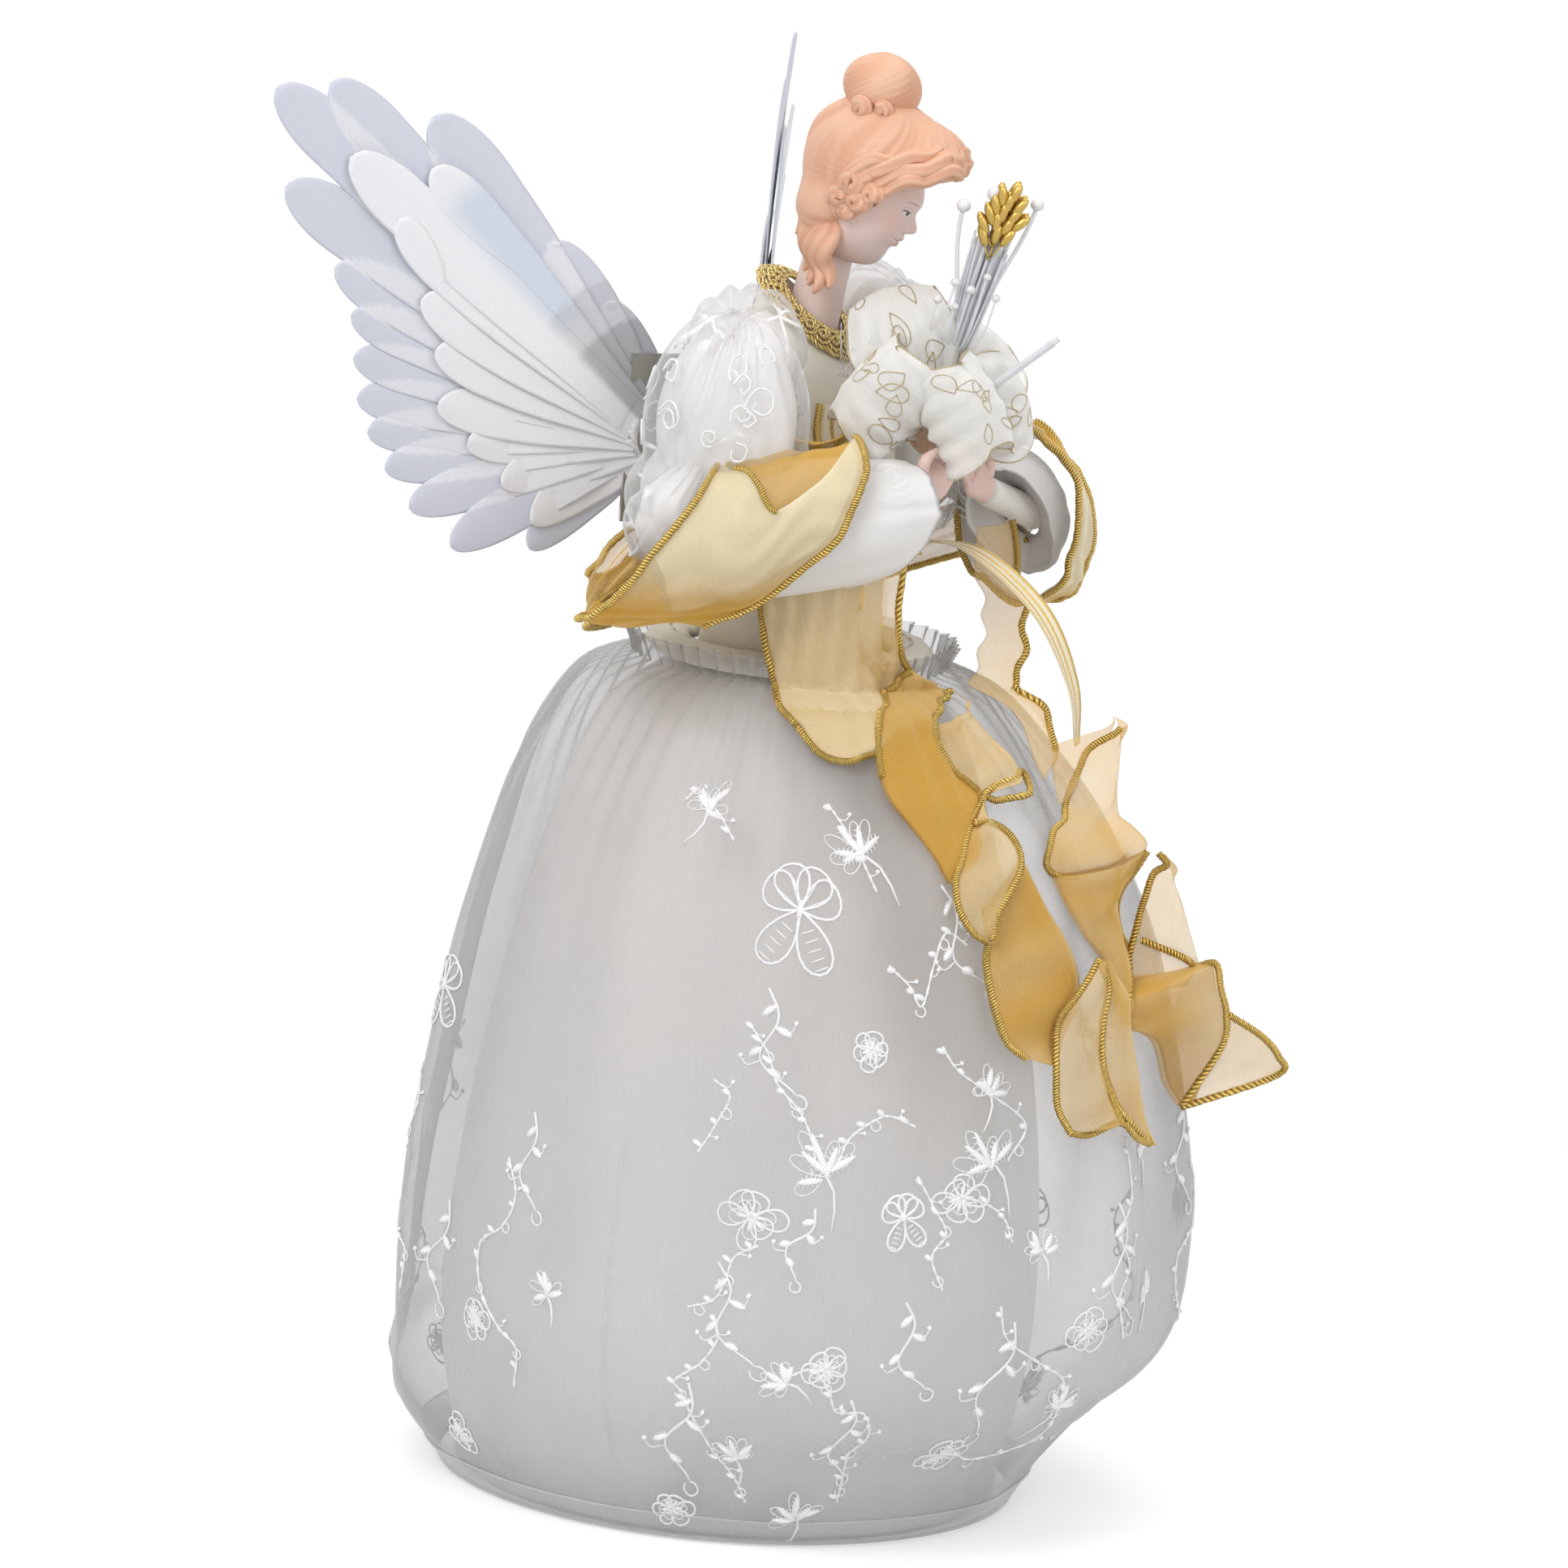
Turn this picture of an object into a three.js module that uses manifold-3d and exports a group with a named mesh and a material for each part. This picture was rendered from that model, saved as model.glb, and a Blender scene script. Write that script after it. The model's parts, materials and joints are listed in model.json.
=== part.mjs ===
// Angel tree topper, in millimetres, +Z up.
// The origin is the centre of the support cone's base rim, on the surface that it stands on.
// The angel faces -Y, and +X is the angel's left.

import * as THREE from 'three';
import { mergeVertices } from 'three/addons/utils/BufferGeometryUtils.js';
import Module from 'manifold-3d';

const wasm = await Module();
wasm.setup();

// Gaps and walls
const seatGap = 0.3;
const clothWall = 1.2;
const cutOverrun = 2;

// Support cone, which slips over the top of the tree
const coneBaseRadius = 74;
const coneTopRadius = 24;
const coneHeight = 230;
const coneWall = 1.6;
const coneFlangeWidth = 10;
const coneFlangeThickness = 3;
const conePlateThickness = 2;
const coneHoleRadius = 9;

// Battery unit, on a shelf inside the back of the cone
const batteryLength = 50.5;
const batteryRadius = 7.25;
const boxWall = 1.5;
const boxConeGap = 7.5;
const shelfThickness = 1.6;
const shelfLip = 8.4;
const doorThickness = 1.6;
const doorKnuckleRadius = 1.2;
const contactThickness = 0.6;
const springLength = 3;
const springRadius = 3;
const sliderLength = 6;
const sliderWidth = 3;
const sliderHeight = 2.4;
const sliderTravel = 4;
const leadRadius = 1.1;

// Light unit, under the cone's top plate
const housingRadius = 14;
const housingHeight = 24;
const housingWall = 1.5;
const housingFlangeRadius = 21;
const housingFlangeThickness = 2;
const boardThickness = 1.2;
const lensRadius = 3.5;
const lensToFibre = 3;
const ferruleWall = 0.9;
const ferruleLength = 13;
const harnessRadius = 3;
const screwRadius = 1.2;
const screwHeadRadius = 2.6;
const screwHeadHeight = 1.4;
const housingScrewOffset = 17.5;

// Body and bodice
const waistRise = 3;
const torsoHeight = 70;
const torsoHalfWidth = 29;
const torsoHalfDepth = 20;
const bodiceEase = 0.5;
const bodiceWall = 2;
const bandHeight = 6.7;
const necklineRise = 98.5;
const necklineHalfWidth = 16;
const necklineHalfDepth = 15.5;
const necklineBack = 3.5;
const necklineTilt = THREE.MathUtils.degToRad(38);
const necklineTurn = THREE.MathUtils.degToRad(18);
const collarHalfWidth = 3.8;
const collarHalfThickness = 1.5;

// Head and shoulder plate
const headHeight = 40;
const headRise = 136;
const headForward = 15;
const headAside = 3;
const headBow = THREE.MathUtils.degToRad(38);
const headTurn = THREE.MathUtils.degToRad(26);
const shoulderPlateRise = 16;
const neckRadius = 6.6;

// Arms and sleeves
const upperArmRadius = 6;
const wristRadius = 4;
const handLength = 21;
const handWidth = 12;
const handThickness = 6;
const puffHalfWidth = 18;
const puffHalfDepth = 25;
const puffHalfHeight = 33;
const sleeveRadius = 16.5;
const sleeveSlantShare = 0.6;
const shawlFlare = 5;
const shawlBackHeight = 15;
const shawlBackDrop = 23.2;
const shawlBackRadius = 43;

// Skirts
const liningTopRadius = 29.5;
const liningFullnessDepth = 23;
const skirtHemGap = 6;
const skirtWaistRadius = 42;
const skirtFullnessDepth = 41;
const skirtForwardDepth = 17;
const foldDepth = 5;
const hemLift = 0.8;
const headerHeight = 7;
const headerFlare = 2.5;

// Shawl tails and ribbons
const tailWidth = 34;
const tailRuffle = 5;
const tailLift = 3;
const tailClearance = 2.4;
const streamerWidth = 7;
const bowSpread = 12;

// Bouquet
const petalLength = 30;
const petalWidth = 31;
const petalThickness = 23;
const knotRadius = 5;
const sprayHeight = 28.5;
const sprayWidth = 11;
const sprayDepth = 6;
const sprayTurn = THREE.MathUtils.degToRad(50);
const strandRadius = 0.9;
const pearlRadius = 2.1;
const rodRadius = 1;
const rodLength = 41;
const berryLength = 6;
const berryRadius = 1.7;

// Wings
const wingSweep = THREE.MathUtils.degToRad(31);
const wingHingeX = 8.4;
const wingHingeY = 26;
const wingLength = 151;
const featherHalfWidth = 8;
const wingSheetThickness = 0.5;
const wingFanOut = 18;
const wingFanRise = 61;
const wingRootRadius = 24;
const stayRadius = 1.6;
const stayPinRadius = 0.9;
const stayFlangeLength = 26;
const stayFlangeThickness = 1.2;
const stayHeight = 47;
const bracketHalfWidth = 12;
const bracketThickness = 1.2;
const bracketOverhang = 3.4;
const lugThickness = 2;
const wingScrewLength = 9;
const wingScrewSpacing = 26;

// Places worked out from the sizes above
const waistHeight = coneHeight + waistRise;
const torsoBase = coneHeight + seatGap;
const torsoTop = torsoBase + torsoHeight;
const bodiceGrowth = bodiceEase + bodiceWall;
const skirtHemRadius = coneBaseRadius + skirtHemGap;

// Materials

function finish(color, roughness, metalness = 0) {
  return new THREE.MeshStandardMaterial({ color, roughness, metalness });
}

const card = finish(0xe9e3d6, 0.9);
const moulded = finish(0xf1efe9, 0.5);
const metal = finish(0xb9babd, 0.35, 1);
const copper = finish(0x2c6b3c, 0.6);
const cell = finish(0x54585f, 0.4, 0.4);
const wire = finish(0xe8e8e4, 0.5);
const clearPlastic = finish(0xd9dde2, 0.15);
const porcelain = finish(0xecc3a6, 0.45);
const foam = finish(0xf3efe6, 0.9);
const satin = finish(0xf7f3ea, 0.4);
const organza = finish(0xe6e8ea, 0.5);
const goldOrganza = finish(0xe6b566, 0.5);
const goldBraid = finish(0xb8933f, 0.35, 0.8);
const ivoryRibbon = finish(0xf2e8d6, 0.4);
const featherFilm = finish(0xd9dce8, 0.35);
const pearl = finish(0xf6f2ea, 0.25);

// Shape helpers

// Puts the faces of a closed solid outwards and keeps its positions only.
function facesOut(geometry) {
  const bare = geometry.clone();
  bare.deleteAttribute('normal');
  bare.deleteAttribute('uv');
  const merged = mergeVertices(bare);
  const points = merged.attributes.position;
  const index = Array.from(merged.index.array);
  const corners = [new THREE.Vector3(), new THREE.Vector3(), new THREE.Vector3()];
  let volume = 0;
  for (let i = 0; i < index.length; i += 3) {
    corners.forEach((corner, k) => corner.fromBufferAttribute(points, index[i + k]));
    volume += corners[0].dot(corners[1].clone().cross(corners[2]));
  }
  if (volume < 0) {
    for (let i = 0; i < index.length; i += 3) {
      [index[i], index[i + 1]] = [index[i + 1], index[i]];
    }
  }
  merged.setIndex(index);
  merged.computeVertexNormals();
  return merged;
}

function solidFrom(points, faces) {
  const geometry = new THREE.BufferGeometry().setFromPoints(points);
  geometry.setIndex(faces);
  return facesOut(geometry);
}

// A closed solid through rings of points. Its ends are capped, or its last ring joins its first.
function loft(rings, looped = false) {
  const count = rings[0].length;
  const points = rings.flat();
  const faces = [];
  const bands = looped ? rings.length : rings.length - 1;
  for (let row = 0; row < bands; row++) {
    const here = row * count;
    const next = ((row + 1) % rings.length) * count;
    for (let k = 0; k < count; k++) {
      const other = (k + 1) % count;
      faces.push(here + k, here + other, next + other, here + k, next + other, next + k);
    }
  }
  if (!looped) {
    const last = (rings.length - 1) * count;
    const centreOf = (ring) => ring.reduce((sum, p) => sum.add(p), new THREE.Vector3()).divideScalar(count);
    points.push(centreOf(rings[0]), centreOf(rings[rings.length - 1]));
    for (let k = 0; k < count; k++) {
      const other = (k + 1) % count;
      faces.push(other, k, points.length - 2, last + k, last + other, points.length - 1);
    }
  }
  return solidFrom(points, faces);
}

// A cloth shell, open at both ends: the outer rings go up and the inner rings come back down.
function shell(outerRings, innerRings) {
  return loft([...outerRings, ...innerRings.slice().reverse()], true);
}

// A thick sheet over a grid of points: rows along it, each with points across it.
function sheet(rows, thickness) {
  const across = rows[0].length;
  const size = rows.length * across;
  const shifted = (amount) => rows.flatMap((row, i) => row.map((point, k) => {
    const ahead = rows[Math.min(i + 1, rows.length - 1)][k];
    const behind = rows[Math.max(i - 1, 0)][k];
    const left = row[Math.max(k - 1, 0)];
    const right = row[Math.min(k + 1, across - 1)];
    const along = ahead.clone().sub(behind);
    const sideways = right.clone().sub(left);
    return point.clone().addScaledVector(along.cross(sideways).normalize(), amount);
  }));
  const points = [...shifted(thickness / 2), ...shifted(-thickness / 2)];
  const faces = [];
  for (let i = 0; i < rows.length - 1; i++) {
    for (let k = 0; k < across - 1; k++) {
      const a = i * across + k;
      const [b, c, d] = [a + 1, a + across + 1, a + across];
      faces.push(a, b, c, a, c, d);
      faces.push(size + a, size + c, size + b, size + a, size + d, size + c);
    }
  }
  const border = [];
  for (let k = 0; k < across - 1; k++) {
    border.push(k);
  }
  for (let i = 0; i < rows.length - 1; i++) {
    border.push(i * across + across - 1);
  }
  for (let k = across - 1; k > 0; k--) {
    border.push((rows.length - 1) * across + k);
  }
  for (let i = rows.length - 1; i > 0; i--) {
    border.push(i * across);
  }
  border.forEach((p, n) => {
    const q = border[(n + 1) % border.length];
    faces.push(q, p, size + p, q, size + p, size + q);
  });
  return solidFrom(points, faces);
}

// An ellipse of points about a centre, spanned by two half axes.
function ring(centre, halfA, halfB, sides, factor = () => 1) {
  return Array.from({ length: sides }, (_, k) => {
    const angle = (2 * Math.PI * k) / sides;
    const scale = factor(angle);
    return centre.clone()
      .addScaledVector(halfA, Math.cos(angle) * scale)
      .addScaledVector(halfB, Math.sin(angle) * scale);
  });
}

function levelRing(height, halfWidth, halfDepth, sides) {
  const halfA = new THREE.Vector3(halfWidth, 0, 0);
  const halfB = new THREE.Vector3(0, halfDepth, 0);
  return ring(new THREE.Vector3(0, 0, height), halfA, halfB, sides);
}

// A turned solid about Z from a profile of radius and height pairs that closes on itself.
function turned(profile, segments) {
  const outline = [...profile, profile[0]].map(([radius, height]) => new THREE.Vector2(radius, height));
  return facesOut(new THREE.LatheGeometry(outline, segments).rotateX(Math.PI / 2));
}

function box(width, depth, height) {
  return facesOut(new THREE.BoxGeometry(width, depth, height));
}

function cylinder(radius, length, segments = 16) {
  return facesOut(new THREE.CylinderGeometry(radius, radius, length, segments).rotateX(Math.PI / 2));
}

function ellipsoid(halfX, halfY, halfZ, around = 16, down = 10) {
  const ball = new THREE.SphereGeometry(1, around, down).rotateX(Math.PI / 2);
  return facesOut(ball.scale(halfX, halfY, halfZ));
}

// A round tube along a smooth curve through points.
function tube(points, radius, sides, steps) {
  const section = new THREE.Shape();
  for (let k = 0; k < sides; k++) {
    const angle = (2 * Math.PI * k) / sides;
    section[k ? 'lineTo' : 'moveTo'](radius * Math.cos(angle), radius * Math.sin(angle));
  }
  section.closePath();
  const extrudePath = new THREE.CatmullRomCurve3(points);
  return facesOut(new THREE.ExtrudeGeometry(section, { steps, extrudePath, bevelEnabled: false }));
}

// A flat outline in X and Z, given a thickness that is centred on Y = 0.
function plate(outline, thickness) {
  const shape = new THREE.Shape(outline);
  const geometry = new THREE.ExtrudeGeometry(shape, { depth: thickness, bevelEnabled: false });
  return facesOut(geometry.rotateX(Math.PI / 2).translate(0, thickness / 2, 0));
}

function toManifold(geometry) {
  const vertProperties = Float32Array.from(geometry.attributes.position.array);
  const triVerts = Uint32Array.from(geometry.index.array);
  return new wasm.Manifold(new wasm.Mesh({ numProp: 3, vertProperties, triVerts }));
}

function fromManifold(solid) {
  const { vertProperties, triVerts } = solid.getMesh();
  const geometry = new THREE.BufferGeometry();
  geometry.setAttribute('position', new THREE.BufferAttribute(Float32Array.from(vertProperties), 3));
  geometry.setIndex(Array.from(triVerts));
  return facesOut(geometry);
}

function cut(geometry, ...tools) {
  const solid = tools.reduce((rest, tool) => rest.subtract(toManifold(tool)), toManifold(geometry));
  return fromManifold(solid);
}

function join(first, ...others) {
  const solid = others.reduce((sum, part) => sum.add(toManifold(part)), toManifold(first));
  return fromManifold(solid);
}

// Straight interpolation in a table of rows that start with a share.
function tableAt(table, share, column = 1) {
  const last = table.length - 1;
  const next = Math.min(Math.max(table.findIndex((row) => row[0] >= share), 1), last);
  const row = share > table[last][0] ? last : next;
  const [low, high] = [table[row - 1], table[row]];
  const part = THREE.MathUtils.clamp((share - low[0]) / (high[0] - low[0]), 0, 1);
  return THREE.MathUtils.lerp(low[column], high[column], part);
}

const model = new THREE.Group();

function add(name, geometry, material, parent = model) {
  const mesh = new THREE.Mesh(geometry, material);
  mesh.name = name;
  parent.add(mesh);
  return mesh;
}

// Support cone

const coneSides = 28;

function coneRadiusAt(height) {
  return THREE.MathUtils.lerp(coneBaseRadius, coneTopRadius, height / coneHeight);
}

function coneInnerRadiusAt(height) {
  return coneRadiusAt(height) - coneWall;
}

// The inside's flats lie nearer the axis than its corners.
function coneRoomAt(height) {
  return coneInnerRadiusAt(height) * Math.cos(Math.PI / coneSides);
}

function housingScrewHoles(radius) {
  const length = coneHeight;
  return [-1, 1].map((side) => cylinder(radius, length, 8)
    .translate(side * housingScrewOffset, 0, coneHeight - length / 4));
}

function supportCone() {
  const plateBottom = coneHeight - conePlateThickness;
  const shellOfCone = turned([
    [coneBaseRadius - coneFlangeWidth, 0],
    [coneBaseRadius, 0],
    [coneTopRadius, coneHeight],
    [coneHoleRadius, coneHeight],
    [coneHoleRadius, plateBottom],
    [coneInnerRadiusAt(plateBottom), plateBottom],
    [coneInnerRadiusAt(coneFlangeThickness), coneFlangeThickness],
    [coneBaseRadius - coneFlangeWidth, coneFlangeThickness],
  ], coneSides);
  return cut(shellOfCone, ...housingScrewHoles(screwRadius + seatGap));
}

// Battery unit: two cells in a box that opens towards the cone's axis

const shelfBottom = coneFlangeThickness + seatGap;
const boxBottom = shelfBottom + shelfThickness + seatGap;
const cellPitch = 2 * batteryRadius + seatGap;
const boxInnerLength = batteryLength + 2 * (contactThickness + 2 * seatGap) + springLength;
const boxInnerHeight = 2 * cellPitch + seatGap;
const boxInnerDepth = 2 * batteryRadius + 2 * seatGap;
const boxLength = boxInnerLength + 2 * boxWall;
const boxHeight = boxInnerHeight + 2 * boxWall;
const boxDepth = boxInnerDepth + boxWall;
const boxTop = boxBottom + boxHeight;
const boxBackY = Math.sqrt(coneRoomAt(boxTop) ** 2 - (boxLength / 2) ** 2) - boxConeGap;
const boxFrontY = boxBackY - boxDepth;
const shelfFrontY = boxFrontY - shelfLip;
const cellX = (springLength + seatGap) / 2;
const cellY = boxFrontY + boxInnerDepth / 2;
const leadX = -boxLength / 4;

function batteryShelf() {
  const radius = coneRoomAt(shelfBottom + shelfThickness) - seatGap;
  const halfChord = Math.acos(shelfFrontY / radius);
  const outline = new THREE.Shape();
  outline.absarc(0, 0, radius, Math.PI / 2 - halfChord, Math.PI / 2 + halfChord);
  outline.closePath();
  const settings = { depth: shelfThickness, bevelEnabled: false, curveSegments: 10 };
  return facesOut(new THREE.ExtrudeGeometry(outline, settings));
}

function batteryBox() {
  const outside = box(boxLength, boxDepth, boxHeight)
    .translate(0, boxFrontY + boxDepth / 2, boxBottom + boxHeight / 2);
  const inside = box(boxInnerLength, boxInnerDepth + cutOverrun, boxInnerHeight)
    .translate(0, boxFrontY + (boxInnerDepth - cutOverrun) / 2, boxBottom + boxHeight / 2);
  const slotLength = sliderLength + sliderTravel + 2 * seatGap;
  const slot = box(slotLength, sliderWidth + 2 * seatGap, 2 * boxWall + seatGap)
    .translate(boxLength / 4 + sliderTravel / 2, cellY, boxTop);
  const leadHole = cylinder(leadRadius + seatGap, 4 * boxWall, 8).translate(leadX, cellY, boxTop);
  return cut(outside, inside, slot, leadHole);
}

function batteryDoor() {
  const leaf = box(boxLength, doorThickness, boxHeight - doorKnuckleRadius)
    .translate(0, -doorThickness / 2 - seatGap, (boxHeight + doorKnuckleRadius) / 2);
  const knuckle = facesOut(cylinder(doorKnuckleRadius, boxLength, 10).rotateY(Math.PI / 2))
    .translate(0, -doorKnuckleRadius - seatGap, doorKnuckleRadius);
  return join(leaf, knuckle);
}

function springContact() {
  const end = box(contactThickness, batteryRadius, boxInnerHeight - 2 * seatGap);
  const coils = [-1, 1].map((side) => cylinder(springRadius, springLength, 12)
    .rotateY(Math.PI / 2)
    .translate(springLength / 2, 0, (side * cellPitch) / 2));
  return join(end, ...coils);
}

function switchSlider() {
  const head = box(sliderLength, sliderWidth, sliderHeight).translate(0, 0, sliderHeight / 2 + seatGap);
  const footDepth = boxWall - seatGap;
  const foot = box(sliderLength / 2, sliderWidth - seatGap, footDepth + 2 * seatGap)
    .translate(0, 0, -footDepth / 2 + seatGap);
  return join(head, foot);
}

function addBatteryUnit() {
  add('battery_shelf', batteryShelf(), card).position.z = shelfBottom;
  add('battery_box', batteryBox(), moulded);
  add('battery_door', batteryDoor(), moulded).position.set(0, boxFrontY, boxBottom);
  ['lower', 'upper'].forEach((level, n) => {
    const rod = facesOut(cylinder(batteryRadius, batteryLength, 14).rotateY(Math.PI / 2));
    const z = boxBottom + boxWall + seatGap + batteryRadius + n * cellPitch;
    add(`battery_cell_${level}`, rod, cell).position.set(cellX, cellY, z);
  });
  const middle = boxBottom + boxHeight / 2;
  const endX = boxInnerLength / 2 - seatGap - contactThickness / 2;
  add('battery_spring_contact', springContact(), metal).position.set(-endX, cellY, middle);
  const plateSize = [contactThickness, batteryRadius, boxInnerHeight - 2 * seatGap];
  add('battery_plate_contact', box(...plateSize), metal).position.set(endX, cellY, middle);
  add('switch_slider', switchSlider(), moulded).position.set(boxLength / 4, cellY, boxTop);
}

// Light unit: a lamp board under a ferrule that gathers the light fibres

const housingTop = coneHeight - conePlateThickness - seatGap;
const ferruleOuterRadius = harnessRadius + seatGap + ferruleWall;
const boardBottom = housingTop - housingHeight + housingWall;
const lensBase = boardBottom + boardThickness + seatGap;
const ferruleBase = lensBase + lensRadius + lensToFibre;
const harnessBase = ferruleBase + seatGap;

function lightHousing() {
  const inner = housingRadius - housingWall;
  const cup = turned([
    [ferruleOuterRadius + seatGap, housingTop],
    [housingFlangeRadius, housingTop],
    [housingFlangeRadius, housingTop - housingFlangeThickness],
    [housingRadius, housingTop - housingFlangeThickness],
    [housingRadius, housingTop - housingHeight],
    [inner, housingTop - housingHeight],
    [inner, housingTop - housingFlangeThickness],
    [ferruleOuterRadius + seatGap, housingTop - housingFlangeThickness],
  ], 16);
  return cut(cup, ...housingScrewHoles(screwRadius + seatGap));
}

function screw(length) {
  return turned([
    [0, 0],
    [screwHeadRadius, 0],
    [screwHeadRadius, screwHeadHeight],
    [screwRadius, screwHeadHeight],
    [screwRadius, screwHeadHeight + length],
    [0, screwHeadHeight + length],
  ], 7);
}

const lampLens = () => turned([
  [0, 0],
  [lensRadius, 0],
  [lensRadius * Math.cos(Math.PI / 6), lensRadius * Math.sin(Math.PI / 6)],
  [lensRadius * Math.cos(Math.PI / 3), lensRadius * Math.sin(Math.PI / 3)],
  [0, lensRadius],
], 8);

const ferrule = () => turned([
  [harnessRadius + seatGap, 0],
  [ferruleOuterRadius, 0],
  [ferruleOuterRadius, ferruleLength],
  [harnessRadius + seatGap, ferruleLength],
], 14);

// The harness climbs the middle of the body and comes out of the bodice's front to the bouquet.
function harness(radius, overrun = 0) {
  const route = [
    new THREE.Vector3(0, 0, harnessBase),
    bodyPlace([0, 0, 0.12]),
    bodyPlace([0, 0, 0.5]),
    bodyPlace([0, -0.28, 0.75]),
    bodyPlace([0, -1.05, 0.96]),
  ];
  const knotSide = bouquetKnotPlace().clone();
  knotSide.y += knotRadius + seatGap - overrun;
  route.push(knotSide);
  return tube(route, radius, 8, 14);
}

function leadWire() {
  const housingBottom = housingTop - housingHeight;
  const clear = coneInnerRadiusAt(boxTop) - boxBackY;
  const climb = housingBottom - boxTop;
  const top = new THREE.Vector3(leadX / 2, 0, boardBottom - seatGap);
  const exit = new THREE.Vector3(leadX, cellY, boxTop - boxWall + seatGap);
  const route = [
    exit,
    exit.clone().setZ(boxTop + clear),
    new THREE.Vector3(leadX, cellY * 0.86, boxTop + climb * 0.3),
    new THREE.Vector3(leadX * 0.9, cellY * 0.6, boxTop + climb * 0.62),
    new THREE.Vector3(leadX * 0.7, cellY * 0.22, boxTop + climb * 0.9),
    top.clone().setZ(housingBottom),
    top,
  ];
  return tube(route, leadRadius, 6, 18);
}

function addLightUnit() {
  add('light_housing', lightHousing(), moulded);
  const boardRadius = housingRadius - housingWall - seatGap;
  const board = cylinder(boardRadius, boardThickness, 20);
  add('led_board', board, copper).position.z = boardBottom + boardThickness / 2;
  add('led_lens', lampLens(), clearPlastic).position.z = lensBase;
  add('fibre_ferrule', ferrule(), metal).position.z = ferruleBase;
  add('fibre_harness', harness(harnessRadius), clearPlastic);
  add('lead_wire', leadWire(), wire);
  const screwBase = housingTop - housingFlangeThickness - seatGap - screwHeadHeight;
  const screwLength = housingFlangeThickness + conePlateThickness + seatGap;
  const screwAt = (side) => [side * housingScrewOffset, 0, screwBase];
  add('housing_screw_right', screw(screwLength), metal).position.set(...screwAt(-1));
  add('housing_screw_left', screw(screwLength), metal).position.set(...screwAt(1));
}

// Body: a foam core that stands on the cone's top plate

// Places on the figure as shares of its half width, half depth and height above the core's base.
function bodyPlace([widthShare, depthShare, heightShare]) {
  return new THREE.Vector3(
    widthShare * torsoHalfWidth,
    depthShare * torsoHalfDepth,
    torsoBase + heightShare * torsoHeight,
  );
}

// Rows of height share, half width share and half depth share.
const torsoShares = [
  [0, 0.86, 1.1],
  [0.3, 0.88, 1],
  [0.62, 0.97, 1],
  [0.88, 1, 0.9],
  [1, 0.93, 0.7],
];

function torsoRing(heightShare, growth, sides) {
  const halfWidth = tableAt(torsoShares, heightShare, 1) * torsoHalfWidth + growth;
  const halfDepth = tableAt(torsoShares, heightShare, 2) * torsoHalfDepth + growth;
  return levelRing(torsoBase + heightShare * torsoHeight, halfWidth, halfDepth, sides);
}

function torsoSolid(growth = 0) {
  return loft(torsoShares.map(([heightShare]) => torsoRing(heightShare, growth, 18)));
}

function torsoCore() {
  return cut(torsoSolid(), harness(harnessRadius + seatGap, 0), ...wingScrewHoles());
}

// Bodice: the torso's sections, then a shoulder slope that closes on the tilted neckline.

const necklineCentre = () => new THREE.Vector3(0, necklineBack, torsoBase + necklineRise);

function necklineRing(growth, sides) {
  const upright = new THREE.Vector3(0, 0, 1);
  const halfA = new THREE.Vector3(necklineHalfWidth + growth, 0, 0).applyAxisAngle(upright, necklineTurn);
  const halfB = new THREE.Vector3(0, Math.cos(necklineTilt), Math.sin(necklineTilt))
    .multiplyScalar(necklineHalfDepth + growth)
    .applyAxisAngle(upright, necklineTurn);
  return ring(necklineCentre(), halfA, halfB, sides);
}

function bodiceRings(growth, hemRise = 0, sides = 18) {
  const rows = torsoShares.map(([heightShare]) => torsoRing(heightShare, growth, sides));
  rows[0].forEach((point) => { point.z += hemRise; });
  const top = rows[rows.length - 1];
  const neck = necklineRing(growth - bodiceGrowth, sides);
  const slope = [0.35, 0.7].map((part) => top.map((point, k) => {
    const flat = point.clone().lerp(neck[k], part);
    flat.z += (neck[k].z - point.z) * Math.sin(Math.PI * part) * 0.22;
    return flat;
  }));
  return [...rows, ...slope, neck];
}

function bodice() {
  const hem = waistRise + seatGap;
  const cloth = shell(bodiceRings(bodiceGrowth, hem), bodiceRings(bodiceEase, hem));
  const armholes = armSides.map((arm) => armTube(arm, seatGap));
  return cut(cloth, harness(harnessRadius + seatGap, 0), ...armholes, ...wingScrewHoles());
}

function bodyVolume(growth) {
  return loft(bodiceRings(bodiceGrowth + growth));
}

function waistBand() {
  const inner = torsoShares[1][1] * torsoHalfWidth + bodiceGrowth + seatGap;
  const outer = skirtWaistRadius - clothWall - seatGap;
  const crown = (outer - inner) / 4;
  const base = waistHeight;
  return turned([
    [inner, base],
    [outer - crown, base],
    [outer, base + crown],
    [outer, base + bandHeight - crown],
    [outer - crown, base + bandHeight],
    [inner, base + bandHeight],
  ], 26);
}

function collarBraid() {
  const normal = new THREE.Vector3(0, -Math.sin(necklineTilt), Math.cos(necklineTilt))
    .applyAxisAngle(new THREE.Vector3(0, 0, 1), necklineTurn);
  const sections = 24;
  const lift = collarHalfThickness + seatGap;
  const centre = necklineCentre();
  const rings = necklineRing(-bodiceWall / 2, sections).map((point) => {
    const outward = point.clone().sub(centre).normalize().multiplyScalar(collarHalfWidth);
    const up = normal.clone().multiplyScalar(collarHalfThickness);
    return ring(point.clone().addScaledVector(normal, lift), outward, up, 6);
  });
  return loft(rings, true);
}

// Bust: one porcelain casting of head, modelled hair, neck and shoulder plate

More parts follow.
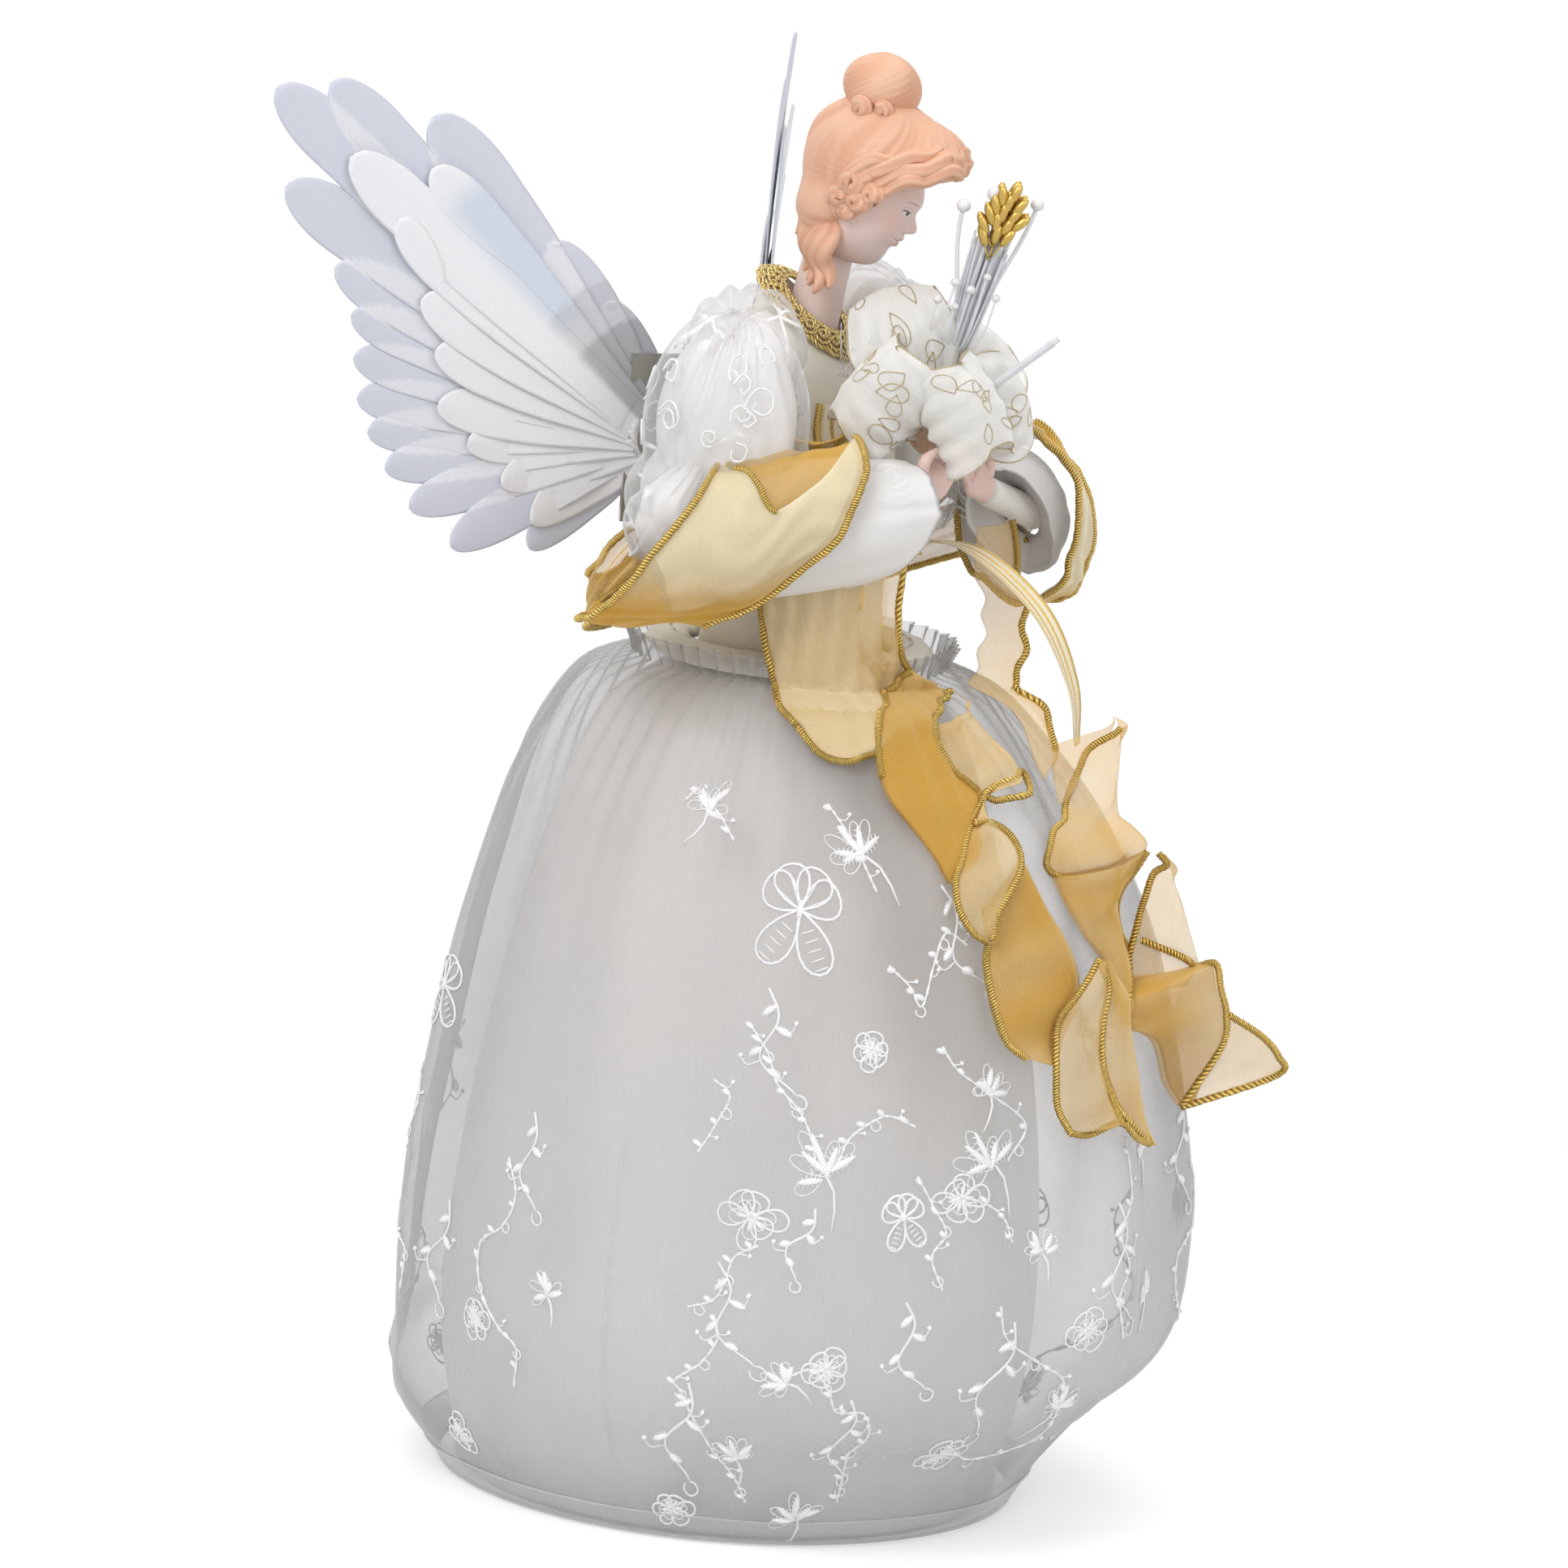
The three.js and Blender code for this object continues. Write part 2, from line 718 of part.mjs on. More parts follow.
// Rows of centre and half size shares of the head's height: X, Y, Z, then half X, half Y, half Z.
const headShares = {
  hair: [0, 0.1, 0.1, 0.45, 0.54, 0.5],
  fringe: [0, -0.22, 0.35, 0.38, 0.25, 0.24],
  face: [0, -0.09, -0.13, 0.31, 0.28, 0.32],
  nose: [0, -0.37, -0.08, 0.04, 0.05, 0.07],
  bun: [0, 0.42, 0.52, 0.28, 0.28, 0.26],
  nape: [0, 0.31, -0.28, 0.32, 0.21, 0.3],
  curl: [0, 0.22, -0.55, 0.14, 0.14, 0.2],
};

const headCentre = () => new THREE.Vector3(headAside, -headForward, torsoBase + headRise);

function headPart([x, y, z, halfX, halfY, halfZ]) {
  const centre = headCentre();
  return ellipsoid(halfX * headHeight, halfY * headHeight, halfZ * headHeight, 11, 7)
    .translate(x * headHeight, y * headHeight, z * headHeight)
    .rotateX(headBow)
    .rotateZ(headTurn)
    .translate(centre.x, centre.y, centre.z);
}

function dollBust() {
  const seat = torsoTop + seatGap;
  const plateCentre = torsoTop + seatGap + shoulderPlateRise / 4;
  const collarRoom = bodiceRings(bodiceEase - 2 * seatGap, 0, 16);
  const shoulderPlate = ellipsoid(torsoHalfWidth * 0.9, torsoHalfDepth * 0.72, shoulderPlateRise, 16, 8)
    .translate(0, 0, plateCentre);
  const neckBase = new THREE.Vector3(0, necklineBack, plateCentre + shoulderPlateRise / 2);
  const neckTop = headCentre().add(new THREE.Vector3(0, headForward * 0.75, -headHeight * 0.2));
  const neck = tube([neckBase, neckBase.clone().lerp(neckTop, 0.5), neckTop], neckRadius, 10, 3);
  const head = Object.values(headShares).map(headPart);
  const below = box(4 * torsoHalfWidth, 4 * torsoHalfDepth, 2 * torsoHeight)
    .translate(0, 0, seat - torsoHeight);
  const trimmedPlate = fromManifold(toManifold(shoulderPlate).intersect(toManifold(loft(collarRoom))));
  return cut(join(trimmedPlate, neck, ...head), below);
}

// Arms: padded wire from the body's sides to the wrists, and a porcelain hand on each

// Places of shoulder, mid upper arm, elbow, wrist and fingertips as shares of the body.
const rightArmShares = {
  side: -1,
  root: [-0.99, 0, 0.9],
  upper: [-1.6, 0.1, 0.78],
  elbow: [-2.17, 0.1, 0.62],
  wrist: [-0.48, -2.4, 0.79],
  hand: [-0.16, -2.5, 0.93],
};
const leftArmShares = {
  side: 1,
  root: [0.99, 0, 0.9],
  upper: [1.55, -0.6, 0.76],
  elbow: [2.1, -1.8, 0.62],
  wrist: [0.83, -2.2, 0.78],
  hand: [0.36, -2.3, 0.9],
};
const armSides = [rightArmShares, leftArmShares];

function armCurve(arm, growth = 0) {
  const route = [arm.root, arm.upper, arm.elbow, arm.wrist].map(bodyPlace);
  route[0].x += arm.side * (seatGap - growth);
  return new THREE.CatmullRomCurve3(route);
}

function armTube(arm, growth = 0) {
  const curve = armCurve(arm, growth);
  const steps = 12;
  const rings = curve.getSpacedPoints(steps).map((centre, n) => {
    const frame = crossAxes(curve.getTangentAt(n / steps));
    const radius = THREE.MathUtils.lerp(upperArmRadius, wristRadius, n / steps) + growth;
    return ring(centre, frame.side.multiplyScalar(radius), frame.up.multiplyScalar(radius), 8);
  });
  return loft(rings);
}

// Two unit vectors square to a direction, the second one leaning up.
function crossAxes(direction) {
  const forward = direction.clone().normalize();
  const upright = new THREE.Vector3(0, 0, 1);
  const up = upright.addScaledVector(forward, -forward.z).normalize();
  return { side: forward.clone().cross(up), up, forward };
}

// A mitten shape: a palm that widens and thins towards closed fingers.
const handShares = [
  [0, 0.62, 1],
  [0.2, 0.7, 1.05],
  [0.5, 1, 0.9],
  [0.75, 0.92, 0.75],
  [1, 0.45, 0.5],
];

// The hand starts square to the forearm's end and bends round to the fingers' direction.
function hand(arm, growth = 0) {
  const wrist = bodyPlace(arm.wrist);
  const forearm = armCurve(arm).getTangentAt(1);
  const fingers = bodyPlace(arm.hand).sub(wrist).normalize();
  const centre = wrist.clone().addScaledVector(forearm, seatGap);
  const rings = handShares.map(([lengthShare, widthShare, thicknessShare], n) => {
    const step = lengthShare - handShares[Math.max(n - 1, 0)][0];
    const frame = crossAxes(forearm.clone().lerp(fingers, Math.min(2 * lengthShare, 1)));
    centre.addScaledVector(frame.forward, step * handLength);
    return ring(
      centre,
      frame.side.multiplyScalar((thicknessShare * handThickness) / 2 + growth),
      frame.up.multiplyScalar((widthShare * handWidth) / 2 + growth),
      10,
    );
  });
  return loft(rings);
}

// Sleeves: a puff over the upper arm, then a bell sleeve and a wrap of the shawl on the forearm

function puffVolume(side, growth) {
  const centre = bodyPlace([side * 1.43, -0.05, 1]);
  const main = ellipsoid(puffHalfWidth + growth, puffHalfDepth + growth, puffHalfHeight + growth, 12, 8)
    .translate(centre.x, centre.y, centre.z);
  const head = bodyPlace([side * 1, 0.1, 1.32]);
  const lobeHalfSizes = [puffHalfWidth * 0.75, puffHalfDepth * 0.7, puffHalfHeight / 2];
  const lobe = ellipsoid(...lobeHalfSizes.map((half) => half + growth), 10, 6)
    .translate(head.x, head.y, head.z);
  return join(main, lobe);
}

function puffSleeve(arm) {
  const collarRing = necklineRing(collarHalfWidth + 2 * seatGap, 16);
  const raised = collarRing.map((point) => point.clone().setZ(point.z + torsoHeight));
  const collarRoom = loft([collarRing, raised]);
  return cut(
    puffVolume(arm.side, 0),
    puffVolume(arm.side, -clothWall),
    bodyVolume(seatGap),
    armTube(arm, seatGap),
    loft(shawlWrapRings(arm, seatGap)),
    collarRoom,
  );
}

// Rows of place along the forearm and radius share.
const bellShares = [
  [0.04, 0.8],
  [0.2, 1],
  [0.5, 1.12],
  [0.8, 1.15],
  [1, 0.95],
];
const wrapShares = [
  [-0.14, 1.08],
  [0.1, 1.25],
  [0.36, 1.34],
  [0.62, 1.34],
];

// Rings round the forearm. The lower side of a sleeve hangs further out than its upper side.
function forearmRings(arm, shares, radius, growth, sides, waveShare) {
  const elbow = bodyPlace(arm.elbow);
  const wrist = bodyPlace(arm.wrist);
  const frame = crossAxes(wrist.clone().sub(elbow));
  return shares.map(([along, radiusShare]) => {
    const size = radiusShare * radius;
    const centre = elbow.clone().lerp(wrist, along).addScaledVector(frame.up, -size * 0.12);
    const halfA = frame.side.clone().multiplyScalar(size * 0.86 + growth);
    const slant = sleeveSlantShare * (1 - along) * size;
    const halfB = frame.up.clone().multiplyScalar(size + growth).addScaledVector(frame.forward, slant);
    return ring(centre, halfA, halfB, sides, (angle) => 1 + waveShare * Math.sin(3 * angle + 6 * along));
  });
}

function bellRings(arm, growth) {
  return forearmRings(arm, bellShares, sleeveRadius, growth, 14, 0.04);
}

function bellSleeve(arm) {
  return cut(shell(bellRings(arm, 0), bellRings(arm, -clothWall)), armTube(arm, seatGap));
}

function shawlWrapRings(arm, growth) {
  const ease = clothWall + seatGap;
  const length = bodyPlace(arm.elbow).distanceTo(bodyPlace(arm.wrist));
  const [first, ...others] = wrapShares;
  const start = [first[0] - (2 * Math.max(growth, 0)) / length, first[1]];
  return forearmRings(arm, [start, ...others], sleeveRadius, ease + growth, 14, 0.04);
}

function shawlWrap(arm) {
  const cloth = shell(shawlWrapRings(arm, 0), shawlWrapRings(arm, -clothWall));
  return cut(cloth, armTube(arm, seatGap), bodyVolume(seatGap));
}

// Skirts

// Rows of height share and fullness share.
const skirtShares = [
  [0, 0],
  [0.034, 0.16],
  [0.103, 0.48],
  [0.215, 0.81],
  [0.36, 0.97],
  [0.5, 1],
  [0.682, 0.97],
  [0.833, 0.8],
  [0.923, 0.56],
  [0.979, 0.32],
  [1, 0],
];
const liningShares = [
  [0, 0],
  [0.185, 0.65],
  [0.43, 0.97],
  [0.69, 1],
  [0.9, 0.77],
  [0.957, 0.46],
  [0.99, 0.13],
  [1, 0],
];
const forwardShares = [
  [0, 0],
  [0.1, 0],
  [0.25, 1],
  [0.7, 0.9],
  [0.93, 0.2],
  [1, 0],
];
const foldShares = [
  [0, 0],
  [0.05, 0.2],
  [0.2, 0.7],
  [0.5, 1],
  [0.85, 0.7],
  [1, 0],
];

// Radius of the overskirt's outside, in the direction of an angle from -Y towards +X.
function skirtRadius(angle, heightShare) {
  const straight = THREE.MathUtils.lerp(skirtHemRadius, skirtWaistRadius, heightShare);
  const full = tableAt(skirtShares, heightShare) * skirtFullnessDepth;
  const forward = tableAt(forwardShares, heightShare) * skirtForwardDepth * Math.cos(angle);
  const folds = 0.62 * Math.cos(9 * angle + 0.6) + 0.38 * Math.cos(14 * angle - 1.1 + 2 * heightShare);
  return straight + full + forward + tableAt(foldShares, heightShare) * foldDepth * folds;
}

function skirtPoint(angle, heightShare, lift = 0) {
  const radius = skirtRadius(angle, heightShare) + lift;
  const height = hemLift + heightShare * (waistHeight - hemLift);
  return new THREE.Vector3(radius * Math.sin(angle), -radius * Math.cos(angle), height);
}

function aroundSkirt(sides, point) {
  return Array.from({ length: sides }, (_, k) => point((2 * Math.PI * k) / sides));
}

function overskirt() {
  const sides = 42;
  const rows = (lift) => {
    const ringAt = (share) => aroundSkirt(sides, (angle) => skirtPoint(angle, share, lift));
    const rings = skirtShares.map(([share]) => ringAt(share));
    const gathered = rings[rings.length - 1];
    rings.push(gathered.map((point) => {
      const flared = point.clone().setZ(0).setLength(skirtWaistRadius + headerFlare + lift);
      return flared.setZ(point.z + headerHeight);
    }));
    return rings;
  };
  return shell(rows(0), rows(-clothWall));
}

function lining() {
  const sides = 24;
  const hemRadius = coneBaseRadius + seatGap + clothWall;
  const height = waistHeight - seatGap;
  const rows = (growth) => liningShares.map(([share, fullShare]) => {
    const straight = THREE.MathUtils.lerp(hemRadius, liningTopRadius, share);
    const radius = straight + fullShare * liningFullnessDepth + growth;
    return levelRing(2 * hemLift + share * (height - 2 * hemLift), radius, radius, sides);
  });
  return shell(rows(0), rows(-clothWall));
}

// The room that an arm, its sleeve and the wrap on its forearm take up.
function armRoom(arm) {
  return [armTube(arm, seatGap), loft(bellRings(arm, seatGap)), loft(shawlWrapRings(arm, seatGap))];
}

// Shawl: a length behind the back and two ruffled tails down the skirt's front

function shawlBack() {
  const ends = armSides.map((arm) => bodyPlace(arm.elbow));
  const route = new THREE.CatmullRomCurve3([
    ends[0],
    new THREE.Vector3(-shawlBackRadius * 1.38, shawlBackRadius * 0.62, ends[0].z - shawlBackDrop * 0.88),
    new THREE.Vector3(0, shawlBackRadius * 0.9, ends[0].z - shawlBackDrop),
    new THREE.Vector3(shawlBackRadius * 1.2, shawlBackRadius * 0.45, ends[1].z - shawlBackDrop * 0.88),
    ends[1],
  ]);
  const rows = route.getSpacedPoints(18).map((point, n) => [-1, -0.33, 0.33, 1].map((across) => {
    const spot = point.clone();
    spot.z += (across * shawlBackHeight) / 2 + (seatGap + clothWall) * Math.sin(n);
    return spot;
  }));
  return cut(sheet(rows, clothWall), ...armSides.flatMap(armRoom));
}

// Rows of angle in degrees from -Y towards +X, height share, width share, lift share and twist in
// degrees, which turns the far edge away from the skirt. What a height share has above 1 is a share
// of the torso's height above the waist.
const rightTailShares = [
  [-45, 1.23, 1.1, 1.6, 0],
  [-41, 1, 1.15, 1.6, 0],
  [-31, 0.94, 0.95, 1.2, 0],
  [-22, 0.87, 0.8, 1, 0],
  [-18, 0.79, 0.8, 1, 0],
  [-14, 0.7, 0.85, 1, 0],
  [-9, 0.62, 0.9, 1.3, 5],
  [-4, 0.545, 0.8, 2, 10],
];
const leftTailShares = [
  [35, 1.4, 0.75, 3.8, 16],
  [18, 1.13, 0.85, 4.6, 34],
  [11, 0.98, 0.95, 5.2, 46],
  [8, 0.92, 1.2, 5.4, 50],
  [7, 0.825, 1.2, 5, 48],
  [9, 0.735, 1.2, 5.6, 50],
  [14, 0.645, 1.2, 6.6, 54],
  [20, 0.565, 1.2, 8, 58],
];

// Moves a point outwards where the skirt would touch it.
function clearOfSkirt(point) {
  const angle = Math.atan2(point.x, -point.y);
  const heightShare = THREE.MathUtils.clamp((point.z - hemLift) / (waistHeight - hemLift), 0, 1);
  const flare = point.z > waistHeight - headerHeight ? headerFlare : 0;
  const least = skirtRadius(angle, heightShare) + flare + tailClearance;
  const radius = Math.max(Math.hypot(point.x, point.y), least);
  return new THREE.Vector3(radius * Math.sin(angle), -radius * Math.cos(angle), point.z);
}

// A strip that follows the skirt. Its edges stand off in ruffles and its middle lies near the skirt.
function shawlTail(tailShares, waves) {
  const spots = tailShares.map(([degrees, heightShare, , liftShare]) => {
    const angle = THREE.MathUtils.degToRad(degrees);
    const spot = skirtPoint(angle, Math.min(heightShare, 1), tailLift * liftShare);
    spot.z += Math.max(heightShare - 1, 0) * torsoHeight;
    return spot;
  });
  const route = new THREE.CatmullRomCurve3(spots);
  const steps = 26;
  const rows = route.getPoints(steps).map((centre, n) => {
    const tangent = route.getTangent(n / steps);
    const outward = new THREE.Vector3(centre.x, centre.y, 0).normalize();
    const sideways = outward.clone().cross(tangent).normalize();
    const place = (n / steps) * (tailShares.length - 1);
    const row = Math.min(Math.floor(place), tailShares.length - 2);
    const [here, next] = [tailShares[row], tailShares[row + 1]];
    const between = (column) => THREE.MathUtils.lerp(here[column], next[column], place - row);
    const twist = -THREE.MathUtils.degToRad(between(4));
    sideways.applyAxisAngle(tangent, twist);
    outward.applyAxisAngle(tangent, twist);
    return [-1, -0.5, 0, 0.5, 1].map((across) => {
      const wave = 1 + Math.sin((2 * Math.PI * waves * n) / steps + across);
      return clearOfSkirt(centre.clone()
        .addScaledVector(sideways, (across * between(2) * tailWidth) / 2)
        .addScaledVector(outward, Math.abs(across) * tailRuffle * wave));
    });
  });
  return cut(sheet(rows, clothWall), ...armSides.flatMap(armRoom));
}

// Sash, bow and streamer of striped ribbon at the front of the waist

const bowAsideShare = 0.35;
const bowHeightShare = 0.56;

// The knot lies on the bodice's front.
function bowCentre() {
  const halfWidth = tableAt(torsoShares, bowHeightShare, 1) * torsoHalfWidth + bodiceGrowth;
  const halfDepth = tableAt(torsoShares, bowHeightShare, 2) * torsoHalfDepth + bodiceGrowth;
  const front = halfDepth * Math.sqrt(1 - bowAsideShare ** 2);
  return new THREE.Vector3(
    bowAsideShare * halfWidth,
    -front - streamerWidth / 2 - seatGap,
    torsoBase + bowHeightShare * torsoHeight,
  );
}

function chestSash() {
  const sides = 72;
  const surface = bodiceRings(bodiceGrowth + seatGap + clothWall / 2, 0, sides);
  const middle = Math.round(sides * 0.69);
  const rows = surface.slice(1, 5).map((row) => [-2, 0, 2].map((across) => row[middle + across].clone()));
  return sheet(rows, clothWall);
}

function sashBow() {
  const centre = bowCentre();
  const knot = ellipsoid(streamerWidth * 0.6, streamerWidth * 0.5, streamerWidth * 0.6, 10, 6)
    .translate(centre.x, centre.y, centre.z);
  const loops = [-1, 1].map((side) => ellipsoid(bowSpread / 2, clothWall * 1.6, streamerWidth / 2, 10, 6)
    .rotateY(side * 0.35)
    .translate(centre.x + (side * bowSpread) / 2, centre.y, centre.z));
  return join(knot, ...loops);
}

// Places as shares of the body, from in front of the bow down past the waist.
const streamerShares = [
  [0.42, -2.5, 0.56],
  [0.66, -3.4, 0.36],
  [0.84, -3.85, 0.08],
  [0.86, -4, -0.16],
];

function sashStreamer() {
  const start = bowCentre();
  start.y -= (streamerWidth * 0.86 + clothWall) / 2;
  const route = new THREE.CatmullRomCurve3([start, ...streamerShares.map(bodyPlace)]);
  const rows = route.getPoints(14).map((point) => [-0.5, 0.5].map((across) => {
    const spot = point.clone();
    spot.x += across * streamerWidth;
    return spot;
  }));
  return sheet(rows, clothWall);
}

// Bouquet: ribbon petals tied in a knot, with the ends of the light fibres among them

const bouquetKnotPlace = () => bodyPlace([0, -2, 1.03]);

// A direction from the knot: an angle from -Y towards +X, and a lean away from upright.
function leaning(degrees, leanDegrees) {
  const angle = THREE.MathUtils.degToRad(degrees);
  const lean = THREE.MathUtils.degToRad(leanDegrees);
  return new THREE.Vector3(
    Math.sin(lean) * Math.sin(angle),
    -Math.sin(lean) * Math.cos(angle),
    Math.cos(lean),
  );
}

// Rows of angle and lean in degrees, then length share.
const petals = {
  top: [-160, 21, 1.26],
  right: [-104, 58, 0.98],
  left: [49, 64, 0.86],
  front: [-24, 64, 0.9],
  back: [76, 36, 1.02],
};
const petalShares = [
  [0, 0.16, 0.3],
  [0.16, 0.42, 0.6],
  [0.4, 0.84, 0.9],
  [0.66, 1, 1],
  [0.88, 0.78, 0.8],
  [1, 0.34, 0.34],
];

function petalVolume([degrees, leanDegrees, lengthFactorShare], growth) {
  const frame = crossAxes(leaning(degrees, leanDegrees));
  const start = bouquetKnotPlace().addScaledVector(frame.forward, knotRadius + seatGap);
  const length = petalLength * lengthFactorShare;
  const rings = petalShares.map(([alongShare, widthShare, thicknessShare]) => ring(
    start.clone().addScaledVector(frame.forward, alongShare * length),
    frame.side.clone().multiplyScalar((widthShare * petalWidth) / 2 + growth),
    frame.up.clone().multiplyScalar((thicknessShare * petalThickness) / 2 + growth),
    10,
  ));
  return loft(rings);
}

// A petal, shaped by the ones that were tied in before it and by what passes between them.
function petal(name) {
  const names = Object.keys(petals);
  const earlier = names.slice(0, names.indexOf(name)).map((other) => petalVolume(petals[other], seatGap));
  const hands = armSides.map((arm) => hand(arm, seatGap));
  return cut(petalVolume(petals[name], 0), ...earlier, ...hands, spraySolid(seatGap), fibreRod(seatGap));
}

const sprayForward = () => leaning(3, 15);

// The fibres' flat side, which is turned to the angel's right.
const sprayAside = () => new THREE.Vector3(1, 0, 0).applyAxisAngle(new THREE.Vector3(0, 0, 1), -sprayTurn);
const sprayShares = [
  [0, 0.2],
  [0.5, 0.3],
  [0.9, 0.7],
  [1.4, 0.9],
  [1.9, 1],
];

const sprayFacing = () => sprayForward().cross(sprayAside()).normalize();

function sprayPlace(along) {
  const start = bouquetKnotPlace().addScaledVector(sprayForward(), knotRadius + seatGap);
  return start.addScaledVector(sprayForward(), along * sprayHeight);
}

function spraySolid(growth) {
  const aside = sprayAside();
  const facing = sprayFacing();
  return loft(sprayShares.map(([along, widthShare]) => ring(
    sprayPlace(along),
    aside.clone().multiplyScalar((widthShare * sprayWidth) / 2 + growth),
    facing.clone().multiplyScalar((widthShare * sprayDepth) / 2 + growth),
    10,
  )));
}

function fibreSpray() {
  const strands = [[-0.95, 2.15], [-0.3, 2.3], [0.85, 2.2]].map(([asideShare, reach]) => {
    const base = sprayPlace(1.6).addScaledVector(sprayAside(), (asideShare * sprayWidth) / 4);
    const tip = sprayPlace(reach).addScaledVector(sprayAside(), asideShare * sprayWidth);
    const stalk = tube([base, base.clone().lerp(tip, 0.5), tip], strandRadius, 6, 3);
    const bead = ellipsoid(pearlRadius, pearlRadius, pearlRadius, 7, 5).translate(tip.x, tip.y, tip.z);
    return join(stalk, bead);
  });
  return join(spraySolid(0), ...strands);
}

// Gold beads in three rows on a wire that lies on the front of the fibres.
function goldBerries() {
  const stand = sprayDepth / 2 + berryRadius + seatGap;
  const place = (along, aside) => sprayPlace(along)
    .addScaledVector(sprayFacing(), -stand)
    .addScaledVector(sprayAside(), aside);
  const pitch = berryRadius * 1.6;
  const beads = [[1.86, -1], [1.86, 0], [1.86, 1], [2.02, -0.5], [2.02, 0.5], [2.16, 0], [2.28, 0.2]];
  const solids = beads.map(([along, step]) => {
    const spot = place(along, step * pitch);
    return ellipsoid(berryRadius, berryRadius, berryLength / 2, 6, 5).translate(spot.x, spot.y, spot.z);
  });
  return join(...solids);
}

function fibreRod(growth = 0) {
  const direction = leaning(13, 49);
  const start = bouquetKnotPlace().addScaledVector(direction, knotRadius + seatGap);
  const end = start.clone().addScaledVector(direction, rodLength);
  return tube([start, start.clone().lerp(end, 0.5), end], rodRadius + growth, 8, 2);
}

// Wings

// Rows of angle in degrees, length share and width share, from the leading edge down.
const backFeathers = [
  [67, 0.27, 1.2],
  [58, 0.42, 1.2],
  [51, 0.75, 1.25],
  [43.6, 0.93, 1],
  [39, 1, 1],
  [31.3, 0.87, 1.05],
  [25.6, 0.705, 0.95],
  [20.1, 0.635, 0.85],
  [13.4, 0.6, 0.85],
  [6.4, 0.573, 0.85],
  [0, 0.543, 0.85],
  [-7.5, 0.508, 0.85],
  [-17.2, 0.472, 0.85],
  [-30.2, 0.421, 0.9],
  [-46, 0.3, 0.9],
];
const frontFeathers = [
  [46.2, 0.68, 0.95],
  [39, 0.81, 1],
  [36.3, 0.66, 1],
  [28.2, 0.533, 0.95],
  [19.8, 0.46, 0.9],
  [7.2, 0.42, 0.9],
  [-3.2, 0.351, 0.9],
  [-18.4, 0.293, 0.9],
  [-38, 0.269, 0.9],
];

// How far a feather with straight sides and an elliptical tip reaches in a direction from the
// fan's centre.
function featherReach(feather, angle) {
  const [degrees, lengthShare, widthShare] = feather;
  const turn = angle - THREE.MathUtils.degToRad(degrees);
  const half = widthShare * featherHalfWidth;
  const tip = 2 * half;
  const shaft = lengthShare * wingLength - tip;
  const cos = Math.cos(turn);
  const sin = Math.sin(turn);
  if (cos <= 0) return 0;
  const a = (cos / tip) ** 2 + (sin / half) ** 2;
  const b = (-2 * shaft * cos) / tip ** 2;
  const c = (shaft / tip) ** 2 - 1;
  const inside = b * b - 4 * a * c;
  const tipReach = inside < 0 ? 0 : (-b + Math.sqrt(inside)) / (2 * a);
  return tipReach * cos >= shaft ? tipReach : half / Math.max(Math.abs(sin), half / shaft);
}

function wingSheet(feathers) {
  const rootAngles = [-95, -75, -58, 66, 80, 92, 105].map(THREE.MathUtils.degToRad);
  const featherAngles = feathers.flatMap((feather) => {
    const half = (feather[2] * featherHalfWidth) / (feather[1] * wingLength);
    return [-0.85, 0, 0.85].map((part) => THREE.MathUtils.degToRad(feather[0]) + part * half);
  });
  const angles = [...rootAngles, ...featherAngles].sort((a, b) => a - b);
  const outline = angles.map((angle) => {
    const reach = Math.max(wingRootRadius, ...feathers.map((feather) => featherReach(feather, angle)));
    return new THREE.Vector2(wingFanOut + reach * Math.cos(angle), wingFanRise + reach * Math.sin(angle));
  });
  return plate(outline, wingSheetThickness);
}

const stayBase = wingFanRise - stayHeight / 2;
const lugBottom = stayBase - seatGap - lugThickness;
const lugTop = stayBase + stayHeight + seatGap;
const bracketFrontY = torsoHalfDepth + bodiceGrowth + seatGap;

function wingStay() {
  const rod = cylinder(stayRadius, stayHeight, 10).translate(0, 0, stayBase + stayHeight / 2);
  const pinLength = lugTop + lugThickness - lugBottom;
  const pin = cylinder(stayPinRadius, pinLength, 10).translate(0, 0, lugBottom + pinLength / 2);
  const flange = box(stayFlangeLength, stayFlangeThickness, stayHeight)
    .translate(stayFlangeLength / 2, 0, stayBase + stayHeight / 2);
  return join(rod, pin, flange);
}

function wingScrewPlaces() {
  const middle = torsoBase + wingFanRise - stayHeight / 4;
  return [-1, 1].map((end) => middle + (end * wingScrewSpacing) / 2);
}

function wingScrewHoles() {
  const length = wingScrewLength + 4 * bracketThickness;
  return wingScrewPlaces().map((height) => facesOut(cylinder(screwRadius + seatGap, 2 * length, 8)
    .rotateX(Math.PI / 2))
    .translate(0, bracketFrontY, height));
}

function wingBracket() {
  const height = lugTop + lugThickness - lugBottom;
  const back = box(2 * bracketHalfWidth, bracketThickness, height)
    .translate(0, bracketFrontY + bracketThickness / 2, torsoBase + lugBottom + height / 2);
  const lugDepth = wingHingeY + bracketOverhang - bracketFrontY;
  const lugs = [-1, 1].flatMap((side) => [lugBottom, lugTop].map((bottom) => box(
    2 * (bracketHalfWidth - wingHingeX), lugDepth, lugThickness)
    .translate(side * wingHingeX, bracketFrontY + lugDepth / 2, torsoBase + bottom + lugThickness / 2)));
  const pinHoles = [-1, 1].map((side) => cylinder(stayPinRadius + seatGap, 2 * height, 10)
    .translate(side * wingHingeX, wingHingeY, torsoBase + lugBottom + height / 2));
  const reach = box(2 * bracketHalfWidth, wingHingeY, 2 * torsoHeight)
    .translate(0, -wingHingeY / 2 + bracketFrontY, torsoBase);
  return cut(join(back, ...lugs), ...pinHoles, ...wingScrewHoles(), reach);
}

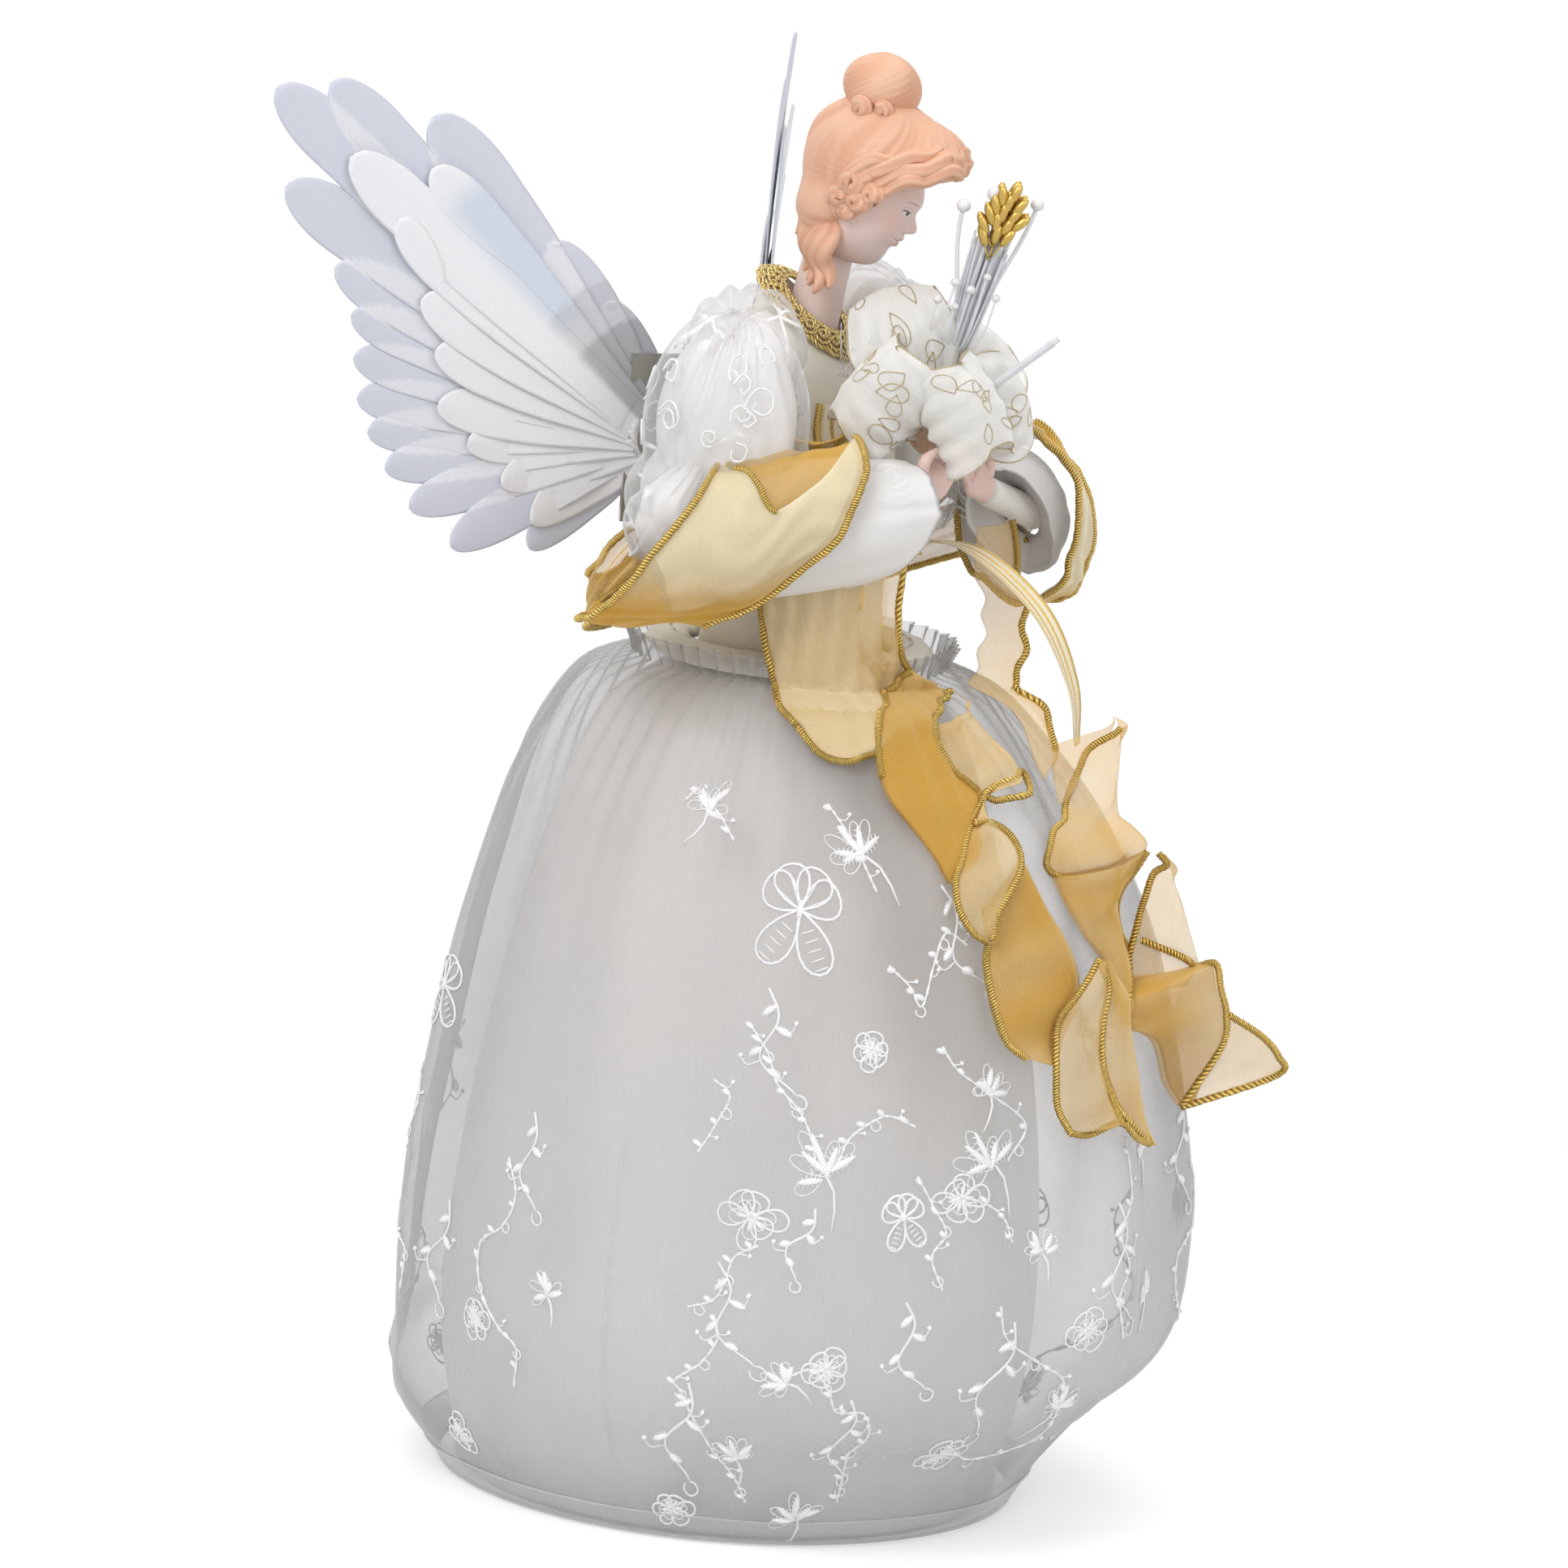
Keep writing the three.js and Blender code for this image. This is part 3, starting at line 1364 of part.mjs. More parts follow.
function addWing(side) {
  const name = side < 0 ? 'right' : 'left';
  const front = -side;
  const wing = new THREE.Group();
  wing.position.set(side * wingHingeX, wingHingeY, torsoBase);
  wing.rotation.z = side < 0 ? Math.PI - wingSweep : wingSweep;
  const backOffset = stayFlangeThickness / 2 + seatGap + wingSheetThickness / 2;
  const frontOffset = backOffset + wingSheetThickness + seatGap;
  add(`${name}_wing_stay`, wingStay(), metal, wing);
  const back = add(`${name}_wing_back_sheet`, wingSheet(backFeathers), featherFilm, wing);
  const over = add(`${name}_wing_front_sheet`, wingSheet(frontFeathers), featherFilm, wing);
  back.position.y = front * backOffset;
  over.position.y = front * frontOffset;
  model.add(wing);
}

// Assembly

add('support_cone', supportCone(), card);
addBatteryUnit();
addLightUnit();
add('torso_core', torsoCore(), foam);
add('doll_bust', dollBust(), porcelain);
add('collar_braid', collarBraid(), goldBraid);
add('bodice', bodice(), satin);
add('waist_band', waistBand(), satin);
add('lining_skirt', lining(), satin);
add('overskirt', overskirt(), organza);

armSides.forEach((arm) => {
  const name = arm.side < 0 ? 'right' : 'left';
  add(`${name}_arm_core`, cut(armTube(arm), torsoSolid(seatGap)), foam);
  add(`${name}_hand`, hand(arm), porcelain);
  add(`${name}_puff_sleeve`, puffSleeve(arm), organza);
  add(`${name}_bell_sleeve`, bellSleeve(arm), satin);
  add(`shawl_${name}_wrap`, shawlWrap(arm), goldOrganza);
});

add('shawl_back', shawlBack(), goldOrganza);
add('shawl_right_tail', shawlTail(rightTailShares, 4), goldOrganza);
add('shawl_left_tail', shawlTail(leftTailShares, 3), goldOrganza);
add('chest_sash', chestSash(), ivoryRibbon);
add('sash_bow', sashBow(), ivoryRibbon);
add('sash_streamer', sashStreamer(), ivoryRibbon);

const knotPlace = bouquetKnotPlace();
const knotBall = ellipsoid(knotRadius, knotRadius, knotRadius, 10, 7);
add('bouquet_knot', knotBall, ivoryRibbon).position.copy(knotPlace);
Object.keys(petals).forEach((name) => add(`bouquet_petal_${name}`, petal(name), ivoryRibbon));
add('fibre_spray', fibreSpray(), pearl);
add('gold_berries', goldBerries(), goldBraid);
add('fibre_rod', fibreRod(), clearPlastic);

add('wing_bracket', wingBracket(), metal);
['lower', 'upper'].forEach((level, n) => {
  const fastener = add(`wing_screw_${level}`, screw(wingScrewLength), metal);
  const headY = bracketFrontY + bracketThickness + seatGap + screwHeadHeight;
  fastener.position.set(0, headY, wingScrewPlaces()[n]);
  fastener.rotation.x = Math.PI / 2;
});
addWing(-1);
addWing(1);

export default model;
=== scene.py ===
import json

import bpy
import numpy as np
from mathutils import Matrix, Vector


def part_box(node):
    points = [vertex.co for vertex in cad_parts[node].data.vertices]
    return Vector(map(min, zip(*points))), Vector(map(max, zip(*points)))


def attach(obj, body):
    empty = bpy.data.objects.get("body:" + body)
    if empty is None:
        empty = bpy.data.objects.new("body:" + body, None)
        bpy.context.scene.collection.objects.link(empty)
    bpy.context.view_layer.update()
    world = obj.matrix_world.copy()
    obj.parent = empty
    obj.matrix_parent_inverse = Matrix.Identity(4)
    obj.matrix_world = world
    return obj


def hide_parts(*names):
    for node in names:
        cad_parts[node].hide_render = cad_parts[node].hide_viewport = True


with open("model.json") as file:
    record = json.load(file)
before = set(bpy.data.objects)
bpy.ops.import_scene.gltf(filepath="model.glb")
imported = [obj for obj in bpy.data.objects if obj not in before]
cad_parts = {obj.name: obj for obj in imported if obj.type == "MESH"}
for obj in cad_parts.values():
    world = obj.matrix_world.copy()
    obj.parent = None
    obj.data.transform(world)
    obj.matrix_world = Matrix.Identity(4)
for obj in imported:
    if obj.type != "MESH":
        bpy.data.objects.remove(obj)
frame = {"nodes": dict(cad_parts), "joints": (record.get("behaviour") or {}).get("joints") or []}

bl_info = {
    "name": "Angel tree topper",
    "version": (1, 0, 0),
    "blender": (4, 5, 0),
    "location": "View3D > Sidebar > Topper",
    "description": "Dresses the packed angel tree topper: doll, robes, shawl, bouquet and wings",
    "category": "Add Mesh",
}

# Millimetres and degrees in this file's own units, metres and radians
MM = 0.001
DEG = np.pi / 180
TURN = 2 * np.pi

# Directions along X and Z
ASIDE = np.array([1.0, 0, 0])
UPWARD = np.array([0, 0, 1.0])


def corners(name):
    """The low and the high corner of a CAD piece's box."""
    return [np.array(corner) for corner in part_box(name)]


# The figure's frame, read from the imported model
TORSO_LOW, TORSO_HIGH = corners("torso_core")
TORSO_BASE = TORSO_LOW[2]
TORSO_HEIGHT = TORSO_HIGH[2] - TORSO_LOW[2]
TORSO_HALF_WIDTH = (TORSO_HIGH[0] - TORSO_LOW[0]) / 2
TORSO_HALF_DEPTH = 20 * MM
LINING_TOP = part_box("lining_skirt")[1].z
SKIRT_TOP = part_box("overskirt")[1].z
BAND_LOW, BAND_HIGH = corners("waist_band")
KNOT = sum(corners("bouquet_knot")) / 2


# Sizes and colours that the panel shows


def length(name, description, default):
    """A length property of a property group, in metres."""
    return bpy.props.FloatProperty(name=name, description=description, default=default, unit="LENGTH", precision=5)


def colour(name, description, default):
    """A colour property of a property group, in linear light."""
    return bpy.props.FloatVectorProperty(
        name=name, description=description, default=default, size=3, min=0, max=1, subtype="COLOR"
    )


class TopperSizes(bpy.types.PropertyGroup):
    """Sizes of the dressed topper"""

    cloth: length("Cloth", "Thickness of the satin and organza", 0.25 * MM)
    film: length("Film", "Thickness of a feather", 0.22 * MM)
    cord: length("Cord radius", "Radius of the gold cord on the shawl's edges", 1.0 * MM)
    thread: length("Thread radius", "Radius of the embroidery thread", 0.4 * MM)
    skirt_hem: length("Skirt hem radius", "Radius of the overskirt's hem", 80 * MM)
    skirt_waist: length("Skirt waist radius", "Radius of the overskirt where it is gathered", 42 * MM)
    skirt_fullness: length("Skirt fullness", "How far the overskirt swells", 41 * MM)
    skirt_forward: length("Skirt forward", "How far the overskirt leans to the front", 17 * MM)
    skirt_fold: length("Fold depth", "Depth of the overskirt's folds", 5 * MM)
    skirt_gather: length("Gather depth", "Depth of the small gathers under the waist", 0.9 * MM)
    tail_width: length("Shawl width", "Width of the shawl's ribbon", 34 * MM)
    tail_ruffle: length("Ruffle", "How far the shawl's edges stand off", 6 * MM)
    sleeve_radius: length("Sleeve radius", "Radius of the bell sleeves", 16.5 * MM)
    wing_length: length("Wing length", "Length of the longest feather", 151 * MM)
    feather_half_width: length("Feather half width", "Half the width of a feather", 8 * MM)
    petal_length: length("Petal length", "Length of the bouquet's ribbon loops", 30 * MM)
    petal_width: length("Petal width", "Width of the bouquet's ribbon", 31 * MM)
    petal_thickness: length("Petal depth", "Depth of the bouquet's ribbon loops", 23 * MM)
    pearl: length("Pearl radius", "Radius of a pearl", 1.75 * MM)
    head: length("Head height", "Height of the doll's head", 40 * MM)


class TopperColours(bpy.types.PropertyGroup):
    """Colours of the dressed topper"""

    porcelain: colour("Porcelain", "Skin of the bisque bust and hands", (0.81, 0.65, 0.60))
    hair: colour("Hair", "Painted hair", (0.77, 0.45, 0.31))
    lips: colour("Lips", "Painted lips", (0.62, 0.24, 0.22))
    satin: colour("Satin", "White satin of the sleeves and lining", (0.87, 0.855, 0.845))
    ivory: colour("Ivory", "Ivory satin", (0.86, 0.81, 0.70))
    organza: colour("Organza", "White organza", (0.52, 0.515, 0.515))
    gold_cloth: colour("Gold organza", "Shawl", (0.82, 0.49, 0.07))
    gold: colour("Gold", "Cords, braid and beads", (0.58, 0.40, 0.11))
    thread: colour("Thread", "Embroidery thread", (0.92, 0.92, 0.93))
    ribbon: colour("Ribbon", "Striped ribbon", (0.84, 0.76, 0.58))
    film_single: colour("Film, one layer", "One layer of feather film", (0.66, 0.68, 0.77))
    film_many: colour("Film, many layers", "Film where feathers overlap", (0.86, 0.87, 0.90))
    fibre: colour("Fibre", "Light fibres", (0.84, 0.85, 0.89))


# Maths on whole arrays


def lerp(low, high, part):
    """Straight blend from low to high."""
    return low + (high - low) * part


def dab(paint, colour_value, amount):
    """Painted colours blended towards a colour by an amount at each point."""
    return lerp(paint, np.array(colour_value), amount[..., None])


def smooth(value, low, high):
    """0 below low, 1 above high, and an S curve between them."""
    part = np.clip((value - low) / (high - low), 0, 1)
    return part * part * (3 - 2 * part)


def unit(vectors):
    """Vectors of length one along the last axis."""
    vectors = np.asarray(vectors, float)
    return vectors / np.maximum(np.linalg.norm(vectors, axis=-1, keepdims=True), 1e-12)


def spline(points, count):
    """Points on the Catmull-Rom curve through the given ones, evenly spread in its parameter."""
    given = np.asarray(points, float)
    ends = np.vstack([2 * given[:1] - given[1:2], given, 2 * given[-1:] - given[-2:-1]])
    place = np.linspace(0, len(given) - 1, count)
    step = np.minimum(place.astype(int), len(given) - 2)
    part = (place - step).reshape(-1, *[1] * (given.ndim - 1))
    a, b, c, d = (ends[step + shift] for shift in range(4))
    return 0.5 * (
        2 * b + (c - a) * part + (2 * a - 5 * b + 4 * c - d) * part**2 + (3 * b - a - 3 * c + d) * part**3
    )


def table_at(table, share, column=1):
    """The smooth value of a table's column at a share given by its first column."""
    curve = spline(np.asarray(table, float)[:, [0, column]], 16 * len(table))
    return np.interp(share, curve[:, 0], curve[:, 1])


def wobble(seed, scale, *coordinates, terms=7):
    """A smooth random value near -1 to 1: a sum of sine waves in random directions."""
    random = np.random.default_rng(seed)
    total = 0
    for _ in range(terms):
        slopes = random.normal(size=len(coordinates)) * scale
        phase = random.uniform(0, TURN)
        total = total + np.sin(sum(k * value for k, value in zip(slopes, coordinates)) + phase)
    return total / np.sqrt(terms)


def turned(vectors, axis, angle):
    """Vectors turned about an axis by an angle, by Rodrigues' formula."""
    axis = unit(axis)
    cos, sin = np.cos(angle), np.sin(angle)
    along = np.sum(vectors * axis, axis=-1, keepdims=True) * axis
    return vectors * cos + np.cross(axis, vectors) * sin + along * (1 - cos)


def tangents(path):
    """Unit directions along a path of points."""
    return unit(np.gradient(np.asarray(path, float), axis=0))


def path_length(path):
    """Length of a path of points."""
    return float(np.linalg.norm(np.diff(path, axis=0), axis=1).sum())


def cross_axes(direction):
    """Two unit vectors square to a direction, side and up, with up leaning to +Z."""
    forward = unit(direction)
    up = unit(np.array([0.0, 0.0, 1.0]) - forward[..., 2:3] * forward)
    return np.cross(forward, up), up


def away(points):
    """Level unit directions from the upright axis towards points."""
    return unit(points * np.array([1, 1, 0]))


def plane_axes(degrees):
    """Two unit vectors of a plane: one at an angle from its first axis, and one square to it."""
    cos, sin = np.cos(degrees * DEG), np.sin(degrees * DEG)
    return np.array([cos, sin]), np.array([-sin, cos])


def round_axis(radius, angle, height):
    """Places at an angle from -Y towards +X: radius * sin, -radius * cos, height."""
    return np.stack([radius * np.sin(angle), -radius * np.cos(angle), height], -1)


def circle(angle, first, second):
    """Points of a unit circle: first * cos + second * sin."""
    return np.cos(angle)[:, None] * first + np.sin(angle)[:, None] * second


def rounded(columns):
    """Angles all the way round, without the last one."""
    return np.linspace(-np.pi, np.pi, columns, endpoint=False)


def globe(down, angle):
    """Unit directions from an angle down from the pole and one round it."""
    level = np.sin(down)
    return np.stack(np.broadcast_arrays(level * np.cos(angle), level * np.sin(angle), np.cos(down)), -1)


def body_place(shares):
    """A place on the figure from shares of its half width, half depth and height."""
    shares = np.asarray(shares, float)
    size = np.array([TORSO_HALF_WIDTH, TORSO_HALF_DEPTH, TORSO_HEIGHT])
    return shares * size + np.array([0, 0, TORSO_BASE])


def leaning(degrees, lean_degrees):
    """A direction: an angle from -Y towards +X, and a lean away from upright."""
    angle, lean = degrees * DEG, lean_degrees * DEG
    return np.array([np.sin(lean) * np.sin(angle), -np.sin(lean) * np.cos(angle), np.cos(lean)])


# Meshes from whole arrays


def tube(path, radius, sides=8, flat=1.0, about=None):
    """Rings of points round a path: path + side * cos * radius + up * sin * radius * flat."""
    path = np.asarray(path, float)
    forward = tangents(path)
    if about is None:
        about = np.eye(3)[np.argmin(np.abs(forward).mean(0))]
    side = unit(np.cross(forward, about))
    up = np.cross(side, forward)
    angle = np.linspace(0, TURN, sides, endpoint=False)[None, :, None]
    radius = np.broadcast_to(np.asarray(radius, float), len(path))[:, None, None]
    return path[:, None] + radius * (np.cos(angle) * side[:, None] + flat * np.sin(angle) * up[:, None])


def ball(centre, half_sizes, rows, columns):
    """Rings of an ellipsoid, pole to pole."""
    down = np.linspace(0.02, 0.98, rows)[:, None] * np.pi
    angle = np.linspace(0, TURN, columns, endpoint=False)[None, :]
    return np.asarray(centre) + globe(down, angle) * np.asarray(half_sizes)


class Shape:
    """Collects the grids of one piece and makes one mesh object of them."""

    def __init__(self):
        self.points, self.quads, self.triangles = [], [], []
        self.quad_uvs, self.triangle_uvs, self.paints = [], [], []
        self.count = 0

    def grid(self, points, uv=(1.0, 1.0), wrap_rows=False, wrap_columns=False, cap=False, paint=None):
        """Adds a grid of quads. Its ends are capped with fans, and a closed grid is turned outwards."""
        rows, columns = points.shape[:2]
        row = np.arange(rows if wrap_rows else rows - 1)
        column = np.arange(columns if wrap_columns else columns - 1)
        row, column = (part.ravel() for part in np.meshgrid(row, column, indexing="ij"))
        ahead, beside = (row + 1) % rows, (column + 1) % columns
        quads = np.stack(
            [row * columns + column, row * columns + beside, ahead * columns + beside, ahead * columns + column], 1
        )
        across = np.stack([column, column + 1, column + 1, column], 1) / max(columns - (not wrap_columns), 1)
        along = np.stack([row, row, row + 1, row + 1], 1) / max(rows - (not wrap_rows), 1)
        quad_uvs = np.stack([across * uv[0], along * uv[1]], -1)
        flat = points.reshape(-1, 3)
        paint = np.ones((rows, columns, 3)) if paint is None else np.broadcast_to(paint, points.shape)
        paint = paint.reshape(-1, 3)
        triangles = np.zeros((0, 3), int)
        triangle_uvs = np.zeros((0, 3, 2))
        if cap:
            here, other = np.arange(columns), (np.arange(columns) + 1) % columns
            last = (rows - 1) * columns
            flat = np.vstack([flat, points[0].mean(0), points[-1].mean(0)])
            paint = np.vstack([paint, paint[0], paint[last]])
            middle = np.full(columns, rows * columns)
            first_fan = np.stack([other, here, middle], 1)
            last_fan = np.stack([last + here, last + other, middle + 1], 1)
            triangles = np.vstack([first_fan, last_fan])
            corners = np.stack([here / columns, (here + 1) / columns, (here + 0.5) / columns], 1) * uv[0]
            ends = np.concatenate([np.zeros((columns, 3)), np.full((columns, 3), uv[1])])
            triangle_uvs = np.stack([np.vstack([corners, corners]), ends], -1)
        if cap or (wrap_rows and wrap_columns):
            a, b, c, d = (flat[quads[:, k]] for k in range(4))
            volume = np.sum(a * np.cross(b, c)) + np.sum(a * np.cross(c, d))
            if len(triangles):
                a, b, c = (flat[triangles[:, k]] for k in range(3))
                volume += np.sum(a * np.cross(b, c))
            if volume < 0:
                quads, quad_uvs = quads[:, ::-1], quad_uvs[:, ::-1]
                triangles, triangle_uvs = triangles[:, ::-1], triangle_uvs[:, ::-1]
        self.points.append(flat)
        self.paints.append(paint)
        self.quads.append(quads + self.count)
        self.quad_uvs.append(quad_uvs)
        self.triangles.append(triangles + self.count)
        self.triangle_uvs.append(triangle_uvs)
        self.count += len(flat)
        return self

    def rod(self, path, radius, sides=8, flat=1.0, about=None, paint=None):
        """Adds a closed tube along a path, with its UV map's V in millimetres."""
        points = tube(path, radius, sides, flat, about)
        return self.grid(points, (1.0, path_length(path) / MM), wrap_columns=True, cap=True, paint=paint)

    def ring(self, path, radius, sides):
        """Adds a closed tube along a path that ends where it starts, without its last point."""
        closed = np.vstack([path[-1:], path, path[:1]])
        points = tube(closed, radius, sides)[1:-1]
        return self.grid(points, (1.0, path_length(closed) / MM), wrap_rows=True, wrap_columns=True)

    def make(self, name, material, body="root", slot=None, replaces=(), thickness=0.0, offset=0.0):
        """Makes the object, lets it ride on its body and gives it a thickness if it is a sheet."""
        mesh = bpy.data.meshes.new(name)
        quads, triangles = np.concatenate(self.quads), np.concatenate(self.triangles)
        mesh.from_pydata(np.concatenate(self.points).tolist(), [], quads.tolist() + triangles.tolist())
        uvs = np.concatenate(
            [np.concatenate(self.quad_uvs).reshape(-1, 2), np.concatenate(self.triangle_uvs).reshape(-1, 2)]
        )
        mesh.uv_layers.new(name="UVMap").data.foreach_set("uv", uvs.ravel().astype(np.float32))
        paint = np.concatenate(self.paints)
        if paint.min() < 1:
            layer = mesh.color_attributes.new(name="paint", type="FLOAT_COLOR", domain="POINT")
            layer.data.foreach_set("color", np.column_stack([paint, np.ones(len(paint))]).ravel())
        mesh.shade_smooth()
        mesh.materials.append(material)
        piece = bpy.data.objects.new(name, mesh)
        bpy.context.scene.collection.objects.link(piece)
        if thickness:
            solid = piece.modifiers.new("Thickness", "SOLIDIFY")
            solid.thickness = thickness
            solid.offset = offset
        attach(piece, body)
        if replaces:
            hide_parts(*replaces)
        return piece


# Nodes and shared shader effects


def add_node(tree, kind, sockets=None, **settings):
    """Adds a node. Sockets maps an input's name or number to a value or to a socket to link."""
    node = tree.nodes.new(kind)
    for name, value in settings.items():
        setattr(node, name, value)
    for name, value in (sockets or {}).items():
        if isinstance(value, bpy.types.NodeSocket):
            tree.links.new(value, node.inputs[name])
        else:
            node.inputs[name].default_value = value
    return node


def map_range(tree, value, *bounds):
    """A value mapped from the first two bounds to the next two, or to 0 and 1, and kept between them."""
    return add_node(tree, "ShaderNodeMapRange", {0: value, **dict(enumerate(bounds, 1))}).outputs[0]


def noise(tree, vector, scale, detail):
    """Noise at a place, from 0 to 1."""
    return add_node(tree, "ShaderNodeTexNoise", {"Vector": vector, "Scale": scale, "Detail": detail}).outputs[0]


def stretched(tree, vector, *scale):
    """A place scaled by a factor along each axis."""
    return add_node(tree, "ShaderNodeMapping", {"Vector": vector, "Scale": scale}).outputs[0]


def painted(tree):
    """The colour that the piece's own points are painted in."""
    return add_node(tree, "ShaderNodeAttribute", attribute_name="paint").outputs["Color"]


def math_node(tree, operation, *values):
    """A Math node's output."""
    return add_node(tree, "ShaderNodeMath", dict(enumerate(values)), operation=operation).outputs[0]


def mix_colour(tree, factor, first, second, blend="MIX"):
    """A colour mix's output."""
    node = add_node(tree, "ShaderNodeMix", data_type="RGBA", blend_type=blend)
    for number, value in ((0, factor), (6, first), (7, second)):
        if isinstance(value, bpy.types.NodeSocket):
            tree.links.new(value, node.inputs[number])
        else:
            node.inputs[number].default_value = value if number == 0 else (*value, 1)
    return node.outputs[2]


def new_group(name, inputs, outputs):
    """An empty shader node group with float or vector inputs, and its input and output nodes."""
    group = bpy.data.node_groups.new(name, "ShaderNodeTree")
    for socket, kind, value in inputs:
        made = group.interface.new_socket(socket, in_out="INPUT", socket_type=kind)
        if value is not None:
            made.default_value = value
    for socket, kind in outputs:
        group.interface.new_socket(socket, in_out="OUTPUT", socket_type=kind)
    return group, group.nodes.new("NodeGroupInput").outputs, group.nodes.new("NodeGroupOutput").inputs


def weave_group():
    """Crossed threads: the product of a sine along U and a sine along V, with slubs from noise."""
    group, given, result = new_group(
        "Cloth weave",
        [("Vector", "NodeSocketVector", None), ("Threads", "NodeSocketFloat", 3.0)],
        [("Height", "NodeSocketFloat"), ("Slub", "NodeSocketFloat")],
    )
    split = add_node(group, "ShaderNodeSeparateXYZ", {0: given["Vector"]})
    waves = []
    for axis in (0, 1):
        turns = math_node(group, "MULTIPLY", split.outputs[axis], given["Threads"])
        waves.append(math_node(group, "SINE", math_node(group, "MULTIPLY", turns, TURN)))
    crossed = math_node(group, "MULTIPLY", *waves)
    group.links.new(math_node(group, "MULTIPLY_ADD", crossed, 0.5, 0.5), result["Height"])
    slub = noise(group, stretched(group, given["Vector"], 2.2, 0.12, 1.0), 1.0, 2.0)
    group.links.new(slub, result["Slub"])
    return group


def mottle_group():
    """Soft patches: noise at two sizes on object coordinates, from 0 to 1."""
    group, given, result = new_group(
        "Soft mottle",
        [("Vector", "NodeSocketVector", None), ("Scale", "NodeSocketFloat", 60.0)],
        [("Value", "NodeSocketFloat"), ("Fine", "NodeSocketFloat")],
    )
    finer = math_node(group, "MULTIPLY", given["Scale"], 14.0)
    group.links.new(noise(group, given["Vector"], given["Scale"], 3.0), result["Value"])
    group.links.new(noise(group, given["Vector"], finer, 3.0), result["Fine"])
    return group


def twist_group():
    """A twisted cord: sines along U plus V, with glints where noise is high."""
    group, given, result = new_group(
        "Twisted cord",
        [("Vector", "NodeSocketVector", None), ("Turns", "NodeSocketFloat", 0.55)],
        [("Height", "NodeSocketFloat"), ("Glint", "NodeSocketFloat")],
    )
    split = add_node(group, "ShaderNodeSeparateXYZ", {0: given["Vector"]})
    along = math_node(group, "MULTIPLY", split.outputs[1], given["Turns"])
    turns = math_node(group, "MULTIPLY_ADD", split.outputs[0], 2.0, along)
    height = math_node(group, "ABSOLUTE", math_node(group, "SINE", math_node(group, "MULTIPLY", turns, np.pi)))
    group.links.new(height, result["Height"])
    group.links.new(noise(group, given["Vector"], 3.4, 2.0), result["Glint"])
    return group


WEAVE = weave_group()
MOTTLE = mottle_group()
TWIST = twist_group()


def add_group(tree, group, **sockets):
    """A group node's outputs."""
    node = tree.nodes.new("ShaderNodeGroup")
    node.node_tree = group
    for name, value in sockets.items():
        if isinstance(value, bpy.types.NodeSocket):
            tree.links.new(value, node.inputs[name])
        else:
            node.inputs[name].default_value = value
    return node.outputs


def new_material(name, **constants):
    """A material with its Principled node's constants set, and its tree, shader and coordinates."""
    made = bpy.data.materials.new(name)
    made.use_nodes = True
    tree = made.node_tree
    shader = next(node for node in tree.nodes if node.type == "BSDF_PRINCIPLED")
    for socket, value in constants.items():
        shader.inputs[socket.replace("_", " ")].default_value = value
    return made, tree, shader, tree.nodes.new("ShaderNodeTexCoord").outputs


def mottled(tree, place, scale):
    """The outputs of the mottle group on a material's object coordinates."""
    return add_group(tree, MOTTLE, Vector=place["Object"], Scale=scale)


def feed(tree, shader, **outputs):
    """Links outputs to the shader's inputs of the same names, with _ for a space."""
    for socket, output in outputs.items():
        tree.links.new(output, shader.inputs[socket.replace("_", " ")])


def bump(tree, shader, height, distance, strength=0.5):
    """Feeds a height to the shader's normal through a Bump node."""
    made = add_node(tree, "ShaderNodeBump", {"Height": height, "Distance": distance, "Strength": strength})
    feed(tree, shader, Normal=made.outputs[0])


def tinted(tree, value, colour_value, low, high):
    """A colour times a factor that runs from low to high as a value runs from 0 to 1."""
    dark = tuple(min(channel * low, 1.0) for channel in colour_value)
    light = tuple(min(channel * high, 1.0) for channel in colour_value)
    return mix_colour(tree, value, dark, light)


def satin_material(name, colour_value, threads=2.5, sheen=0.25, warm=None):
    """Satin: a soft anisotropic-looking gloss broken by long slubs and faint creases."""
    made, tree, shader, place = new_material(name, Roughness=0.42, Sheen_Weight=sheen, Specular_IOR_Level=0.45)
    weave = add_group(tree, WEAVE, Vector=place["UV"], Threads=threads)
    mottle = mottled(tree, place, 45.0)
    base = tinted(tree, mottle["Value"], colour_value, 0.93, 1.06)
    if warm:
        height = add_node(tree, "ShaderNodeSeparateXYZ", {0: place["Object"]}).outputs[2]
        rise = map_range(tree, height, 90 * MM, 190 * MM)
        patch = math_node(tree, "MULTIPLY", rise, mottle["Value"])
        base = mix_colour(tree, patch, colour_value, warm)
        base = mix_colour(tree, 0.25, base, tinted(tree, mottle["Value"], colour_value, 0.9, 1.05))
    rough = math_node(tree, "MULTIPLY_ADD", weave["Slub"], 0.3, 0.3)
    feed(tree, shader, Base_Color=base, Roughness=rough)
    height = math_node(tree, "MULTIPLY_ADD", weave["Height"], 0.25, weave["Slub"])
    bump(tree, shader, height, 0.12 * MM, 0.35)
    return made


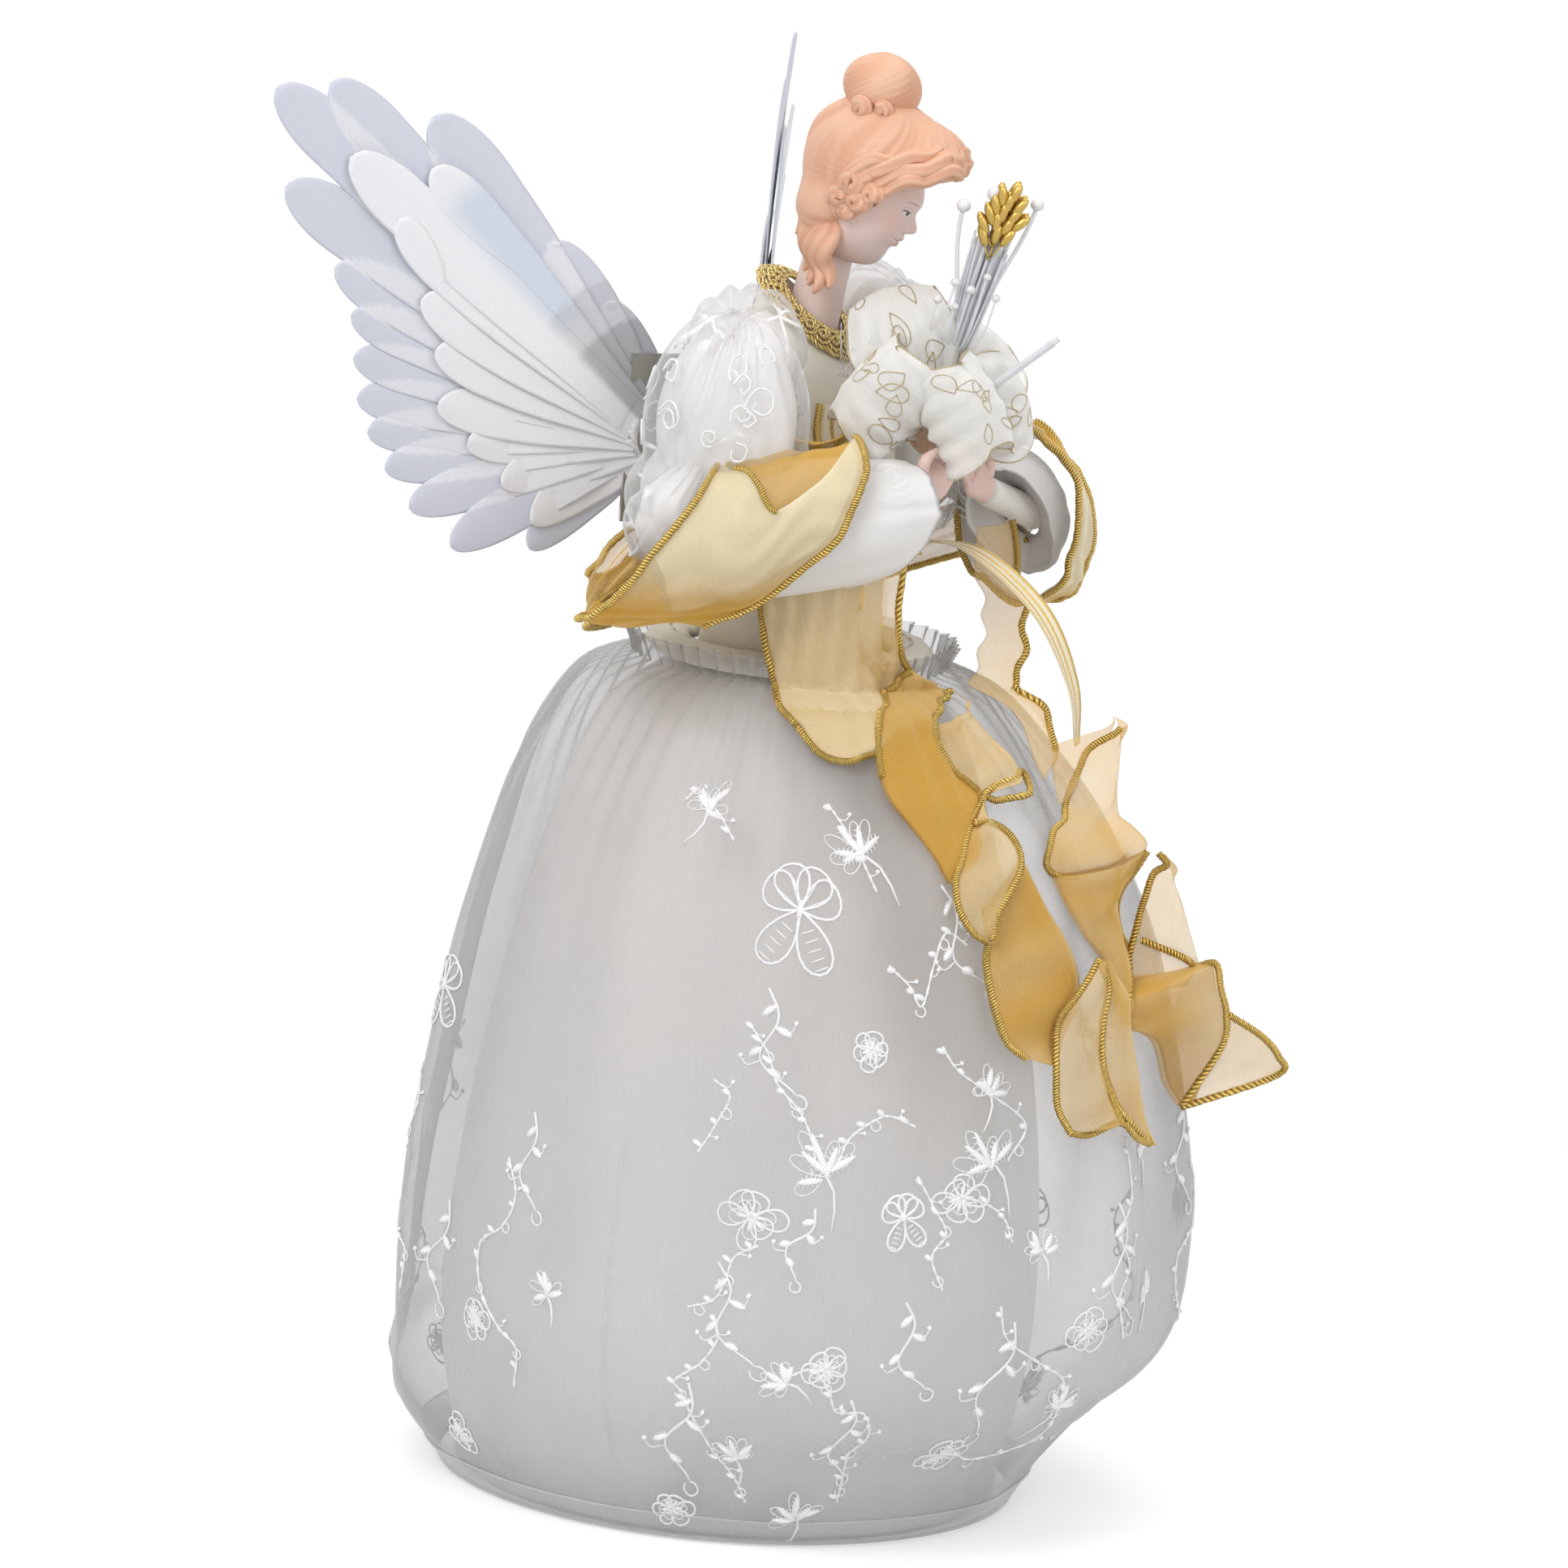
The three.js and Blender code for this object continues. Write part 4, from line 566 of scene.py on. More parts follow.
def sheer_material(name, colour_value, cover, grazing, threads=2.2, glow=0.0, lace=0.0):
    """Organza: its alpha is the threads' cover, one minus the gaps to the power of the slant of the view."""
    made, tree, shader, place = new_material(name, Roughness=0.45, Sheen_Weight=0.2, Specular_IOR_Level=0.4)
    weave = add_group(tree, WEAVE, Vector=place["UV"], Threads=threads)
    mottle = mottled(tree, place, 70.0)
    if colour_value is None:
        paint = painted(tree)
        base = mix_colour(tree, 1.0, paint, tinted(tree, mottle["Value"], (1.0, 1.0, 1.0), 0.86, 1.0), "MULTIPLY")
    else:
        base = tinted(tree, mottle["Value"], colour_value, 0.92, 1.08)
    facing = add_node(tree, "ShaderNodeLayerWeight", {"Blend": 0.5}).outputs["Facing"]
    turned_away = math_node(tree, "MAXIMUM", math_node(tree, "SUBTRACT", 1.0, facing), 0.14)
    slub = math_node(tree, "MULTIPLY_ADD", weave["Slub"], -0.3 * cover, 1.0 - 0.85 * cover)
    layers = math_node(tree, "DIVIDE", grazing, turned_away)
    layers = math_node(tree, "ADD", layers, 1.0 - grazing)
    alpha = math_node(tree, "SUBTRACT", 1.0, math_node(tree, "POWER", slub, layers))
    if lace:
        cells = add_node(
            tree,
            "ShaderNodeTexVoronoi",
            {"Vector": place["Object"], "Scale": 95.0, "Randomness": 1.0},
            feature="DISTANCE_TO_EDGE",
        )
        line = map_range(tree, cells.outputs[0], 0.07, 0.02)
        broken = map_range(tree, mottle["Value"], 0.5, 0.6)
        stitches = math_node(tree, "MULTIPLY", line, broken)
        alpha = math_node(tree, "MULTIPLY_ADD", stitches, lace, alpha)
        base = mix_colour(tree, stitches, base, (0.95, 0.95, 0.96))
        bump(tree, shader, stitches, 0.3 * MM, 0.6)
    else:
        bump(tree, shader, weave["Height"], 0.06 * MM, 0.3)
    feed(tree, shader, Base_Color=base)
    feed(tree, shader, Alpha=math_node(tree, "MINIMUM", alpha, 0.97))
    if glow:
        shader.inputs["Subsurface Weight"].default_value = glow
        shader.inputs["Subsurface Radius"].default_value = (4 * MM, 3 * MM, 2 * MM)
    return made


def cord_material(name, colour_value, turns=1.3):
    """Twisted metal thread: painted light on the ridges, painted shade in the grooves, and painted glints."""
    made, tree, shader, place = new_material(name, Metallic=0.75, Roughness=0.35)
    twist = add_group(tree, TWIST, Vector=place["UV"], Turns=turns)
    # Ridges painted lighter and grooves painted darker: painted light and painted shade.
    base = tinted(tree, twist["Height"], colour_value, 0.45, 1.25)
    # Bright patches where the noise is high: painted glints.
    glint = map_range(tree, twist["Glint"], 0.55, 0.7)
    bright = tuple(min(channel * 1.7, 1.0) for channel in colour_value)
    rough = math_node(tree, "MULTIPLY_ADD", twist["Glint"], 0.35, 0.2)
    feed(tree, shader, Base_Color=mix_colour(tree, glint, base, bright), Roughness=rough)
    bump(tree, shader, twist["Height"], 0.5 * MM, 0.9)
    return made


def thread_material(name, colour_value):
    """Soft embroidery thread with a fine twist, painted darker in its grooves: painted shade."""
    made, tree, shader, place = new_material(name, Roughness=0.6, Sheen_Weight=0.3)
    twist = add_group(tree, TWIST, Vector=place["UV"], Turns=1.2)
    # Darker in the grooves of the twist: painted shade.
    feed(tree, shader, Base_Color=tinted(tree, twist["Height"], colour_value, 0.86, 1.04))
    bump(tree, shader, twist["Height"], 0.15 * MM, 0.6)
    return made


def sculpted_material(name, colour_value, roughness=0.6, grain=0.15 * MM, scale=60.0, coat=0.0):
    """A moulded or sculpted surface: soft patches of colour, uneven roughness and a fine grain."""
    made, tree, shader, place = new_material(name, Coat_Weight=coat)
    mottle = mottled(tree, place, scale)
    rough = math_node(tree, "MULTIPLY_ADD", mottle["Fine"], 0.3, roughness - 0.15)
    feed(tree, shader, Base_Color=tinted(tree, mottle["Value"], colour_value, 0.88, 1.1), Roughness=rough)
    bump(tree, shader, mottle["Fine"], grain, 0.5)
    return made


def clear_material(
    name, colour_value, cover, rim=0.5, scale=90.0, shades=(0.85, 1.1), gloss=(0.25, 0.05), grain=0.05 * MM
):
    """Clear plastic: a thin tint, swirls that blur it, and cover plus a rim's share where it is seen edge on."""
    made, tree, shader, place = new_material(name, IOR=1.49)
    mottle = mottled(tree, place, scale)
    feed(tree, shader, Base_Color=tinted(tree, mottle["Value"], colour_value, *shades))
    feed(tree, shader, Roughness=math_node(tree, "MULTIPLY_ADD", mottle["Fine"], *gloss))
    facing = add_node(tree, "ShaderNodeLayerWeight", {"Blend": 0.4}).outputs["Facing"]
    alpha = math_node(tree, "MULTIPLY_ADD", facing, rim, cover)
    feed(tree, shader, Alpha=math_node(tree, "MINIMUM", alpha, 1.0))
    bump(tree, shader, mottle["Fine"], grain, 0.2)
    return made


# Skirts

# Rows of height share and fullness share, as in the part's source.
SKIRT_SHARES = [
    [0, 0],
    [0.034, 0.16],
    [0.103, 0.48],
    [0.215, 0.81],
    [0.36, 0.97],
    [0.5, 1],
    [0.682, 0.97],
    [0.833, 0.8],
    [0.923, 0.56],
    [0.979, 0.32],
    [1, 0],
]
# The same kind of rows for the lining.
LINING_SHARES = [
    [0, 0],
    [0.185, 0.65],
    [0.43, 0.97],
    [0.69, 1],
    [0.9, 0.77],
    [0.957, 0.46],
    [0.99, 0.13],
    [1, 0],
]
# Rows of height share, then the share there of the skirt's lean to the front, its folds and its gathers.
FORWARD_SHARES = [[0, 0], [0.1, 0], [0.25, 1], [0.7, 0.9], [0.93, 0.2], [1, 0]]
FOLD_SHARES = [[0, 0], [0.05, 0.2], [0.2, 0.7], [0.5, 1], [0.85, 0.7], [1, 0]]
GATHER_SHARES = [[0, 0], [0.6, 0.03], [0.8, 0.3], [0.93, 0.9], [1, 1]]

# Number of gathers under the waist, lengths of the two skirts, and the hem band as a height share.
GATHERS = 52
HEM_LIFT = 0.8 * MM
HEADER_FLARE = 2.5 * MM
HEM_BAND = 0.032
SEAM_ANGLE = -74 * DEG
SEAM_HALF_ANGLE = 0.008
LINING_HEM = 75.5 * MM
LINING_WAIST = 29.5 * MM
LINING_FULLNESS = 23 * MM
LINING_FOLD = 2.2 * MM


def skirt_radius(sizes, angle, share):
    """Radius of the overskirt: a straight cone, swollen, leaning forward, in cosine folds and gathers."""
    straight = lerp(sizes.skirt_hem, sizes.skirt_waist, share)
    full = table_at(SKIRT_SHARES, share) * sizes.skirt_fullness
    forward = table_at(FORWARD_SHARES, share) * sizes.skirt_forward * np.cos(angle)
    folds = 0.62 * np.cos(9 * angle + 0.6) + 0.38 * np.cos(14 * angle - 1.1 + 2 * share)
    depth = table_at(FOLD_SHARES, share) * sizes.skirt_fold
    gathers = np.sin(GATHERS * angle + 2.5 * wobble(3, 1.0, 3 * np.cos(angle), 3 * np.sin(angle)))
    creases = wobble(5, 1.0, 4 * np.cos(angle), 4 * np.sin(angle), 3.5 * share)
    fine = table_at(GATHER_SHARES, share) * gathers + 1.1 * creases * smooth(share, 0.02, 0.2)
    return straight + full + forward + depth * folds + fine * sizes.skirt_gather


def skirt_point(sizes, angle, share, lift=0.0):
    """Places on the overskirt, lifted off it by a distance."""
    angle, share = np.broadcast_arrays(np.asarray(angle, float), np.asarray(share, float))
    radius = skirt_radius(sizes, angle, share) + lift
    return round_axis(radius, angle, lerp(HEM_LIFT, BAND_LOW[2], share))


def lining_point(angle, share, lift=0.0):
    """Places on the lining skirt: a swollen cone with shallow folds."""
    angle, share = np.broadcast_arrays(np.asarray(angle, float), np.asarray(share, float))
    full = table_at(LINING_SHARES, share)
    folds = np.cos(7 * angle + 0.9 * np.sin(3 * share)) + 0.5 * np.sin(12 * angle + 2 * share)
    radius = lerp(LINING_HEM, LINING_WAIST, share) + full * (LINING_FULLNESS + LINING_FOLD * folds) + lift
    return round_axis(radius, angle, lerp(2 * HEM_LIFT, LINING_TOP, share))


def make_lining(sizes, colours):
    """The satin skirt under the organza."""
    share = np.linspace(0, 1, 110)[:, None]
    points = lining_point(rounded(216)[None, :], share)
    satin = satin_material("Lining satin", colours.satin, threads=2.0, warm=(0.86, 0.76, 0.72))
    shape = Shape().grid(points, (520.0, 250.0), wrap_columns=True)
    piece = shape.make("lining_cloth", satin, slot="ivory_satin", replaces=["lining_skirt"], thickness=sizes.cloth)


def make_overskirt(sizes, colours):
    """The sheer skirt with its header, its hem band, its seam and their cord."""
    share = np.linspace(0, 1, 104)[:, None]
    around = rounded(416)[None, :]
    points = skirt_point(sizes, around, share)
    top = points[-1]
    rise = np.linspace(0, 1, 9)[1:, None, None]
    ripple = np.sin(GATHERS * around[0] + 1.2)[None, :, None] * rise * 1.3 * MM
    outward = away(top)[None]
    header = top[None] + outward * (HEADER_FLARE * rise + ripple)
    header[..., 2] += rise[..., 0] * (SKIRT_TOP - top[0, 2])
    sheer = sheer_material("Overskirt organza", colours.organza, cover=0.17, grazing=0.95)
    cloth = Shape().grid(np.concatenate([points, header]), (620.0, 300.0), wrap_columns=True)
    piece = cloth.make("overskirt_cloth", sheer, slot="white_organza", replaces=["overskirt"], thickness=sizes.cloth)
    band_share = np.linspace(0.001, HEM_BAND, 8)[:, None]
    band = Shape().grid(skirt_point(sizes, around[:, ::2], band_share, 0.5 * MM), (620.0, 9.0), wrap_columns=True)
    seam_share = np.linspace(0.03, 0.5, 100)
    for side in (-1, 1):
        edge = SEAM_ANGLE + side * SEAM_HALF_ANGLE
        band.rod(skirt_point(sizes, edge, seam_share, 0.3 * MM), 0.1 * MM, 5)
    band.rod(skirt_point(sizes, SEAM_ANGLE, seam_share, 0.35 * MM), 0.2 * MM, 5, flat=0.4)
    top_stitch = skirt_point(sizes, rounded(300), HEM_BAND, 0.7 * MM)
    band.ring(top_stitch, 0.3 * MM, 5)
    edge = skirt_point(sizes, rounded(300), 0.002, 0.3 * MM)
    edge[:, 2] = np.maximum(edge[:, 2], 0.6 * MM)
    band.ring(edge, 0.5 * MM, 5)
    hem_cloth = sheer_material("Hem organza", tuple(c * 1.4 for c in colours.organza), cover=0.3, grazing=0.6)
    hem = band.make("overskirt_hem", hem_cloth, slot="white_organza")


# Embroidery: motifs drawn in millimetres on the skirt, U round it and V up it


BUD = np.array([[-0.3, 0], [0, 0.3], [0.3, 0]])


class Stitches:
    """Lays thread on the overskirt, in motifs about a place given by an angle and a height share."""

    def __init__(self, sizes):
        self.sizes = sizes
        self.shape = Shape()

    def lay(self, place, points, radius=1.0, sides=4):
        """Thread along points in millimetres from a place, with a radius factor or one for each point."""
        angle, share, turn, size = place
        points = np.asarray(points, float) * size
        cos, sin = np.cos(turn * DEG), np.sin(turn * DEG)
        u = points[:, 0] * cos - points[:, 1] * sin
        v = points[:, 0] * sin + points[:, 1] * cos
        height = BAND_LOW[2] - HEM_LIFT
        shares = np.clip(share + v * MM / height, 0.005, 0.99)
        reach = skirt_radius(self.sizes, np.array(angle * DEG), np.array(share))
        angles = angle * DEG + u * MM / reach
        path = skirt_point(self.sizes, angles, shares, 0.45 * MM)
        outward = away(path[len(path) // 2])
        radii = np.asarray(radius) * self.sizes.thread
        self.shape.rod(path, radii, sides, flat=0.75, about=outward)

    def leaf(self, place, base, direction, leaf_length, width):
        """A satin-stitch leaf: a thick tube that swells, with slanted stitches across it."""
        part = np.linspace(0, 1, 9)[:, None]
        axis, across = plane_axes(direction)
        spine = np.asarray(base) + axis * leaf_length * part
        self.lay(place, spine, width * np.sin(np.pi * np.clip(part[:, 0], 0.06, 0.97)) ** 0.7 + 0.2, 6)
        for step in np.linspace(0.18, 0.85, 5):
            middle = np.asarray(base) + axis * leaf_length * step
            slant = (across + 0.5 * axis) * (0.34 * width * np.sin(np.pi * step) ** 0.7 + 0.3)
            self.lay(place, lerp(middle - slant, middle + slant, np.linspace(0, 1, 3)[:, None]), 0.55)

    def loop(self, place, base, direction, loop_length, width, radius=0.9):
        """An open petal: a teardrop loop that starts and ends at its base."""
        turn = np.linspace(0.12, TURN - 0.12, 18)
        out = (1 - np.cos(turn)) / 2 * loop_length
        side = np.sin(turn) * np.abs(np.sin(turn / 2)) * width / 1.3
        axis, across = plane_axes(direction)
        self.lay(place, np.asarray(base) + out[:, None] * axis + side[:, None] * across, radius)

    def blossom(self, place, petals=6, reach=5.2):
        """Open petals round a raised eye, with short inner stitches."""
        random = np.random.default_rng(int(abs(place[0] * 37 + place[1] * 900)))
        for k in range(petals):
            direction = 360 * k / petals + 12 + random.uniform(-11, 11)
            grown = reach * random.uniform(0.72, 1.2)
            self.loop(place, (0, 0), direction, grown, 3.4 * random.uniform(0.8, 1.25))
            self.loop(place, (0, 0), direction + 4, 0.66 * grown, 2.0, 0.6)
            stitch = np.outer(np.linspace(0.12, 0.55, 4), plane_axes(direction)[0] * reach)
            self.lay(place, stitch, [1.3, 1.5, 1.2, 0.5])
        turn = np.linspace(0, TURN, 10)
        self.lay(place, np.stack([0.7 * np.cos(turn), 0.7 * np.sin(turn)], 1), 1.6)

    def vine(self, place, vine_length=24.0, bend=3.0, leaves=4):
        """A waving stem with leaf pairs, a curl at its end and small buds."""
        part = np.linspace(0, 1, 26)
        path = np.stack([bend * np.sin(2.4 * np.pi * part) * (0.4 + part), -vine_length * part], 1)
        self.lay(place, path, lerp(1.25, 0.8, part))
        for k in range(leaves):
            step = int((k + 1) * 24 / (leaves + 1))
            side = 1 if k % 2 else -1
            self.leaf(place, path[step], -90 + side * 58, 4.2 - 0.25 * k, 2.4)
        turn = np.linspace(0, 1.6 * np.pi, 14)
        swirl = np.stack([np.sin(turn), np.cos(turn) - 1], 1) * lerp(2.6, 1.2, turn / turn[-1])[:, None]
        self.lay(place, path[-1] + swirl, 0.8)
        for step, side in ((9, 1), (17, -1)):
            stalk = np.array([path[step], path[step] + [side * 3.2, -1.2], path[step] + [side * 4.6, 0.6]])
            self.lay(place, spline(stalk, 7), 0.7)
            self.lay(place, path[step] + np.array([side * 4.6, 0.6]) + BUD, 1.9, 6)

    def bow(self, place, reach=7.0):
        """A knot of four loops over two tails, with thread across the loops."""
        for direction in (28, 152, 64, 116):
            self.loop(place, (0, 0), direction, reach, 5.2, 1.1)
            self.lay(place, np.outer(np.linspace(0.1, 0.8, 5), plane_axes(direction)[0] * reach), 0.6)
        for direction in (-62, -118):
            self.loop(place, (0, 0), direction, reach * 1.5, 4.4, 1.1)
            axis, across = plane_axes(direction)
            for step in np.linspace(0.35, 0.95, 5):
                self.lay(place, axis * reach * 1.45 * step + np.array([-1, 0, 1])[:, None] * (across * 1.1), 0.7)
        self.lay(place, [[0, -1.4], [0, 0], [0, 1.4]], 2.2, 6)

    def spray(self, place, leaves=5, leaf_length=6.0):
        """A fan of satin-stitch leaves over a short stem."""
        random = np.random.default_rng(int(abs(place[0] * 53 + place[1] * 700)))
        for k, direction in enumerate(np.linspace(10, 170, leaves)):
            grown = leaf_length * (1 - 0.12 * abs(k - leaves // 2)) * random.uniform(0.7, 1.2)
            root = random.uniform(-0.9, 0.9, 2)
            self.leaf(place, root, direction + random.uniform(-14, 14), grown, 2.4)
            self.loop(place, root, direction + random.uniform(8, 26), grown * 1.15, 1.8, 0.55)
        self.lay(place, [[0, 0], [0.8, -3], [0.2, -6], [-1, -9]], [1.2, 1.1, 0.9, 0.7])

    def stem(self, rows, seed):
        """A thin stem through rows of angle and height share, with small leaves, curls and buds on both sides."""
        random = np.random.default_rng(seed)
        path = spline([(row[0], row[1], 0.0) for row in rows], 12 * len(rows))
        angle, share = path[:, 0] * DEG, path[:, 1]
        radii = self.sizes.thread * (0.85 + 0.25 * np.sin(np.arange(len(path)) * 1.3))
        self.shape.rod(skirt_point(self.sizes, angle, share, 0.4 * MM), radii, 5)
        for order, step in enumerate(range(4, len(path) - 2, 7)):
            place = (path[step, 0], path[step, 1], 0, 1)
            side = 1 if order % 2 else -1
            kind = order % 4
            if kind == 3:
                turn = np.linspace(0, 1.5 * np.pi, 12)
                swirl = np.stack([side * np.sin(turn), np.cos(turn) - 1], 1) * lerp(2.2, 1.0, turn / turn[-1])[:, None]
                self.lay(place, swirl, 0.7)
            elif kind == 1:
                tip = np.array([side * random.uniform(1.8, 3.2), random.uniform(-0.5, 1.5)])
                self.lay(place, spline([np.zeros(2), tip * [0.6, 0.1], tip], 6), 0.6)
                self.lay(place, tip + BUD, 1.8, 6)
            else:
                self.leaf(place, (0, 0), 90 - side * random.uniform(35, 75), random.uniform(2.0, 3.4), 1.7)


# Stems between the motifs, as rows of angle in degrees and height share.
STEMS = [
    [
        [-57.3, 0.646], [-56, 0.634], [-54.3, 0.616], [-52.9, 0.586], [-49.7, 0.558], [-47.9, 0.527],
        [-47.2, 0.495],
    ],
    [[-33.6, 0.544], [-37.4, 0.556], [-40.3, 0.547], [-43, 0.529], [-44.6, 0.496]],
    [[-53.8, 0.399], [-56.9, 0.379], [-57.9, 0.348], [-59.4, 0.324], [-62.9, 0.311]],
    [[-59.1, 0.307], [-58.3, 0.279], [-60.6, 0.245], [-64, 0.221], [-63, 0.206], [-60.9, 0.17], [-57.8, 0.127]],
    [[-57.8, 0.127], [-54.2, 0.095], [-51.9, 0.061]],
    [[-29.7, 0.635], [-27.3, 0.607], [-22.7, 0.581], [-16.1, 0.54], [-19.5, 0.5]],
    [
        [-20.5, 0.331], [-18.9, 0.29], [-12.8, 0.255], [-8.2, 0.23], [-6.1, 0.183], [-4, 0.13], [-13.4, 0.115],
        [-22.2, 0.149],
    ],
    [[0.3, 0.515], [1.2, 0.447], [-1.7, 0.403], [0.5, 0.361], [-1.1, 0.324], [1.3, 0.27]],
    [
        [-49.3, 0.244], [-45.9, 0.259], [-43.4, 0.235], [-41.7, 0.205], [-37.7, 0.201], [-35.9, 0.167],
        [-37.5, 0.141],
    ],
    [[-37.5, 0.141], [-36.2, 0.1], [-35.4, 0.063]],
    [[-37.3, 0.724], [-34.3, 0.702], [-32.6, 0.68], [-30.3, 0.725], [-27.6, 0.759], [-23.7, 0.744]],
    [[-33.2, 0.487], [-30.7, 0.449], [-29.1, 0.421], [-30.9, 0.393], [-29.2, 0.354]],
    [[-23.8, 0.457], [-20.5, 0.436], [-19, 0.406]],
    [[-63.7, 0.841], [-68.1, 0.868], [-72.9, 0.888], [-74.8, 0.879]],
    [[-46, 0.891], [-43.3, 0.868], [-40.6, 0.836], [-38.4, 0.802]],
    [[-63.6, 0.49], [-61.5, 0.521], [-59.5, 0.561], [-62.2, 0.576]],
]
# Starts of the stems round the back, and the way that each of them goes from there.
STEM_STARTS = [
    (-96, 0.44), (-128, 0.5), (-158, 0.34), (174, 0.5), (146, 0.3), (118, 0.52), (86, 0.4), (56, 0.34), (28, 0.44)
]
STEM_WAY = np.array([[0, 0], [3, -0.04], [1, -0.08], [-4, -0.11], [-3, -0.16], [2, -0.2], [6, -0.22], [5, -0.27]])

# Rows of kind, angle in degrees from -Y towards +X, height share, turn in degrees and size.
MOTIFS = [
    ("bow", -51, 0.78, -6, 1.35),
    ("spray", -40, 0.84, 40, 1.3),
    ("spray", -70, 0.87, -20, 0.9),
    ("vine", -55, 0.69, 8, 0.95),
    ("vine", -27, 0.81, 12, 0.95),
    ("spray", -22, 0.58, -10, 1.0),
    ("spray", -22, 0.5, 25, 1.5),
    ("blossom", -27, 0.46, 0, 1.2),
    ("spray", -46, 0.49, 15, 1.45),
    ("blossom", -55, 0.43, 0, 1.3),
    ("vine", -47, 0.45, -20, 0.7),
    ("vine", -59, 0.37, 14, 1.0),
    ("bow", -35, 0.44, 10, 0.75),
    ("vine", -18, 0.31, -12, 1.15),
    ("vine", -2, 0.44, 6, 1.2),
    ("blossom", -44, 0.26, 0, 1.1),
    ("spray", -49, 0.24, 60, 0.9),
    ("vine", -40, 0.22, 6, 0.95),
    ("vine", -62, 0.22, -8, 1.1),
    ("spray", -54, 0.12, 10, 1.0),
    ("blossom", -65, 0.04, 0, 0.9),
    ("spray", -42, 0.04, 0, 1.0),
    ("blossom", -21, 0.13, 0, 1.0),
    ("spray", -7, 0.19, -10, 1.0),
    ("blossom", -6, 0.29, 0, 1.1),
    ("spray", 13, 0.47, 0, 0.9),
    ("vine", -34, 0.34, 10, 0.9),
    ("blossom", -40, 0.63, 0, 0.9),
    ("spray", -14, 0.39, 20, 0.9),
    ("vine", -92, 0.5, 6, 0.9),
    ("spray", -84, 0.3, 20, 0.9),
    ("blossom", -100, 0.24, 0, 1.0),
    ("vine", -112, 0.36, -10, 1.0),
    ("bow", -125, 0.6, 8, 1.0),
    ("spray", -135, 0.2, -20, 1.1),
    ("blossom", -150, 0.4, 0, 1.1),
    ("vine", -165, 0.5, 10, 1.1),
    ("spray", -172, 0.22, 10, 1.1),
    ("blossom", 170, 0.62, 0, 1.0),
    ("bow", 160, 0.34, -8, 1.1),
    ("vine", 140, 0.55, -12, 1.1),
    ("spray", 128, 0.2, 15, 1.1),
    ("blossom", 112, 0.42, 0, 1.1),
    ("vine", 96, 0.6, 8, 1.0),
    ("bow", 80, 0.26, 10, 1.1),
    ("spray", 66, 0.52, -15, 1.1),
    ("vine", 52, 0.66, 12, 1.0),
    ("blossom", 40, 0.36, 0, 1.1),
    ("vine", 26, 0.52, -8, 1.0),
    ("spray", 14, 0.3, 10, 1.1),
    ("blossom", 20, 0.12, 0, 0.9),
    ("spray", 60, 0.08, 10, 0.9),
    ("blossom", 100, 0.08, 0, 0.9),
    ("spray", 144, 0.08, 10, 0.9),
    ("blossom", -174, 0.08, 0, 0.9),
    ("spray", -136, 0.08, 10, 0.9),
    ("blossom", -108, 0.08, 0, 0.9),
]
MOTIF_SIZE = 1.2


def make_embroidery(sizes, colours):
    """The embroidered flowers, leaves and bows on the overskirt."""
    work = Stitches(sizes)
    for kind, angle, share, turn, size in MOTIFS:
        place = (angle, share, turn, size * MOTIF_SIZE)
        getattr(work, kind)(place)
    for number, rows in enumerate(STEMS + [(STEM_WAY + start).tolist() for start in STEM_STARTS]):
        work.stem(rows, number)
    thread = thread_material("Embroidery thread", colours.thread)
    work.shape.make("overskirt_embroidery", thread, slot="white_organza")


# Bodice, waist band and the figure's body

# Rows of height share, half width share and half depth share.
TORSO_SHARES = np.array([[0, 0.86, 1.1], [0.3, 0.88, 1], [0.62, 0.97, 1], [0.88, 1, 0.9], [1, 0.93, 0.7]])
# The neckline: half sizes, centre, tilt to the front and turn of its ellipse. The cloth's distance off the body.
NECK_HALF_WIDTH = 16 * MM
NECK_HALF_DEPTH = 15.5 * MM
NECK_CENTRE = np.array([0, 3.5 * MM, TORSO_BASE + 98.5 * MM])
NECK_TILT = 38 * DEG
CLOTH_OFF_BODY = 2.5 * MM
NECK_TURN = 18 * DEG
NECK_NORMAL = turned(np.array([0, -np.sin(NECK_TILT), np.cos(NECK_TILT)]), UPWARD, NECK_TURN)


def neckline(growth, angle):
    """The tilted ellipse of the neckline, grown by a distance."""
    side = np.array([NECK_HALF_WIDTH + growth, 0, 0])
    slope = np.array([0, np.cos(NECK_TILT), np.sin(NECK_TILT)]) * (NECK_HALF_DEPTH + growth)
    side, slope = (turned(axis, UPWARD, NECK_TURN) for axis in (side, slope))
    return NECK_CENTRE + np.cos(angle)[..., None] * side + np.sin(angle)[..., None] * slope


def body_rings(growth, angle, hem_rise=0.0):
    """Rings of the body from its base to the neckline: ellipses, then a slope to the tilted neck."""
    rows = []
    for share, half_width, half_depth in TORSO_SHARES:
        height = TORSO_BASE + share * TORSO_HEIGHT + (hem_rise if share == 0 else 0)
        width = half_width * TORSO_HALF_WIDTH + growth
        depth = half_depth * TORSO_HALF_DEPTH + growth
        rows.append(np.stack([width * np.cos(angle), depth * np.sin(angle), np.full_like(angle, height)], -1))
    top, neck = rows[-1], neckline(growth - CLOTH_OFF_BODY, angle)
    for part in (0.35, 0.7):
        slope = lerp(top, neck, part)
        slope[:, 2] += (neck - top)[:, 2] * np.sin(np.pi * part) * 0.22
        rows.append(slope)
    return np.stack([*rows, neck])


